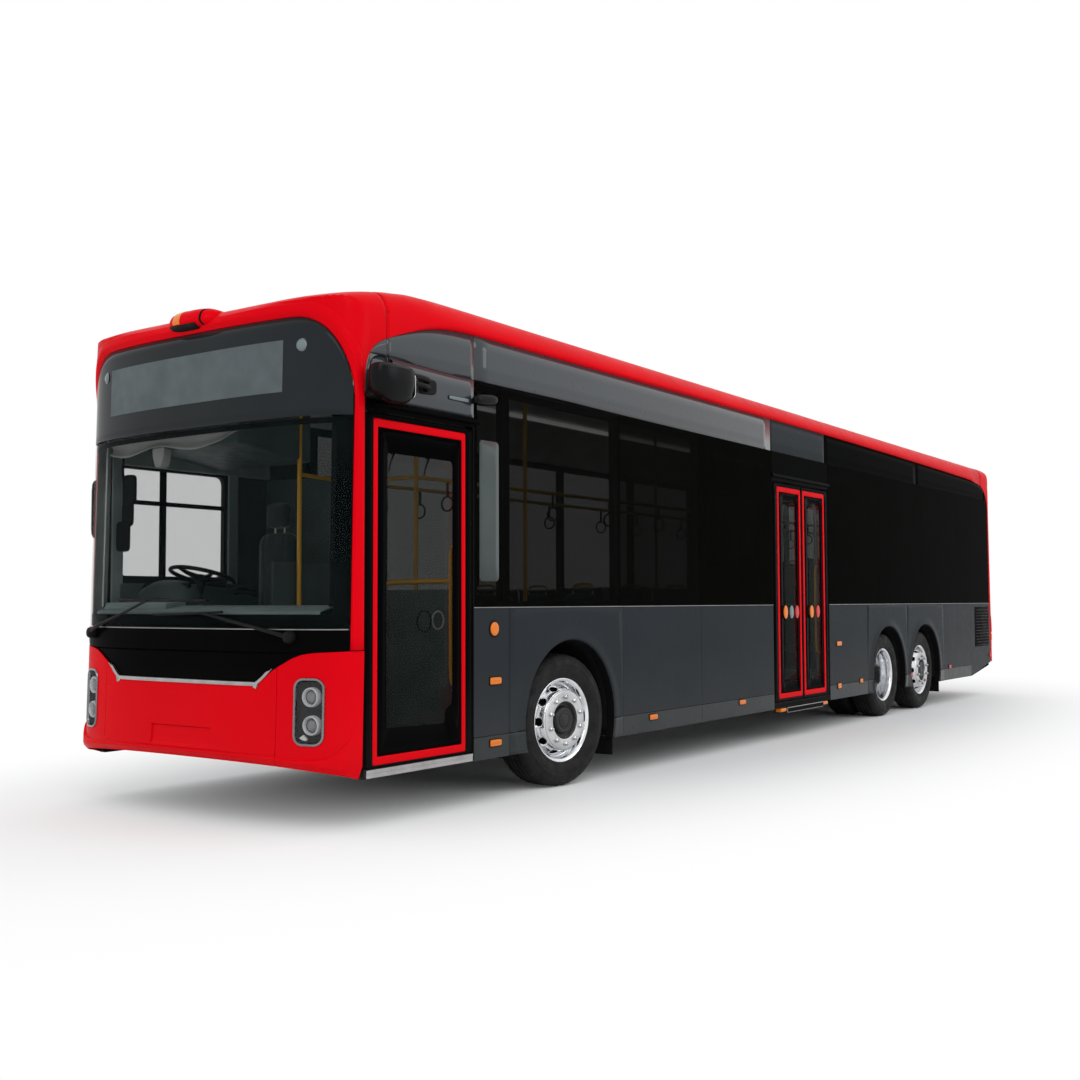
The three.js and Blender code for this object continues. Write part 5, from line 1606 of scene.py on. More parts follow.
def boltRing(centre, axis, radius, level, material, body, count=10):
    # six-sided nuts with a flange and a stud, all round the bolt circle
    parts = []
    for sides, profile in ((6, [(0.0165, 0.004), (0.0165, 0.017), (0.0135, 0.0205), (0.0, 0.0205)]),
                           (14, [(0.0215, -0.001), (0.0210, 0.004), (0.0170, 0.0050), (0.0, 0.0050)]),
                           (10, [(0.0095, 0.019), (0.0095, 0.0265), (0.0070, 0.0290), (0.0, 0.0290)])):
        p = np.asarray(profile)
        phi = (np.arange(sides) * 2 * np.pi / sides)[None, :, None]
        theta = ((np.arange(count) + 0.5) * 2 * np.pi / count)[:, None, None]
        x = radius * np.cos(theta) + p[None, None, :, 0] * np.cos(phi)
        y = radius * np.sin(theta) + p[None, None, :, 0] * np.sin(phi)
        h = level + p[None, None, :, 1] + 0 * x
        points = np.stack([x, y, h], -1)
        faces = np.concatenate([gridFaces(sides, len(p), wrapRows=True) + k * sides * len(p)
                                for k in range(count)])
        parts.append(makeObject("nuts", inWheel(points, centre, axis), faces, material, body=body,
                                toward=tuple(axis)))
    return parts


def rimPieces(name, body, centre, axis, node, kind):
    # one wheel's rim, turned from profiles, with its holed band, nuts and hub
    single = kind == "single"
    outline, face, back = (singleRim, singleFace, singleBack) if single else (twinRim, twinFace, twinBack)
    # twin wheels take the darkened metal for disc and band, painted shade inside the wheel
    disc = faceAluminium if single else shadeDarkenedMetal
    parts = [wheelLathe("a", outline, centre, axis, aluminium, body=body),
             wheelLathe("b", face, centre, axis, disc, body=body),
             wheelLathe("c", back, centre, axis, aluminium, body=body, toward=tuple(-np.asarray(axis))),
             holedBand("d", outline[-1], face[0], centre, axis, aluminium if single else shadeDarkenedMetal, body,
                       bulge=0.003 if single else 0.0)]
    parts += boltRing(centre, axis, wheelStyle["boltCircle"], face[3][1], nutSteel, body)
    joined(name, parts, (node,))
    # a black ring inside the rim round the hub is painted shade
    shade = [(0.255, 0.034), (0.235, 0.040), (0.200, 0.076), (0.136, 0.078), (0.1345, 0.100)] if single else \
        [(0.240, 0.0), (0.20, -0.004), (0.16, -0.004), (0.142, 0.008)]
    hub = [wheelLathe("a", hubCap[kind], centre, axis, hubPaint, body=body),
           wheelLathe("b", shade, centre, axis, blackPartsAndPaintedShade, body=body)]
    joined(name.replace("rim", "hub"), hub)
    tip = hubCap[kind][-1][1]
    ring = [(r, tip + h) for r, h in ((0.060, -0.006), (0.058, 0.0), (0.052, 0.0012), (0.049, -0.004))]
    wheelLathe(name.replace("rim", "hub_ring"), ring, centre, axis, hubPaint, 48, body, slot="black_plastic")


def allWheels():
    # each wheel turned about its own joint's axis, at its own joint's place
    spin = {joint["name"]: joint for joint in frame["record"]["behaviour"]["joints"]
            if joint["name"].endswith("_spin")}
    for side, sign in (("left", 1), ("right", -1)):
        joint = spin[f"front_{side}_spin"]
        axis = sign * np.array(joint["axis"], float)
        centre = np.array(joint["pos_m"], float)
        tyre(f"front_{side}_tyre_dressed", f"front_{side}_wheel", centre, axis, f"front_{side}_tyre")
        rimPieces(f"front_{side}_rim_dressed", f"front_{side}_wheel", centre, axis, f"front_{side}_rim",
                  "single")
        joint = spin[f"tag_{side}_spin"]
        axis, centre = np.array((sign, 0, 0), float), np.array(joint["pos_m"], float)
        tyre(f"tag_{side}_tyre_dressed", f"tag_{side}_wheel", centre, axis, f"tag_{side}_tyre")
        rimPieces(f"tag_{side}_rim_dressed", f"tag_{side}_wheel", centre, axis, f"tag_{side}_rim", "single")
        centre = np.array(spin[f"drive_{side}_spin"]["pos_m"], float)
        for place, shift in (("outer", 0.161), ("inner", -0.161)):
            tyre(f"drive_{side}_{place}_tyre_dressed", f"drive_{side}_wheel", centre + axis * shift, axis,
                 f"drive_{side}_{place}_tyre")
        rimPieces(f"drive_{side}_rim_dressed", f"drive_{side}_wheel", centre, axis, f"drive_{side}_rims",
                  "twin")


liner = {"inner": 0.594, "outer": 1.2475, "low": 0.352}


def archLiners():
    # black half drums over the wheels and flaps behind them
    for side, sign in (("left", 1), ("right", -1)):
        parts = []
        for middle, radius in ((2.50, 0.582), (9.14, 0.562), (10.46, 0.562)):
            dip = math.asin((arches["height"] - liner["low"]) / radius)
            t = np.linspace(-dip, np.pi + dip, 60)[:, None]
            x = np.linspace(liner["inner"], liner["outer"], 6)[None]
            ripple = 0.0025 * (np.arange(60)[:, None] % 6 == 0)
            r = radius - ripple
            points = np.stack([sign * (x + 0 * t), along(middle + r * np.cos(t)) + 0 * x,
                               arches["height"] + r * np.sin(t) + 0 * x], -1)
            parts.append(addPanel("liner", points, linerPlastic, 0.003, 0.0, toward=(0, 0, -1)))
        joined(f"{side}_arch_liners", parts)
        flaps = []
        for s, top in ((3.098, 0.306), (11.052, 0.60)):
            xs, zs = np.linspace(0.915, 1.228, 12)[:, None], np.linspace(0.165, top, 9)[None]
            wave = 0.004 * np.sin(xs * 40) * (1 - (zs - 0.165) / (top - 0.165))
            points = np.stack([sign * (xs + 0 * zs), along(s) + wave + 0 * zs, zs + 0 * xs], -1)
            flaps.append(addPanel("flap", points, linerPlastic, 0.010, 0.002, toward=(0, 1, 0)))
        joined(f"{side}_mudflaps", flaps)


# dark metal for the twin wheels' disc and holed band, painted shade inside the wheel
shadeDarkenedMetal = brushedMetal("shaded inner disc", (0.10, 0.10, 0.105), 0.42, 120)
faceAluminium = brushedMetal("machined aluminium face", (0.60, 0.60, 0.61), 0.34, 160, (1, 1, 1))
nutSteel = brushedMetal("bright wheel nuts", (0.55, 0.56, 0.58), 0.2, 90)
hubPaint = mouldedPlastic("hub black", (0.010, 0.010, 0.011), 0.42, 200, 0.2, 0.35)
linerPlastic = mouldedPlastic("arch liner rubber", (0.005, 0.005, 0.005), 0.8, 120, 0.4, 0.12, 0.001)
allWheels()
archLiners()
for node in ("left_knuckle", "right_knuckle", "front_axle", "drive_axle", "tag_axle", "underframe",
             "battery_pack"):
    frame["nodes"][node].data.materials.clear()
    frame["nodes"][node].data.materials.append(darkSteel)
print("wheels made")
# inside: driver's place

slateTrim = mouldedPlastic("slate interior trim", (0.060, 0.078, 0.076), 0.55, 260, 0.2, 0.25)
paleTrim = mouldedPlastic("pale interior trim", (0.30, 0.33, 0.32), 0.5, 260, 0.15, 0.3)
fairingTrim = mouldedPlastic("grey screen fairing", (0.24, 0.25, 0.235), 0.55, 260, 0.15, 0.2)
ceilingTrim = mouldedPlastic("off-white ceiling panel", (0.46, 0.47, 0.46), 0.5, 200, 0.12, 0.3)
shelfTrim = mouldedPlastic("grey-green dash top", (0.125, 0.165, 0.160), 0.55, 380, 0.3, 0.25)
hoodTrim = mouldedPlastic("dark dash hood", (0.016, 0.024, 0.025), 0.5, 420, 0.35, 0.25)
driverCloth = wovenCloth("driver seat cloth", (0.010, 0.016, 0.022), (0.016, 0.024, 0.032))
saloonCloth = wovenCloth("passenger seat cloth", (0.018, 0.028, 0.055), (0.040, 0.040, 0.060))
cabGlass = paneGlass("driver's window glass", (0.12, 0.36, 0.33), 0.20, 0.05)
cabTrim = mouldedPlastic("grey-green cab trim", (0.17, 0.21, 0.20), 0.55, 260, 0.2, 0.25)


def profileRun(name, outline, x0, x1, material, bevel=0.004, **kw):
    # an outline of (distance, height) pairs carried across the bus
    pairs = [(along(s), z) for s, z in outline]
    return addBar(name, pairs, "x", x0, x1, material, bevel, **kw)


def padShape(half, power=(0.30, 0.42), crown=0.0, channels=(), depth=0.006, rows=40, cols=72):
    # superquadric pillow: x = a c(v) c(u), y = b c(v) s(u), z = c s(v), crowned on top and creased along
    # channels
    v = np.linspace(-np.pi / 2, np.pi / 2, rows)[:, None]
    u = np.linspace(0, 2 * np.pi, cols, endpoint=False)[None]
    power1, power2 = power
    c = lambda t, p: np.sign(np.cos(t)) * np.abs(np.cos(t)) ** p
    s = lambda t, p: np.sign(np.sin(t)) * np.abs(np.sin(t)) ** p
    x = half[0] * c(v, power1) * c(u, power2)
    y = half[1] * c(v, power1) * s(u, power2)
    z = half[2] * s(v, power1) + 0 * u
    waist = 1 - 0.05 * np.cos(np.clip(np.abs(y / half[1]), 0, 1) * np.pi / 2)
    dome = (1 - (x / half[0]) ** 2) * (1 - (y / half[1]) ** 2)
    for axis, place in channels:
        gap = (x if axis == "x" else y) - place
        dome = dome - depth / max(crown, 1e-6) * np.exp(-(gap / 0.009) ** 2)
    z = z + crown * dome * (z > 0)
    return np.stack([x * waist, y, z], -1)


def inflate(piece, cap, voxel):
    # air pressure swells the closed pad for a moment, no point moving further than the cap
    remesh = piece.modifiers.new("even", "REMESH")
    remesh.mode = "VOXEL"
    remesh.voxel_size = voxel
    appliedModifiers(piece)
    mesh = piece.data
    rest = np.empty(len(mesh.vertices) * 3)
    mesh.vertices.foreach_get("co", rest)
    cloth = piece.modifiers.new("fill", "CLOTH")
    cloth.settings.use_pressure = True
    cloth.settings.uniform_pressure_force = 4
    cloth.settings.effector_weights.gravity = 0
    cloth.point_cache.frame_start, cloth.point_cache.frame_end = 1, 20
    for step in range(1, 21):
        scene.frame_set(step)
    shown = piece.evaluated_get(bpy.context.evaluated_depsgraph_get()).to_mesh()
    full = np.empty_like(rest)
    shown.vertices.foreach_get("co", full)
    piece.modifiers.clear()
    scene.frame_set(1)
    rest, full = rest.reshape(-1, 3), full.reshape(-1, 3)
    move = full - rest
    size = np.linalg.norm(move, axis=1, keepdims=True)
    move *= np.minimum(1, cap / np.maximum(size, 1e-9))
    mesh.vertices.foreach_set("co", (rest + move).ravel())
    mesh.update()
    mesh.polygons.foreach_set("use_smooth", np.ones(len(mesh.polygons), bool))
    return piece


def turnAcross(points, angle):
    # turned about the axis across the bus
    c, s = math.cos(angle), math.sin(angle)
    x, y, z = points[..., 0], points[..., 1], points[..., 2]
    return np.stack([x, y * c - z * s, y * s + z * c], -1)


def addPad(name, half, place, turn, material, cap, voxel, **shape):
    # a crowned closed pad, tipped by turn, moved to its place and then inflated as cloth
    points = turnAcross(padShape(half, **shape), turn) + np.asarray(place, float)
    piece = addSurface(name, points, material, wrapCols=True, closed=True, sharp=180)
    inflate(piece, cap, voxel)
    return piece


driver = {"x": -0.65, "wheelAt": 0.705, "wheelHeight": 1.52, "wheelTilt": 0.28}


def driverSeat():
    # cushion, backrest and head rest as pads, with the parts that carry them
    x = driver["x"]
    addPad("driver_cushion", (0.225, 0.205, 0.038), (x, along(1.165), 1.168), 0.0, driverCloth, 0.012, 0.009,
           crown=0.012, channels=(("x", -0.115), ("x", 0.115), ("y", 0.06)))
    back = addPad("driver_backrest", (0.215, 0.325, 0.036), (x, along(1.418), 1.54), math.pi / 2, driverCloth,
                  0.012, 0.009,
                  crown=0.014, channels=(("x", -0.11), ("x", 0.11), ("y", 0.05), ("y", -0.08), ("y", 0.18)))
    addPad("driver_head_rest", (0.120, 0.092, 0.030), (x, along(1.418), 1.985), math.pi / 2, driverCloth,
           0.010, 0.008,
           crown=0.010)
    parts = [addTube(f"stay{n}", [(x + d, along(1.425), 1.84), (x + d, along(1.425), 1.93)], 0.008,
                     satinSteel, 12)
             for n, d in enumerate((-0.05, 0.05))]
    for d in (-0.236, 0.236):
        parts.append(addTube(f"arm{d}", smoothPath([(x + d, along(1.41), 1.40), (x + d, along(1.30), 1.425),
                                                    (x + d, along(1.17), 1.415)],
                                                   14), 0.024, blackPlastic, 12))
    parts.append(addBar("base", roundedRect(x - 0.15, x + 0.15, 0.725, 0.80, 0.02, 4), "y", along(1.00),
                        along(1.32), blackPlastic, 0.008))
    bellows = [(0.115 + 0.018 * (n % 2), 0.80 + n * 0.022) for n in range(15)]
    parts.append(addTurned("bellows", [(0.0, 0.795)] + bellows + [(0.0, 1.112)], (x, along(1.16), 0.0),
                           (0, 0, 1), blackPlastic, 28))
    parts.append(addBar("pan", roundedRect(x - 0.215, x + 0.215, 1.108, 1.136, 0.012, 4), "y", along(0.965),
                        along(1.40), blackPlastic,
                        0.008))
    joined("driver_seat_frame", parts, ("driver_seat",))
    return back


def dashboard():
    # rows run round the nose at their own heights and depths, back over the top and down
    w = roundTo(np.linspace(-1.09, 1.07, 60))
    rows = []
    for z, lift in ((1.186, -0.034), (1.262, -0.032), (1.280, -0.036), (1.286, -0.050)):
        rows.append(endPoints(w, np.full_like(w, z), lift))
    front = rows[-1]
    for s, z in ((0.300, 1.318), (0.335, 1.312), (0.345, 1.296), (0.345, 0.94)):
        edge = front.copy()
        edge[:, 1] = np.maximum(along(s), front[:, 1] + 0.002 * len(rows))
        edge[:, 2] = z
        rows.append(edge)
    shelf = addPanel("a", np.stack(rows), shelfTrim, 0.010, 0.0, toward=(0, -0.3, 1))
    parts = [shelf]
    console = [(0.347, 1.296), (0.430, 1.332), (0.448, 1.330), (0.552, 1.248), (0.632, 1.196), (0.638, 1.186),
               (0.632, 1.136),
               (0.442, 1.045), (0.438, 0.735), (0.347, 0.735)]
    parts.append(profileRun("b", console, -1.078, -0.272, hoodTrim, bevel=0.012, segments=3))
    # raised tray with two shallow wells at the windscreen side
    tray = [(-1.05, 0.165), (-1.00, 0.300), (-0.36, 0.305), (-0.33, 0.120), (-0.62, 0.105)]
    n = len(tray)
    low = np.array([(x, along(s + 0.02), 1.290) for x, s in tray])
    high = np.array([(x * 0.985, along(s + 0.03), 1.335 + 0.05 * (s - 0.1)) for x, s in tray])
    faces = [list(range(n)), list(range(2 * n - 1, n - 1, -1))] + [[i, (i + 1) % n, n + (i + 1) % n, n + i]
            for i in range(n)]
    parts.append(easeEdges(makeObject("c", np.vstack([low, high]), faces, shelfTrim, closed=True), 0.010, 3))
    # domed instrument hood
    u = np.linspace(-1, 1, 40)[:, None]
    t = np.linspace(0, 1, 22)[None]
    ridge = (1 - np.abs(u) ** 2.6) ** (1 / 2.6)
    s = 0.318 + 0.150 * t
    z = 1.316 + (0.050 + 0.125 * np.sin(np.clip(t * 1.25, 0, 1) * np.pi / 2) - 0.055
                 * np.clip((t - 0.75) / 0.25, 0, 1) ** 2) * ridge
    points = np.stack([-0.655 + 0.315 * u + 0 * t, along(s + 0 * u), z], -1)
    parts.append(addPanel("d", points, hoodTrim, 0.008, 0.003, toward=(0, 0, 1)))
    parts.append(profileRun("e", [(0.352, 1.335), (0.40, 1.47), (0.412, 1.468), (0.425, 1.335)], -0.90, -0.41,
                            blackPartsAndPaintedShade, bevel=0.006))
    joined("dashboard_shelf", parts, ("dashboard",))
    dials = []
    for k, d in enumerate((-0.11, 0.11)):
        dials.append(addTurned(f"dial{k}", [(0.0, 0.004), (0.052, 0.004), (0.056, 0.008), (0.060, 0.004),
                                            (0.061, 0.0)],
                               (driver["x"] + d, along(0.424), 1.400), (0, 1, 0.35), chromeRing, 36))
    joined("instrument_rings", dials)
    keys = [addBlock(f"key{k}", (-0.52 + 0.035 * (k % 6), along(0.50 + 0.04 * (k // 6)),
                                 1.288 - 0.036 * (k // 6)),
                     (-0.495 + 0.035 * (k % 6), along(0.528 + 0.04 * (k // 6)), 1.300 - 0.036 * (k // 6)),
                     blackPlastic, 0.002)
            for k in range(12)]
    joined("dash_switches", keys)


def steeringWheel():
    # a ring, its spokes and a hub on an axis tipped back by tilt
    tilt = driver["wheelTilt"]
    axis = np.array((0.0, math.sin(tilt), math.cos(tilt)))
    centre = np.array((driver["x"], along(driver["wheelAt"]), driver["wheelHeight"]))
    parts = [ringLoop("rim", centre, 0.223, 0.0145, axis, blackPlastic, 64)]
    a, b, _ = basisOf(axis)
    for k, turn in enumerate((0.0, np.pi * 0.62, -np.pi * 0.62 + np.pi, np.pi)):
        d = a * math.cos(turn) + b * math.sin(turn)
        parts.append(addTube(f"spoke{k}", smoothPath([centre + d * 0.045 - axis * 0.016,
                                                      centre + d * 0.13 - axis * 0.014,
                                                      centre + d * 0.218], 14), np.linspace(0.020, 0.011, 14),
                                                      blackPlastic, 12))
    parts.append(addTurned("hub", [(0.0, 0.006), (0.05, 0.004), (0.068, -0.006), (0.072, -0.020),
                                   (0.050, -0.040), (0.030, -0.050),
                                   (0.028, -0.365), (0.0, -0.368)], centre, axis, blackPlastic, 40))
    joined("steering_wheel_dressed", parts, ("steering_wheel",))


def cabFurniture():
    # driver's window, cab linings, pillar covers, fairing, inside mirrors and entrance panel
    y = along
    # driver's side window: dark border with one opening, bars and pane
    hole = roundedRect(0.430, 1.372, 1.530, 2.300, 0.060, 8)
    edge = roundedRect(0.336, 1.427, 1.302, 2.773, 0.004)
    grid = ringGrid(hole, edge, 4, 96)
    points = np.stack([np.full(grid.shape[:2], -1.2531), y(grid[..., 0]), grid[..., 1]], -1)
    border = addPanel("a", points, blackBand, 0.006, 0.0, wrapCols=True, toward=(-1, 0, 0))
    bars = [addBlock("b", (-1.2505, y(0.792), 1.50), (-1.222, y(0.838), 2.33), blackPaint, 0.004),
            addBlock("c", (-1.2505, y(0.420), 2.046), (-1.226, y(1.385), 2.078), satinBlack, 0.004)]
    grid = ringGrid(hole, roundedRect(0.385, 1.425, 1.475, 2.345, 0.05, 8), 3, 96)
    points = np.stack([np.full(grid.shape[:2], -1.215), y(grid[..., 0]), grid[..., 1]], -1)
    bars.append(addPanel("d", points, satinBlack, 0.030, 0.003, wrapCols=True, toward=(1, 0, 0)))
    joined("driver_window_border", [border] + bars)
    pane = hole.mean(0) + (hole[None] - hole.mean(0)) * np.array([1.0, 0.5, 0.0])[:, None, None]
    points = np.stack([np.full(pane.shape[:2], -1.2528), y(pane[..., 0]), pane[..., 1]], -1)
    addPanel("driver_window_pane", points, cabGlass, 0.005, 0.0, wrapCols=True, toward=(-1, 0, 0),
             slot="clear_glass")
    # trim over and beside the screen, wall and locker behind the blind
    trims = [addBlock("e", (-1.182, y(0.40), 2.312), (-1.15, y(1.78), 2.86), cabTrim, 0.010),
             addBlock("m", (-1.184, y(0.335), 1.32), (-1.166, y(0.428), 2.50), cabTrim, 0.006),
             addBlock("n", (-1.184, y(1.378), 1.48), (-1.166, y(1.470), 2.40), cabTrim, 0.006),
             addBlock("f", (-1.182, y(0.40), 0.735), (-1.165, y(1.78), 1.475), slateTrim, 0.008),
             profileRun("g", [(0.62, 2.42), (0.62, 2.80), (1.30, 2.88), (1.30, 2.34)], -1.148, -0.20,
                        slateTrim, bevel=0.015),
             profileRun("h", [(1.752, 0.725), (1.752, 2.30), (1.780, 2.30), (1.780, 0.725)], -1.165, -0.262,
                        slateTrim, bevel=0.006),
             addBlock("i", (-0.262, y(0.98), 0.725), (-0.240, y(1.78), 1.62), slateTrim, 0.008),
             addBlock("k", (0.40, y(1.405), 0.375), (1.150, y(1.430), 1.42), slateTrim, 0.006)]
    joined("cab_linings", trims)
    # pillar covers up both sides of the screen, black on the door side and pale on the driver's
    posts = []
    for sign in (1, -1):
        z = np.linspace(1.31, 2.52, 14)[None]
        edge = 1.115 if sign > 0 else 1.060
        x = np.linspace(edge, 1.170, 8)[:, None]
        front = onFront(np.stack([sign * x + 0 * z, z + 0 * x], -1), -0.055)
        front[..., 1] += 0.05 * ((x - edge) / (1.170 - edge))
        posts.append(addPanel("post", front, satinBlack if sign > 0 else paleTrim, 0.012, 0.004,
                              toward=(0, -1, 0)))
    joined("screen_pillar_covers", posts)
    # linings behind the outer border of the screen
    backs = []
    for sign in (1, -1):
        z = np.linspace(1.20, 2.56, 16)[None]
        # the left one follows the lean of the nose and stops ahead of the front door
        reach = 0.314 - skin["lean"] * (z - bus["skirt"]) if sign > 0 else 0.330 + 0 * z
        first, last = roundTo(1.180), np.interp(reach, noseTable[2], noseTable[0])
        w = first + (last - first) * np.linspace(0, 1, 22)[:, None]
        back = endPoints(sign * w, z + 0 * w, -0.016)
        backs.append(addPanel("back", back, blackPartsAndPaintedShade if sign > 0 else paleTrim, 0.004, 0.0,
                              toward=(sign, 0, 0)))
    joined("screen_side_linings", backs)
    # moulded fairing under the display, its lower edge in soft waves, with a small camera box
    x = np.linspace(-1.06, 0.40, 90)[:, None]
    drop = (0.078 + 0.022 * np.sin(x * 8.6 + 2.0)) * (1 - smoothStep((x - 0.20) / 0.20)) + 0.002
    t = np.linspace(0, 1, 8)[None]
    z = 2.415 - drop * t
    points = onFront(np.stack([x + 0 * t, z], -1), -0.075)
    points[..., 1] += 0.03 * np.sin(t * np.pi)
    addPanel("screen_fairing", points, fairingTrim, 0.006, 0.0, toward=(0, -1, 0), slot="dash_plastic")
    box = [(-0.482, 2.352), (-0.358, 2.352), (-0.366, 2.282), (-0.392, 2.222), (-0.448, 2.222),
           (-0.474, 2.282)]
    addBar("screen_camera_box", rounded(box, 0.016), "y", y(0.135), y(0.205), fairingTrim, 0.010, 3,
           slot="dash_plastic")
    # inside mirrors at the driver's corner
    parts = []
    for n, (x0, s0, z0, w, h) in enumerate(((-0.955, 0.30, 2.115, 0.062, 0.105),
                                            (-0.985, 0.31, 1.95, 0.050, 0.085),
                                            (-1.020, 0.30, 1.795, 0.062, 0.105))):
        outline = roundedRect(x0 - w, x0 + w, z0 - h, z0 + h, 0.035, 6)
        parts.append(addBar(f"m{n}", outline, "y", y(s0), y(s0 + 0.035), blackPlastic, 0.010, 3))
    parts.append(addTube("arm", smoothPath([(-1.05, y(0.33), 2.36), (-1.045, y(0.33), 2.2),
                                            (-1.00, y(0.34), 2.05), (-1.01, y(0.34), 1.80)],
                                           22), 0.010, satinBlack, 10))
    joined("cab_mirrors", parts)
    # modesty panel by the entrance with a padded yellow top roll, ticket machine on its post
    addTube("entrance_top_roll", smoothPath([(0.405, y(1.417), 1.30), (0.405, y(1.417), 1.42),
                                             (0.46, y(1.417), 1.468), (0.75, y(1.417), 1.475),
                                             (1.14, y(1.417), 1.475)], 30), 0.019, yellowPaint, 14,
                                             slot="yellow_rail")
    addBar("ticket_reader", roundedRect(0.29, 0.43, 1.18, 1.46, 0.02, 5), "y", y(1.22), y(1.29), blackPlastic,
           0.010, 3,
           slot="black_plastic")
    addTube("ticket_post", [(0.36, y(1.255), 0.372), (0.36, y(1.255), 0.8), (0.36, y(1.255), 1.19)], 0.017,
            yellowPaint, 14,
            slot="yellow_rail")


driverSeat()
dashboard()
steeringWheel()
cabFurniture()
print("driver's place made")

# inside: saloon

seats = {"pairs": 0.734, "inner": 0.519, "outer": 0.949, "width": 0.205,
         "frontRows": (3.30, 4.10, 4.90, 5.70),
         "rearRows": (8.56, 9.34, 10.12, 10.90, 11.68), "bench": 12.48, "low": 0.370, "platform": 0.750,
         "onBoxes": 0.765}


def repeated(name, points, faces, offsets, material, **kw):
    # one shape set down at every offset, as one mesh
    points, offsets = np.asarray(points, float).reshape(-1, 3), np.asarray(offsets, float)
    everyPoint = (points[None] + offsets[:, None]).reshape(-1, 3)
    faces = [[i + k * len(points) for i in face] for k in range(len(offsets)) for face in faces]
    return makeObject(name, everyPoint, faces, material, **kw)


def meshOf(piece):
    # corner points and faces of a finished piece, then the piece is let go
    mesh = piece.data
    points = np.empty(len(mesh.vertices) * 3)
    mesh.vertices.foreach_get("co", points)
    faces = [list(face.vertices) for face in mesh.polygons]
    bpy.data.objects.remove(piece)
    return points.reshape(-1, 3), faces


def saloonSeats():
    # one cushion, back and moulded shell, copied to every place
    width = seats["width"]
    cushion = addSurface("pad a", padShape((width - 0.012, 0.195, 0.034), crown=0.012,
                                           channels=(("y", 0.07),), rows=20, cols=36),
                         saloonCloth, wrapCols=True, closed=True)
    back = addSurface("pad b", turnAcross(padShape((width - 0.014, 0.270, 0.022), crown=0.012,
                                                   channels=(("y", 0.13), ("y", -0.14)),
                                                   rows=20, cols=36), math.pi / 2), saloonCloth,
                                                   wrapCols=True, closed=True)
    inflate(cushion, 0.010, 0.020)
    inflate(back, 0.010, 0.020)
    cushion, back = meshOf(cushion), meshOf(back)
    # moulded shell: one profile of distance and height carried across, dished towards the sitter
    line = smoothPath([(0.0, 0.375, 0), (0.02, 0.395, 0), (0.20, 0.385, 0), (0.40, 0.380, 0),
                       (0.455, 0.44, 0), (0.468, 0.70, 0),
                       (0.475, 0.98, 0), (0.468, 1.055, 0), (0.452, 1.068, 0)], 40)
    u = np.linspace(-1, 1, 12)[:, None]
    wing = 0.012 * np.abs(u) ** 4
    shell = np.stack([width * u + 0 * line[None, :, 0], line[None, :, 0] - wing * (line[None, :, 1] > 0.5),
                      line[None, :, 1] + wing], -1)
    skin = meshOf(appliedModifiers(addPanel("shell", shell, seatShell, 0.010, 0.0, toward=(0, -1, 1))))
    bank = {}
    for sign in (1, -1):
        side = "left" if sign > 0 else "right"
        rows = seats["frontRows"][:3] if sign > 0 else seats["frontRows"]
        bank[f"{side}_front_seats"] = [(sign * x, s, seats["low"]) for s in rows
                                       for x in (seats["inner"], seats["outer"])]
    bank["rear_seats"] = [(sign * x, s, seats["onBoxes"]) for s in seats["rearRows"]
                          for x in (seats["inner"], seats["outer"])
                          for sign in (1, -1)]
    bank["rear_seats"] += [(x, seats["bench"] + 0.02, seats["platform"])
                           for x in (-0.90, -0.45, 0.0, 0.45, 0.90)]
    for name, places in bank.items():
        offsets = np.array([(x, along(s), z) for x, s, z in places])
        pads = repeated(f"{name}_cushions", cushion[0] + (0, 0.215, 0.430), cushion[1], offsets, saloonCloth,
                        slot="seat_fabric",
                        closed=True, sharp=180, stands=(name,))
        pads = repeated(f"{name}_backs", back[0] + (0, 0.438, 0.780), back[1], offsets, saloonCloth,
                        slot="seat_fabric",
                        closed=True, sharp=180)
        repeated(f"{name}_shells", skin[0], skin[1], offsets, seatShell, slot="black_plastic", closed=True)
        # pedestals and a rail under each row, a yellow handle on each aisle seat
        parts = []
        rails = sorted({(round(x / abs(x), 0), z) for x, s, z in places if abs(x) > 0.5 and s < 12.4})
        for sign, deck in rails:
            rows = sorted({s for x, s, z in places if x * sign > 0 and s < 12.4})
            x = sign * seats["pairs"]
            parts.append(addBar("rail", roundedRect(x - 0.035, x + 0.035, deck + 0.338, deck + 0.374, 0.008,
                                                    3), "y",
                                along(rows[0] + 0.05), along(rows[-1] + 0.43), satinBlack, 0.004))
            if deck < 0.5:
                for s in rows:
                    leg = [(x - 0.05, deck + 0.003), (x + 0.05, deck + 0.003), (x + 0.028, deck + 0.34),
                           (x - 0.028, deck + 0.34)]
                    parts.append(addBar("leg", leg, "y", along(s + 0.155), along(s + 0.225), satinBlack,
                                        0.006))
        joined(f"{name}_rails", parts)
        loops = [addTube("loop", smoothPath([(x - 0.10, along(s + 0.472), z + 1.03),
                                             (x - 0.09, along(s + 0.478), z + 1.10),
                                             (x, along(s + 0.478), z + 1.115),
                                             (x + 0.09, along(s + 0.478), z + 1.10),
                                             (x + 0.10, along(s + 0.472), z + 1.03)], 16), 0.010, yellowPaint,
                                             8)
                 for x, s, z in places if abs(abs(x) - seats["inner"]) < 0.01]
        joined(f"{name}_handles", loops)


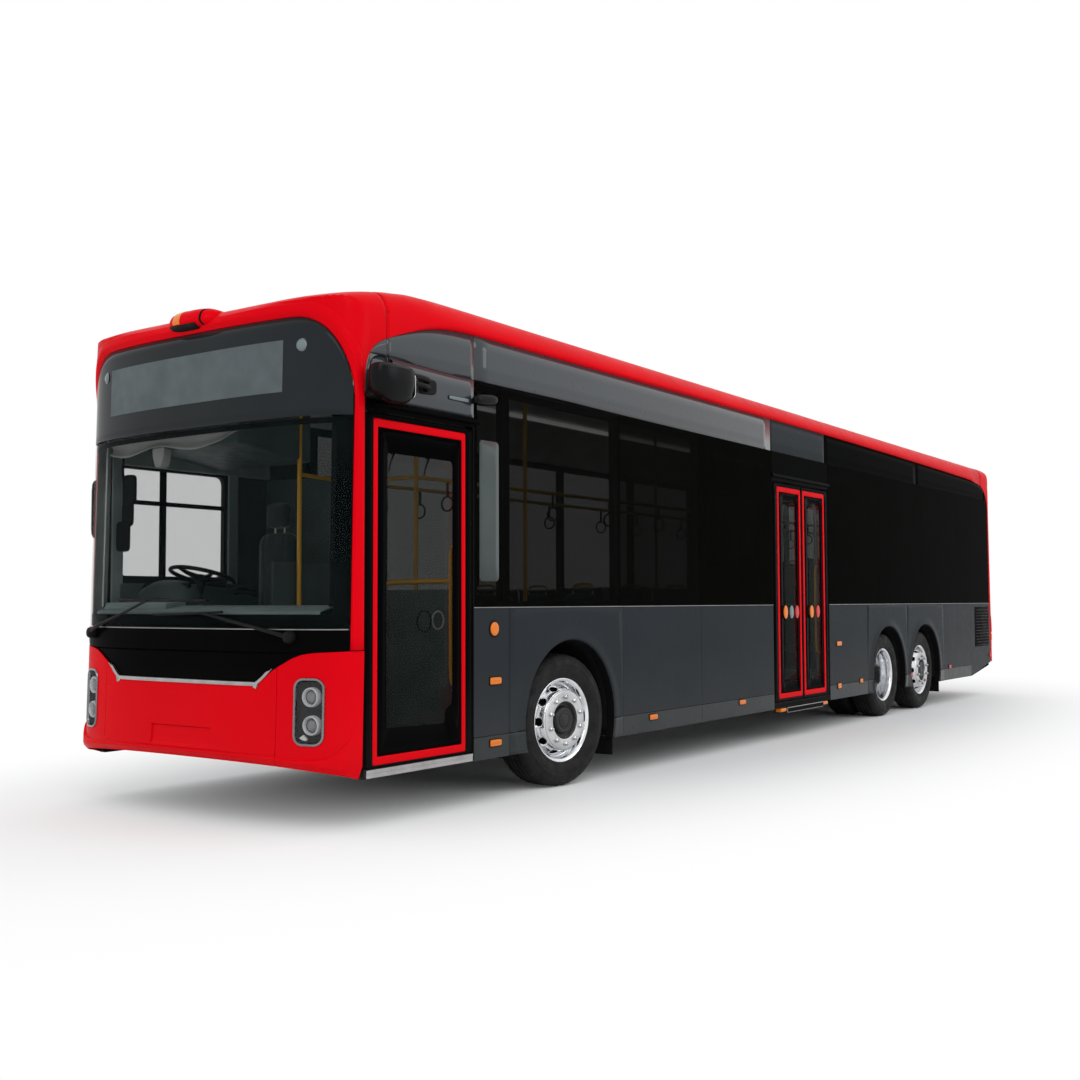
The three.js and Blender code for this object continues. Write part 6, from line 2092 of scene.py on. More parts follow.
def handRails():
    # poles and rails as tubes through points, with grip rings along them
    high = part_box("handrails")[1]
    top, rail = high.z, 2.25
    parts = []

    def pole(x, s, z0):
        parts.append(addTube("pole", [(x, along(s), z0), (x, along(s), 1.0), (x, along(s), 2.0),
                                      (x, along(s), top)], 0.0165,
                             yellowPaint, 16))
        parts.append(addTurned("foot", [(0.040, 0.0), (0.038, 0.006), (0.022, 0.012), (0.0168, 0.026)],
                               (x, along(s), z0), (0, 0, 1),
                               satinSteel, 20))

    for x in (-0.33, 0.33):
        for s in (1.84, 3.20, 6.50, 7.60):
            pole(x, s, 0.371)
        pole(x, 12.30, 0.751)
        parts.append(addTube("rail", [(x, along(s), rail) for s in (1.84, 4.0, 8.0, 12.30)], 0.0148,
                             yellowPaint, 16))
    pole(-0.21, 1.20, 0.371)
    for s in (1.84, 12.30):
        parts.append(addTube("cross", [(-0.33, along(s), rail), (0.0, along(s), rail),
                                       (0.33, along(s), rail)], 0.0148, yellowPaint, 16))
    parts.append(addTube("lead", [(-0.21, along(1.20), rail), (-0.27, along(1.52), rail),
                                  (-0.33, along(1.84), rail)], 0.0148,
                         yellowPaint, 16))
    joined("handrails_dressed", parts, ("handrails",))
    loops = []
    for x, s in [(x, s) for x in (-0.33, 0.33) for s in (2.2, 2.65, 3.6, 4.5, 5.4, 6.1, 7.05, 8.1, 9.0, 10.0,
                                                         11.0)]:
        loops.append(addTube("hanger", [(x, along(s), 2.262), (x, along(s), 2.20), (x, along(s), 2.135)],
                             0.011, blackPlastic, 6))
        loops.append(ringLoop("grip", (x, along(s), 2.075), 0.055, 0.008, (0, 1, 0), blackPlastic, 20))
    joined("grip_rings", loops)


def saloonLinings():
    # ceiling and coves: (across, height) profile carried along the bus
    half = np.array([(1.178, 2.79), (1.172, 2.82), (1.15, 2.88), (1.08, 2.97), (0.98, 3.045), (0.86, 3.095),
                     (0.70, 3.118), (0.40, 3.130),
                     (0.0, 3.134)])
    line = np.vstack([half, half[::-1][1:] * (-1, 1)])
    s = np.linspace(1.30, 13.20, 40)[:, None]
    rib = 0.003 * (np.arange(40)[:, None] % 4 == 0)
    points = np.stack([line[None, :, 0] + 0 * s, along(s + 0 * line[None, :, 0]), line[None, :, 1] + rib], -1)
    addPanel("ceiling_lining", points, ceilingTrim, 0.006, 0.0, toward=(0, 0, -1), slot="dash_plastic")
    s = np.linspace(0.50, 1.295, 12)[:, None]
    half = np.array([(1.178, 2.79), (1.10, 2.86), (0.90, 2.93), (0.5, 2.96), (0.0, 2.965)])
    line = np.vstack([half, half[::-1][1:] * (-1, 1)])
    points = np.stack([line[None, :, 0] + 0 * s, along(s + 0 * line[None, :, 0]), line[None, :, 1] + 0 * s],
                      -1)
    addPanel("cab_ceiling", points, slateTrim, 0.006, 0.0, toward=(0, 0, -1), slot="dash_plastic")
    strips = [addBar(f"l{n}", roundedRect(x - 0.045, x + 0.045, 3.085, 3.108, 0.010, 4), "y", along(1.9),
                     along(12.9), lightStrip, 0.004)
              for n, x in enumerate((-0.62, 0.62))]
    joined("ceiling_lights", strips)
    walls = []
    for sign, runs in ((1, ((1.46, 1.88), (3.12, 5.94), (7.40, 8.52), (11.07, 13.20))),
                       (-1, ((1.80, 1.88), (3.12, 8.52), (11.07, 13.20)))):
        for s0, s1 in runs:
            z0 = 0.375 if s1 < 8.53 else 0.755
            if s0 == 7.40 or (s0 == 3.12 and s1 == 8.52):
                s1 = 8.24
            t, z = np.linspace(s0, s1, 14)[:, None], np.array([z0, z0 + 0.08, z0 + 0.09, 1.24, 1.25,
                    1.292])[None]
            x = np.array([1.158, 1.158, 1.176, 1.176, 1.170, 1.170])[None]
            walls.append(addPanel("w", np.stack([sign * x + 0 * t, along(t + 0 * z), z + 0 * t], -1),
                                  slateTrim, 0.005, 0.0,
                                  toward=(-sign, 0, 0)))
    joined("wall_linings", walls)
    wrap = [addBlock("a", (-1.165, along(8.215), 0.375), (1.165, along(8.245), 0.748), slateTrim, 0.004)]
    joined("platform_riser", wrap)


def floorCover(name):
    # speckled vinyl on what faces up, dark undercoat on the rest
    material, tree, shader = newMaterial(name)
    normal = tree.nodes.new("ShaderNodeNewGeometry")
    split = tree.nodes.new("ShaderNodeSeparateXYZ")
    tree.links.new(normal.outputs["True Normal"], split.inputs[0])
    up = addNode(tree, "ShaderNodeMath", operation="GREATER_THAN")
    up.inputs[1].default_value = 0.6
    tree.links.new(split.outputs["Z"], up.inputs[0])
    vinyl = ramp(tree, objectNoise(tree, 260, 2), [(0.35, (0.030, 0.034, 0.038)),
                                                   (0.50, (0.060, 0.066, 0.072)), (0.72, (0.16, 0.17, 0.18))])
    under = ramp(tree, objectNoise(tree, 14, 5), [(0.3, (0.004, 0.004, 0.004)),
                                                  (0.7, (0.010, 0.0098, 0.0095))])
    mix = addNode(tree, "ShaderNodeMix", data_type="RGBA")
    tree.links.new(up.outputs["Value"], mix.inputs["Factor"])
    tree.links.new(under, mix.inputs[6])
    tree.links.new(vinyl, mix.inputs[7])
    tree.links.new(mix.outputs[2], shader.inputs["Base Color"])
    rough = ramp(tree, objectNoise(tree, 20, 4), [(0.3, (0.5,) * 3), (0.7, (0.8,) * 3)])
    tree.links.new(rough, shader.inputs["Roughness"])
    shader.inputs["Specular IOR Level"].default_value = 0.2
    bumpFrom(tree, objectNoise(tree, 180, 2), shader, 0.25, 0.0006)
    return material


seatShell = mouldedPlastic("charcoal seat shell", (0.022, 0.024, 0.027), 0.45, 380, 0.25, 0.3)
lightStrip = lensPlastic("ceiling light strip", (0.75, 0.76, 0.74), 20, 0.3, 0.4)
saloonSeats()
handRails()
saloonLinings()
frame["nodes"]["floor"].data.materials.clear()
frame["nodes"]["floor"].data.materials.append(floorCover("floor covering"))
print("saloon made")

# outside fittings on the sides and the nose

mirrorGlass = brushedMetal("mirror glass", (0.70, 0.72, 0.74), 0.03, 40, None, 1.0, 0.05)
headShell = mouldedPlastic("mirror housing", (0.0040, 0.0042, 0.0048), 0.24, 520, 0.08, 0.09)


def loftOver(name, levels, centre, half, material, power=2.6, count=48, cut=None, **kw):
    # superellipse rings stacked by height: (height, share across, share along, shift along); cut flattens
    # the rear side
    rows = []
    angle = np.linspace(0, 2 * np.pi, count, endpoint=False)
    c, s = np.cos(angle), np.sin(angle)
    for z, across, length, shift in levels:
        x = centre[0] + half[0] * across * np.sign(c) * np.abs(c) ** (2 / power)
        y = half[1] * length * np.sign(s) * np.abs(s) ** (2 / power) + shift
        if cut is not None:
            y = np.minimum(y, cut)
        rows.append(np.stack([x, along(centre[1] + y), np.full(count, z)], -1))
    return addSurface(name, np.stack(rows), material, wrapCols=True, closed=True, **kw)


def leftMirror():
    # the head as rings up its height, each with its own two scales and shift, and its arms
    levels = [(2.510, 0.0, 0.0, 0.0), (2.510, 0.22, 0.24, 0.02), (2.516, 0.42, 0.44, 0.02),
              (2.532, 0.62, 0.66, 0.015),
              (2.558, 0.80, 0.83, 0.008), (2.590, 0.92, 0.94, 0.0), (2.630, 0.985, 0.99, 0.0),
              (2.672, 1.0, 1.0, 0.0),
              (2.700, 0.985, 0.985, 0.0), (2.714, 0.96, 0.965, 0.0), (2.719, 0.90, 0.92, 0.0),
              (2.728, 0.84, 0.87, 0.0),
              (2.736, 0.70, 0.76, 0.0), (2.739, 0.40, 0.45, 0.0), (2.739, 0.0, 0.0, 0.0)]
    head = loftOver("a", levels, (1.370, 0.4275), (0.080, 0.1725), headShell, 2.7, 56, cut=0.140)
    parts = [head]
    # twin stub arms and the lower foot on the wall
    for z in (2.662, 2.706):
        path = smoothPath([(1.352, along(0.52), z), (1.348, along(0.68), z + 0.002), (1.330, along(0.80), z),
                           (1.262, along(0.862), z - 0.002)],
                          26)
        parts.append(addTube("b", path, 0.0165, blackPlastic, 14))
    parts.append(addBar("c", rounded([(along(0.80), 2.632), (along(0.955), 2.640), (along(0.955), 2.730),
                                      (along(0.80), 2.735)], 0.03), "x",
                        1.250, 1.272, blackPlastic, 0.006, 3))
    parts.append(addBar("d", rounded([(along(0.30), 2.545), (along(0.50), 2.540), (along(0.46), 2.590),
                                      (along(0.33), 2.595)], 0.02), "x",
                        1.250, 1.335, blackPlastic, 0.008, 3))
    joined("left_mirror_dressed", parts, ("left_mirror",))
    outline = roundedRect(1.308, 1.432, 2.552, 2.704, 0.030, 6)
    middle = outline.mean(0)
    share = np.array([1.0, 0.92, 0.5, 0.0])[:, None, None]
    spots = middle + (outline[None] - middle) * share
    points = np.stack([spots[..., 0], np.broadcast_to(along(0.5695) - 0.002 * (share[..., 0] == 1.0),
                                                      spots.shape[:2]), spots[..., 1]], -1)
    addPanel("left_mirror_glass", points, mirrorGlass, 0.003, 0.0, wrapCols=True, toward=(0, 1, 0),
             slot="polished_aluminium")


def rightMirror():
    # tall head on a bent arm beside the driver's window
    path = smoothPath([(-1.262, along(0.490), 2.562), (-1.322, along(0.452), 2.532),
                       (-1.342, along(0.410), 2.40),
                       (-1.358, along(0.388), 2.28), (-1.360, along(0.385), 2.19)], 34)
    parts = [addTube("a", path, 0.0165, blackPlastic, 14),
             addBar("b", rounded([(along(0.444), 2.504), (along(0.536), 2.504), (along(0.536), 2.616),
                                  (along(0.444), 2.616)], 0.03), "x",
                    -1.272, -1.250, blackPlastic, 0.006, 3)]
    levels = [(1.792, 0.0, 0.0, 0.0), (1.793, 0.55, 0.62, 0.0), (1.803, 0.80, 0.84, 0.0),
              (1.825, 0.94, 0.96, 0.0), (1.865, 1.0, 1.0, 0.0),
              (2.00, 1.0, 1.0, 0.0), (2.13, 1.0, 1.0, 0.0), (2.180, 0.94, 0.96, 0.0),
              (2.202, 0.80, 0.84, 0.0),
              (2.212, 0.55, 0.62, 0.0), (2.213, 0.0, 0.0, 0.0)]
    parts.append(loftOver("c", levels, (-1.360, 0.385), (0.054, 0.069), headShell, 3.2, 48, cut=0.050))
    joined("right_mirror_dressed", parts, ("right_mirror",))
    for k, (z0, z1) in enumerate(((1.828, 1.941), (1.951, 2.178))):
        outline = roundedRect(-1.404, -1.316, z0, z1, 0.018, 5)
        middle = outline.mean(0)
        share = np.array([1.0, 0.92, 0.5, 0.0])[:, None, None]
        spots = middle + (outline[None] - middle) * share
        points = np.stack([spots[..., 0], np.full(spots.shape[:2], along(0.438)), spots[..., 1]], -1)
        addPanel(f"right_mirror_glass_{k + 1}", points, mirrorGlass, 0.003, 0.0, wrapCols=True,
                 toward=(0, 1, 0),
                 slot="polished_aluminium")


wiperStyle = {"blade": 0.0085, "frame": 0.0065}


def wiper(side, pivot, middle, blade):
    # tapered arm from the spindle cap to the blade's saddle, yokes over the blade, a rubber strip below
    place = lambda p, lift: onFront(np.array([p], float), lift)[0]
    start, saddle = place(pivot, 0.030), place(middle, 0.026)
    a, b = np.array(blade, float)
    t = np.linspace(0, 1, 30)[:, None]
    run = a + (b - a) * t
    run[:, 1] += (np.array(middle)[1] - np.interp(middle[0], np.sort([a[0], b[0]]),
                                                  np.array([a, b])[np.argsort([a[0], b[0]]), 1])) * \
        np.sin(np.pi * t[:, 0])
    strip = onFront(run, 0.010)
    frameRun = onFront(run, 0.020)
    elbow = place(np.array(pivot) + (np.array(middle) - np.array(pivot)) * 0.18 + (0, 0.006), 0.036)
    arm = smoothPath([start, elbow, (start + saddle) / 2 + (0, -0.008, 0.004), saddle], 30)
    parts = [addTube("a", strip, wiperStyle["blade"], rubber, 8),
             addTube("b", frameRun, wiperStyle["frame"], blackPlastic, 8),
             addTube("c", arm, np.interp(np.linspace(0, 1, 30), [0, 0.2, 1], [0.016, 0.013, 0.008]),
                     blackPlastic, 12)]
    for k in (0.16, 0.5, 0.84):
        i = int(k * 29)
        parts.append(addTube("d", smoothPath([strip[max(i - 2, 0)], frameRun[i] + (0, -0.004, 0.002),
                                              strip[min(i + 2, 29)]], 10), 0.0055,
                             blackPlastic, 8))
    n = onFront(np.array([pivot], float), 0.1)[0] - onFront(np.array([pivot], float), 0.0)[0]
    parts.append(addTurned("e", [(0.036, 0.0), (0.038, 0.014), (0.036, 0.036), (0.028, 0.047), (0.014, 0.052),
                                 (0.0, 0.053)],
                           onFront(np.array([pivot], float), 0.0)[0], n, blackPlastic, 28))
    joined(f"{side}_wiper_dressed", parts, (f"{side}_wiper",))


def marker(name, s, z, wide, tall, material, sign=1, isRound=False):
    # side lamp: a lens with softened corners in a thin dark surround; round ones have a raised ring
    x = sign * bus["half"]
    count = 32
    angle = np.linspace(0, 2 * np.pi, count, endpoint=False)[None]
    p = 2.0 if isRound else 7.0
    c, q = np.cos(angle), np.sin(angle)
    c, q = np.sign(c) * np.abs(c) ** (2 / p), np.sign(q) * np.abs(q) ** (2 / p)

    def rings(shares, lifts):
        shares, lifts = np.array(shares)[:, None], np.array(lifts)[:, None]
        grow = (shares - 1) * min(wide, tall) / 2
        return np.stack([x + sign * (lifts + 0 * angle), along(s + (wide / 2 + grow) * c),
                         z + (tall / 2 + grow) * q], -1)

    lens = addSurface("a", rings((0.92, 0.90, 0.80, 0.55, 0.25, 0.02),
                                 (0.002, 0.007, 0.0105, 0.012, 0.0125, 0.0125)), material,
                      wrapCols=True, toward=(sign, 0, 0))
    base = addSurface("b", rings((1.14, 1.13, 1.05, 0.94, 0.93), (0.0005, 0.005, 0.0065, 0.0055, 0.001)),
                      blackPlastic if isRound else satinBlack, wrapCols=True, toward=(sign, 0, 0))
    joined(name, [lens, base])


def sideMarkers():
    # a lamp at each (distance, height, width, tallness, lens) on both sides
    red, amber = redLens, amberLens
    places = [(1.58, 0.81, 0.125, 0.052, amber), (1.58, 0.40, 0.125, 0.048, amber),
              (3.67, 0.41, 0.125, 0.046, amber),
              (5.28, 0.42, 0.125, 0.046, amber), (7.61, 0.883, 0.130, 0.052, amber),
              (7.605, 0.435, 0.095, 0.060, amber),
              (8.24, 0.456, 0.085, 0.050, amber), (9.915, 0.44, 0.075, 0.055, red),
              (11.43, 0.47, 0.085, 0.050, red)]
    for n, (s, z, wide, tall, material) in enumerate(places):
        for sideName, sign in (("left", 1), ("right", -1)):
            marker(f"{sideName}_marker_{n + 1}", s, z, wide, tall, material, sign)
    for sideName, sign in (("left", 1), ("right", -1)):
        marker(f"{sideName}_round_indicator", 1.57, 1.155, 0.100, 0.100, amber, sign, True)


def upperFittings():
    # camera pod behind its neck, flush oval lamp, gasket line round the panel at the corner
    for sideName, sign in (("left", 1), ("right", -1)):
        half = padShape((0.034, 0.125, 0.038), power=(0.75, 0.7), rows=28, cols=48)
        centre = np.array([sign * 1.292, along(1.425), 2.668])
        tilt = half.copy()
        tilt[..., 2] += 0.10 * half[..., 1]
        podShell = addSurface("a", tilt + centre, headShell, wrapCols=True, closed=True)
        neck = addTube("b", smoothPath([(sign * 1.249, along(1.335), 2.652),
                                        (sign * 1.275, along(1.345), 2.654),
                                        (sign * 1.290, along(1.385), 2.660)], 12), 0.018, blackPlastic, 14)
        eye = addTurned("c", [(0.0, 0.006), (0.012, 0.006), (0.016, 0.002), (0.018, -0.004)],
                        (sign * 1.305, along(1.318), 2.655), (sign * 0.6, -1, -0.3), blackPartsAndPaintedShade, 24)
        joined(f"{sideName}_camera_pod", [podShell, neck, eye])
        marker(f"{sideName}_step_light", 1.19, 2.648, 0.200, 0.026, smokedLens, sign)
        corner = rounded([(0.356, 2.560), (0.356, 2.812), (0.60, 2.812)], 0.105, 9)[:, :]
        corner = corner[(corner[:, 0] < 0.56) & (corner[:, 1] > 2.59)]
        path = np.vstack([[0.352, 2.562], corner, [0.52, 2.8115]])
        order = np.argsort(np.arctan2(path[:, 1] - 2.55, path[:, 0] - 0.60))[::-1]
        path = path[order]
        addTube(f"{sideName}_corner_gasket", onSide(sign, path[:, 0], path[:, 1], 0.0015), 0.0030, blackPartsAndPaintedShade,
                6, slot="black_plastic")


def quarterWindow():
    # light pane with rounded corners in the black sheet beside the front door
    hole = roundedRect(1.413, 1.622, 1.472, 2.408, 0.030, 6)
    middle = hole.mean(0)
    share = np.array([1.0, 0.6, 0.0])[:, None, None]
    spots = middle + (hole[None] - middle) * share
    points = onSide(1, spots[..., 0], spots[..., 1], 0.0012)
    addPanel("quarter_window_pane", points, quarterGlass, 0.002, 0.0, wrapCols=True, toward=(1, 0, 0),
             slot="tinted_glass")


quarterGlass = paneGlass("light quarter glass", (0.075, 0.090, 0.088), 0.9, 0.08)
leftMirror()
rightMirror()
wiper("right", (-1.020, 1.138), (-0.330, 1.352), ((-0.670, 1.358), (0.240, 1.348)))
wiper("left", (0.905, 1.132), (0.200, 1.272), ((-0.275, 1.262), (0.369, 1.278)))
sideMarkers()
upperFittings()
quarterWindow()
print("fittings made")

# tail

tail = {"low": 0.462, "half": 1.075, "spring": 2.42, "shoulder": 0.80, "top": 2.93, "roundness": 2.6,
        "split": 1.285,
        "bumperTop": 0.905, "corner": 13.338}


def tailEdge(low, margin=0.0, sides=20, corner=30, across=14):
    # outline inside the red hoop, left half: up the straight side, round the corner, to the middle
    z = np.linspace(low, tail["spring"], sides)
    straight = np.column_stack([np.full(sides, tail["half"] + margin), z])
    angle = np.linspace(0, np.pi / 2, corner)[1:]
    reach, rise = tail["half"] - tail["shoulder"] + margin, tail["top"] - tail["spring"] + margin
    bend = np.column_stack([tail["shoulder"] + reach * np.cos(angle) ** (2 / tail["roundness"]),
                            tail["spring"] + rise * np.sin(angle) ** (2 / tail["roundness"])])
    x = np.linspace(tail["shoulder"], 0, across)[1:]
    return np.vstack([straight, bend, np.column_stack([x, np.full(across - 1, tail["top"] + margin)])])


def onTail(outline, lift=0.0):
    # (across, height) pairs laid on the tail
    outline = np.asarray(outline, float)
    return endPoints(roundTo(outline[..., 0], True), outline[..., 1], lift, True)


def rearHoop():
    # the hoop of the tail: from the tail's outline out to the wall, the band and the rear seam of the roof
    inner = onTail(tailEdge(tail["low"], 0.003))
    z = np.linspace(tail["low"], 2.50, 20)
    wallEdge = np.column_stack([np.full(20, bus["half"]), np.full(20, along(tail["corner"] + 0.003)), z])
    band = bandCurve[bandCurve[:, 0] > roofJoin["rear"] + 0.002][::-1]
    step = np.concatenate([[0], np.cumsum(np.hypot(*np.diff(band, axis=0).T))])
    t = np.linspace(0, step[-1], 17)[1:]
    band = np.column_stack([np.full(16, bus["half"]), along(np.interp(t, step, band[:, 0]) + 0.002),
                            np.interp(t, step, band[:, 1])])
    seam = roofSection(np.full(1, roofJoin["rear"] + 0.002), 160)[2:, 0]
    length = np.concatenate([[0], np.cumsum(np.linalg.norm(np.diff(seam, axis=0), axis=1))])
    split = np.interp(-1.0, -seam[:, 0], length)
    t = np.concatenate([np.linspace(0, split, 14)[1:], np.linspace(split, length[-1], 14)[1:]])
    over = np.column_stack([np.interp(t, length, seam[:, k]) for k in range(3)])
    grid = hoopGrid(inner, np.vstack([wallEdge, band, over]), np.array([0, along(12.3), 2.55]),
                    [0, 0.004, 0.020, 0.030, 0.050], [-0.006, 0.001, 0.004, 0.003, 0.0])
    addPanel("rear_hoop_skin", mirrored(grid), redPaint, 0.006, 0.0, slot="red_paint", sharp=26,
             toward=(0, 1, 0))


def tailSheet(name, x0, x1, z0, z1, material, lift=0.0, radius=0.0, count=24, thickness=0.005, hole=None):
    # a sheet on the tail between two places across and two heights, with an outline hole where one is given
    if hole is None and not radius:
        x, z = np.linspace(x0, x1, count)[:, None], np.linspace(z0, z1, max(3, int((z1 - z0) / 0.06)))[None]
        return addPanel(name, onTail(np.stack([x + 0 * z, z + 0 * x], -1), lift), material, thickness, 0.0012,
                        toward=(0, 1, 0))
    outer = roundedRect(x0, x1, z0, z1, max(radius, 0.004), 6)
    inner = hole if hole is not None else outer.mean(0) + (outer - outer.mean(0)) * 0.02
    grid = ringGrid(inner, outer, 10 if hole is None else 6, 120)
    return addPanel(name, onTail(grid, lift), material, thickness, 0.0, wrapCols=True, toward=(0, 1, 0))


def louvres(place, u0, u1, z0, z1, rows, normal, material, depth=0.018):
    # slats in a dark recess: each a thin leaf that leans outwards at its lower edge; place(u, z, lift) gives
    # the spot
    pitch = (z1 - z0) / rows
    parts = []
    u = np.linspace(u0, u1, 8)[None]
    for k in range(rows):
        foot = z0 + pitch * (k + 0.14)
        t = np.array([0.0, 0.35, 0.75, 1.0])[:, None]
        z = foot + pitch * 0.62 * t + 0 * u
        parts.append(addPanel("slat", place(u + 0 * t, z, -depth * t ** 1.5), material, 0.003, 0.0,
                              toward=normal))
    return parts


def rearWall():
    # sheets between outlines laid on the tail: glass and border, doors and bumper
    black = tailEdge(tail["split"], -0.001)
    black = np.vstack([black, black[::-1][1:] * (-1, 1)])
    glass = roundedRect(-0.975, 0.975, 1.505, 2.715, 0.070, 8)
    grid = ringGrid(glass * 1.0, black, 8, 150)
    border = addPanel("a", onTail(grid, -0.002), blackGloss, 0.006, 0.0, wrapCols=True, toward=(0, 1, 0))
    lamp = tailSheet("b", -0.20, 0.20, 2.775, 2.803, redLens, 0.003, 0.012)
    joined("rear_black_panel", [border])
    joined("high_stop_lamp", [lamp])
    middle = glass.mean(0)
    share = np.array([1.0, 0.985, 0.8, 0.55, 0.3, 0.0])[:, None, None]
    spots = middle + (glass[None] * 0.998 + middle * 0.002 - middle) * share
    # the rear pane in the near-black glass, painted dark reflection
    addPanel("rear_pane", onTail(spots, -0.0025 - 0.002 * (share[..., 0] == 1.0)), darkReflectionGlass, 0.005, 0.0,
             wrapCols=True, toward=(0, 1, 0),
             slot="tinted_glass", stands=("rear_window",))
    # grey doors over the drive compartment, louvred in the middle, and the red bumper under them
    half, split, foot = tail["half"] - 0.002, tail["split"] - 0.004, tail["bumperTop"] + 0.003
    grille = roundedRect(-0.56, 0.56, 0.985, 1.205, 0.020, 5)
    parts = [tailSheet("a", -0.66, 0.66, foot, split, shadedSkirtGrey, 0.0, 0.012, hole=grille),
             tailSheet("b", 0.664, half, foot, split, shadedSkirtGrey),
             tailSheet("c", -half, -0.664, foot, split, shadedSkirtGrey)]
    joined("rear_doors", parts, ("rear_end",))
    slats = louvres(lambda u, z, lift: onTail(np.stack([u, z], -1), lift - 0.002), -0.555, 0.555, 0.988,
                    1.203, 9,
                    (0, 1, 0), satinBlack)
    # a black sheet behind the slats, painted shade in the recess
    slats.append(tailSheet("back", -0.57, 0.57, 0.975, 1.215, blackPartsAndPaintedShade, -0.030))
    joined("rear_louvres", slats)
    plateHole = roundedRect(-0.262, 0.262, 0.698, 0.852, 0.012, 4)
    parts = [tailSheet("a", -half, half, tail["low"], tail["bumperTop"], redPaint, 0.0, 0.010,
                       hole=plateHole)]
    joined("rear_bumper", parts)
    parts = [tailSheet("a", -0.262, 0.262, 0.698, 0.852, satinBlack, -0.016),
             tailSheet("lip", -0.20, 0.20, 0.858, 0.876, blackPlastic, 0.012)]
    x = np.linspace(-half - 0.01, half + 0.01, 40)[:, None]
    t = np.linspace(0, 1, 6)[None]
    under = onTail(np.stack([x + 0 * t, tail["low"] - 0.002 + 0 * x * t], -1), -0.004 - 0.10 * t)
    parts.append(addPanel("valance", under, blackPlastic, 0.004, 0.0, toward=(0, 0, -1)))
    joined("rear_plate_seat_dressed", parts)
    # backing behind the seams, black as painted shade, lining inside the saloon
    backing = addPanel("a", onTail(ringGrid(roundedRect(-0.985, 0.985, 1.495, 2.725, 0.06, 6),
                                            roundedRect(-1.15, 1.15, 0.50, 2.90, 0.1, 6), 6, 90),
                                   -0.034), blackPartsAndPaintedShade, 0.004, 0.0, wrapCols=True, toward=(0, 1, 0))
    inner = ringGrid(roundedRect(-0.95, 0.95, 1.53, 2.69, 0.07, 6),
                     roundedRect(-1.170, 1.170, 0.758, 3.10, 0.15, 6), 5, 90)
    points = np.stack([inner[..., 0], along(13.235) + 0 * inner[..., 0], inner[..., 1]], -1)
    lining = addPanel("b", points, slateTrim, 0.006, 0.0, wrapCols=True, toward=(0, -1, 0))
    joined("rear_lining", [backing, lining])


def rearLamps():
    # upright clusters that bulge round the corners: red tail and stop, amber turn, white reverse
    w0, w1 = roundTo(0.985, True), roundTo(1.2499, True) + 0.028
    for sideName, sign in (("left", 1), ("right", -1)):
        parts = []
        cells = ((0.640, 0.752, clearLens), (0.756, 0.868, amberLens), (0.872, 1.128, redLens))
        for z0, z1, material in cells:
            u, v = np.linspace(0, 1, 26)[:, None], np.linspace(0, 1, 14)[None]
            z = z0 + (z1 - z0) * v + 0 * u
            slant = 0.045 * (1 - np.sin(np.pi * np.clip((z - 0.62) / 0.53, 0, 1)))
            w = w0 + slant + (w1 - w0 - slant) * u
            full = np.sin(np.pi * np.clip((z - 0.625) / 0.520, 0, 1)) ** 0.4
            edge = np.minimum(1, 16 * np.minimum(u, 1 - u)) * np.minimum(1, 20 * np.minimum(v, 1 - v) + 0.4)
            parts.append(addPanel("lens", endPoints(sign * w, z, 0.002 + 0.0115 * full * edge, True),
                                  material, 0.004, 0.0, sharp=50,
                                  toward=(sign * 0.4, 1, 0)))
        joined(f"{sideName}_tail_lamp", parts)
        u, v = np.linspace(0, 1, 26)[:, None], np.linspace(0, 1, 20)[None]
        z = 0.628 + 0.512 * v + 0 * u
        slant = 0.045 * (1 - np.sin(np.pi * np.clip((z - 0.62) / 0.53, 0, 1)))
        w = w0 - 0.010 + slant + (w1 - w0 + 0.016 - slant) * u
        addPanel(f"{sideName}_lamp_bed", endPoints(sign * w, z, 0.003, True), satinBlack, 0.003, 0.0,
                 toward=(sign * 0.4, 1, 0),
                 slot="black_plastic")
        marker(f"{sideName}_rear_side_lamp", 13.305, 0.560, 0.040, 0.050, redLens, sign)
        # cooling grille behind the last wheel
        place = lambda across, height, lift: onSide(sign, across, height, lift + 0.003)
        slats = louvres(place, 12.615, 13.270, 0.705, 1.235, 13, (sign, 0, 0), satinBlack, 0.016)
        # a black bed behind the slats, painted shade in the recess
        bed = addPanel("bed", onSide(sign, np.array([12.60, 13.285])[:, None], np.array([0.695, 1.248])[None],
                                     0.0006), blackPartsAndPaintedShade, 0.001, 0.0,
                       toward=(sign, 0, 0))
        joined(f"{sideName}_rear_grille", slats + [bed])


rearHoop()
rearWall()
rearLamps()
print("tail made")

# roof housings

roofUnits = {"base": 3.262, "top": 3.404, "edge": 0.075}
roofPaint = dustyPaint("off-white housing paint", (0.56, 0.56, 0.54), 0.45, 0.1, 0.35, 0.3)


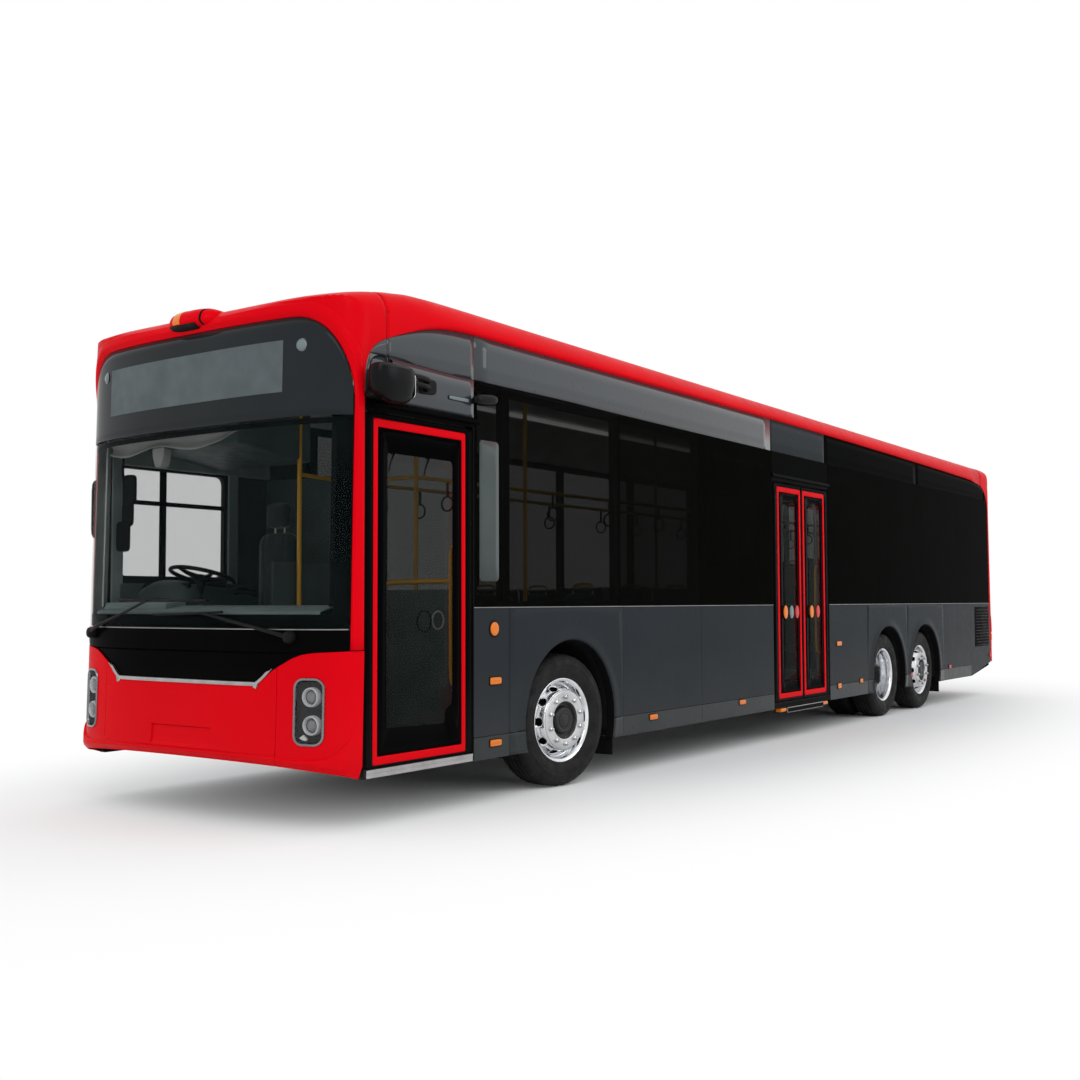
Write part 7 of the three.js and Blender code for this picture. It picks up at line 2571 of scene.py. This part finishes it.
def housing(name, s0, s1, half, stands, dents):
    # a lid as a height field: rounded edges, shallow seams across, and whatever dents the unit has
    s = np.unique(np.concatenate([np.linspace(s0, s1, 150), s0 + np.array([0.005, 0.015, 0.03, 0.05]),
                                  s1 - np.array([0.005, 0.015, 0.03, 0.05])]))
    x = np.unique(np.concatenate([np.linspace(-half, half, 90), -half + np.array([0.005, 0.015, 0.03, 0.05]),
                                  half - np.array([0.005, 0.015, 0.03, 0.05])]))
    s, x = s[:, None], x[None]
    edge = np.minimum(np.minimum(s - s0, s1 - s), half - np.abs(x))
    near = np.clip(edge / roofUnits["edge"], 0, 1)
    z = roofUnits["base"] + (roofUnits["top"] - roofUnits["base"]) * np.sqrt(1 - (1 - near) ** 2)
    z = z - dents(s, x) * (near >= 1) - 0.020 * (x / half) ** 2 * near
    points = np.stack([x + 0 * s, along(s + 0 * x), z], -1)
    foot = np.concatenate([points[:, :1], points, points[:, -1:]], 1)
    foot[:, (0, -1), 2] -= 0.030
    foot = np.concatenate([foot[:1], foot, foot[-1:]], 0)
    foot[(0, -1), :, 2] = np.minimum(foot[(0, -1), :, 2], roofUnits["base"] - 0.030)
    return addSurface(name, foot, roofPaint, toward=(0, 0, 1), slot="roof_white", stands=(stands,), sharp=34)


def roofHousings():
    # two lids as height fields, with what is sunk into them, and the duct between them
    fans = [(s, x) for s in (9.30, 10.0, 10.7) for x in (-0.36, 0.36)]

    def acDents(s, x):
        deep = 0.010 * ((np.abs(s - 8.98) < 0.006) | (np.abs(s - 11.2) < 0.006))
        for fs, fx in fans:
            deep = deep + 0.028 * smoothStep((0.262 - np.hypot(s - fs, x - fx)) / 0.018)
        return deep

    housing("air_conditioner_lid", 8.70, 11.60, 0.80, "air_conditioner", acDents)
    parts = []
    for fs, fx in fans:
        centre = (fx, along(fs), roofUnits["top"] - 0.010 - 0.020 * (fx / 0.8) ** 2)
        for r in (0.238, 0.196, 0.154, 0.112, 0.070):
            parts.append(ringLoop("ring", centre, r, 0.0036, (0, 0, 1), satinBlack, 40))
        for k in range(6):
            a = k * np.pi / 3
            d = np.array([math.cos(a), math.sin(a), 0])
            parts.append(addTube("spoke", [centre + d * 0.03, centre + d * 0.14, centre + d * 0.245], 0.0036,
                                 satinBlack, 6))
        parts.append(addTurned("hub", [(0.045, -0.022), (0.045, 0.002), (0.038, 0.005), (0.0, 0.005)], centre,
                               (0, 0, 1), blackPlastic, 24))
        # a black disc at the bottom of each fan opening, painted shade
        parts.append(addTurned("pit", [(0.246, -0.0165), (0.12, -0.0168), (0.0, -0.017)], centre, (0, 0, 1),
                               blackPartsAndPaintedShade, 32))
    joined("air_conditioner_fans", parts)
    lids = [3.0 + 1.2 * k for k in range(5)]

    def batteryDents(s, x):
        deep = 0 * s * x
        for lidSeam in lids[1:-1]:
            deep = deep + 0.020 * (np.abs(s - lidSeam) < 0.016)
        inner = np.minimum(0.6 - np.abs((s - 3.0) % 1.2 - 0.6), 0.85 - np.abs(x))
        rib = (np.abs((x + 2.0) % 0.16 - 0.08) < 0.018) & (inner > 0.16)
        return deep + 0.006 * (inner > 0.14) - 0.006 * rib

    housing("battery_lids", 3.0, 7.8, 0.85, "roof_batteries", batteryDents)
    bolts = [(x, s) for k in range(4) for s in (lids[k] + 0.06, lids[k] + 0.6, lids[k + 1] - 0.06)
             for x in (-0.74, 0.74)]
    bolts += [(x, lids[k] + e) for k in range(4) for e in (0.065, 1.135) for x in (-0.25, 0.25)]
    heads = [addTurned("bolt", [(0.016, -0.004), (0.016, 0.0), (0.011, 0.0015), (0.011, 0.0035),
                                (0.0, 0.0035)],
                       (x, along(s), roofUnits["top"] - 0.0055 - 0.020 * (x / 0.85) ** 2 + 0.001), (0, 0, 1),
                       satinSteel, 12) for x, s in bolts]
    joined("battery_lid_bolts", heads)
    # duct between the units
    addBar("roof_cable_duct", [(-0.16, 3.255), (-0.13, 3.325), (0.13, 3.325), (0.16, 3.255)], "y",
           along(7.79), along(8.71), roofPaint, 0.012, 3,
           slot="roof_white")
    addBar("roof_rear_duct", [(-0.12, 3.215), (-0.10, 3.295), (0.10, 3.295), (0.12, 3.215)], "y",
           along(11.59), along(12.70), roofPaint, 0.012, 3,
           slot="roof_white")


roofHousings()
print("roof housings made")

# floor, light and camera

view = {"place": (6.2746, -11.779, 1.2736), "turn": (-0.57586, 0.81573, 0.05457), "rake": 0.0052,
        "roll": -0.0033,
        "lens": 41.24, "world": 0.95, "floor": 0.86}


def makeStage():
    # a pale flat floor about the object
    size = 60.0
    n = 13
    g = np.linspace(-size, size, n)
    points = np.stack(np.meshgrid(g, g, [0.0], indexing="ij"), -1)[:, :, 0]
    mesh = bpy.data.meshes.new("floor plane")
    mesh.from_pydata(points.reshape(-1, 3).tolist(), [], gridFaces(n, n).tolist())
    plane = bpy.data.objects.new("studio_floor", mesh)
    scene.collection.objects.link(plane)
    material, tree, shader = newMaterial("pale studio floor")
    mesh.materials.append(material)
    tint = ramp(tree, objectNoise(tree, 0.6, 4), [(0.3, (view["floor"] * 0.98,) * 3),
                                                  (0.7, (view["floor"],) * 3)])
    tree.links.new(tint, shader.inputs["Base Color"])
    shader.inputs["Roughness"].default_value = 0.9
    shader.inputs["Specular IOR Level"].default_value = 0.0
    glow = addNode(tree, "ShaderNodeEmission", Color=(1, 1, 1, 1), Strength=1.0)
    coords = tree.nodes.new("ShaderNodeTexCoord")
    length = addNode(tree, "ShaderNodeVectorMath", operation="LENGTH")
    stretch = addNode(tree, "ShaderNodeMapping", Scale=(1.0, 0.36, 1.0))
    tree.links.new(coords.outputs["Object"], stretch.inputs["Vector"])
    tree.links.new(stretch.outputs["Vector"], length.inputs[0])
    fade = addNode(tree, "ShaderNodeMapRange", interpolation_type="SMOOTHSTEP")
    for key, value in (("From Min", 1.6), ("From Max", 4.2), ("To Min", 0.0), ("To Max", 1.0)):
        fade.inputs[key].default_value = value
    tree.links.new(length.outputs["Value"], fade.inputs["Value"])
    rays = seenRays(tree)
    both = addNode(tree, "ShaderNodeMath", operation="MULTIPLY")
    tree.links.new(fade.outputs["Result"], both.inputs[0])
    tree.links.new(rays, both.inputs[1])
    mix = tree.nodes.new("ShaderNodeMixShader")
    tree.links.new(both.outputs["Value"], mix.inputs["Fac"])
    tree.links.new(shader.outputs[0], mix.inputs[1])
    tree.links.new(glow.outputs[0], mix.inputs[2])
    tree.links.new(mix.outputs[0], tree.nodes["Material Output"].inputs["Surface"])


def seenRays(tree):
    # 1 where a ray comes from the lens, a mirror or a pane
    path = tree.nodes.new("ShaderNodeLightPath")
    total = path.outputs["Is Camera Ray"]
    for name in ("Is Glossy Ray", "Is Transmission Ray"):
        add = addNode(tree, "ShaderNodeMath", operation="MAXIMUM")
        tree.links.new(total, add.inputs[0])
        tree.links.new(path.outputs[name], add.inputs[1])
        total = add.outputs["Value"]
    return total


def makeLight():
    # an even soft world and its lamps
    world = bpy.data.worlds.new("studio air")
    world.use_nodes = True
    scene.world = world
    tree = world.node_tree
    soft = tree.nodes["Background"]
    soft.inputs["Color"].default_value = (0.97, 0.985, 1.0, 1)
    soft.inputs["Strength"].default_value = view["world"]
    white = addNode(tree, "ShaderNodeBackground", Color=(1, 1, 1, 1), Strength=1.0)
    mix = tree.nodes.new("ShaderNodeMixShader")
    tree.links.new(seenRays(tree), mix.inputs["Fac"])
    tree.links.new(soft.outputs[0], mix.inputs[1])
    tree.links.new(white.outputs[0], mix.inputs[2])
    tree.links.new(mix.outputs[0], tree.nodes["World Output"].inputs["Surface"])
    for name, place, aim, size, power, colour in (
            ("key panel", (9, -14, 11), (0, -4, 1.5), 9, 500, (1, 0.99, 0.97)),
            ("side panel", (16, 3, 9), (1, 0, 1.5), 9, 350, (0.97, 0.99, 1))):
        lamp = bpy.data.lights.new(name, "AREA")
        lamp.shape = "DISK"
        lamp.size = size
        lamp.energy = power
        lamp.color = colour
        thing = bpy.data.objects.new(name, lamp)
        scene.collection.objects.link(thing)
        thing.location = place
        thing.rotation_euler = (Vector(aim) - Vector(place)).to_track_quat("-Z", "Y").to_euler()


def makeCamera():
    # a camera at its place, facing along its turn
    data = bpy.data.cameras.new("camera")
    data.lens = view["lens"]
    data.sensor_width = 36.0
    data.clip_end = 200
    camera = bpy.data.objects.new("camera", data)
    scene.collection.objects.link(camera)
    place, turn, rake = Vector(view["place"]), Vector(view["turn"]), view["rake"]
    place.z += rake * 10.969
    turn.z -= rake * turn.y
    turn.normalize()
    side = turn.cross(Vector((0, 0, 1))).normalized()
    up = side.cross(turn)
    c, s = math.cos(view["roll"]), math.sin(view["roll"])
    right, top = c * side + s * up, c * up - s * side
    camera.matrix_world = Matrix.Translation(place) @ Matrix((right, top, -turn)).transposed().to_4x4()
    scene.camera = camera


makeStage()
makeLight()
makeCamera()
scene.view_settings.view_transform = "Standard"
print("stage, light and camera made")

# the scene brought up to date

bpy.context.view_layer.update()
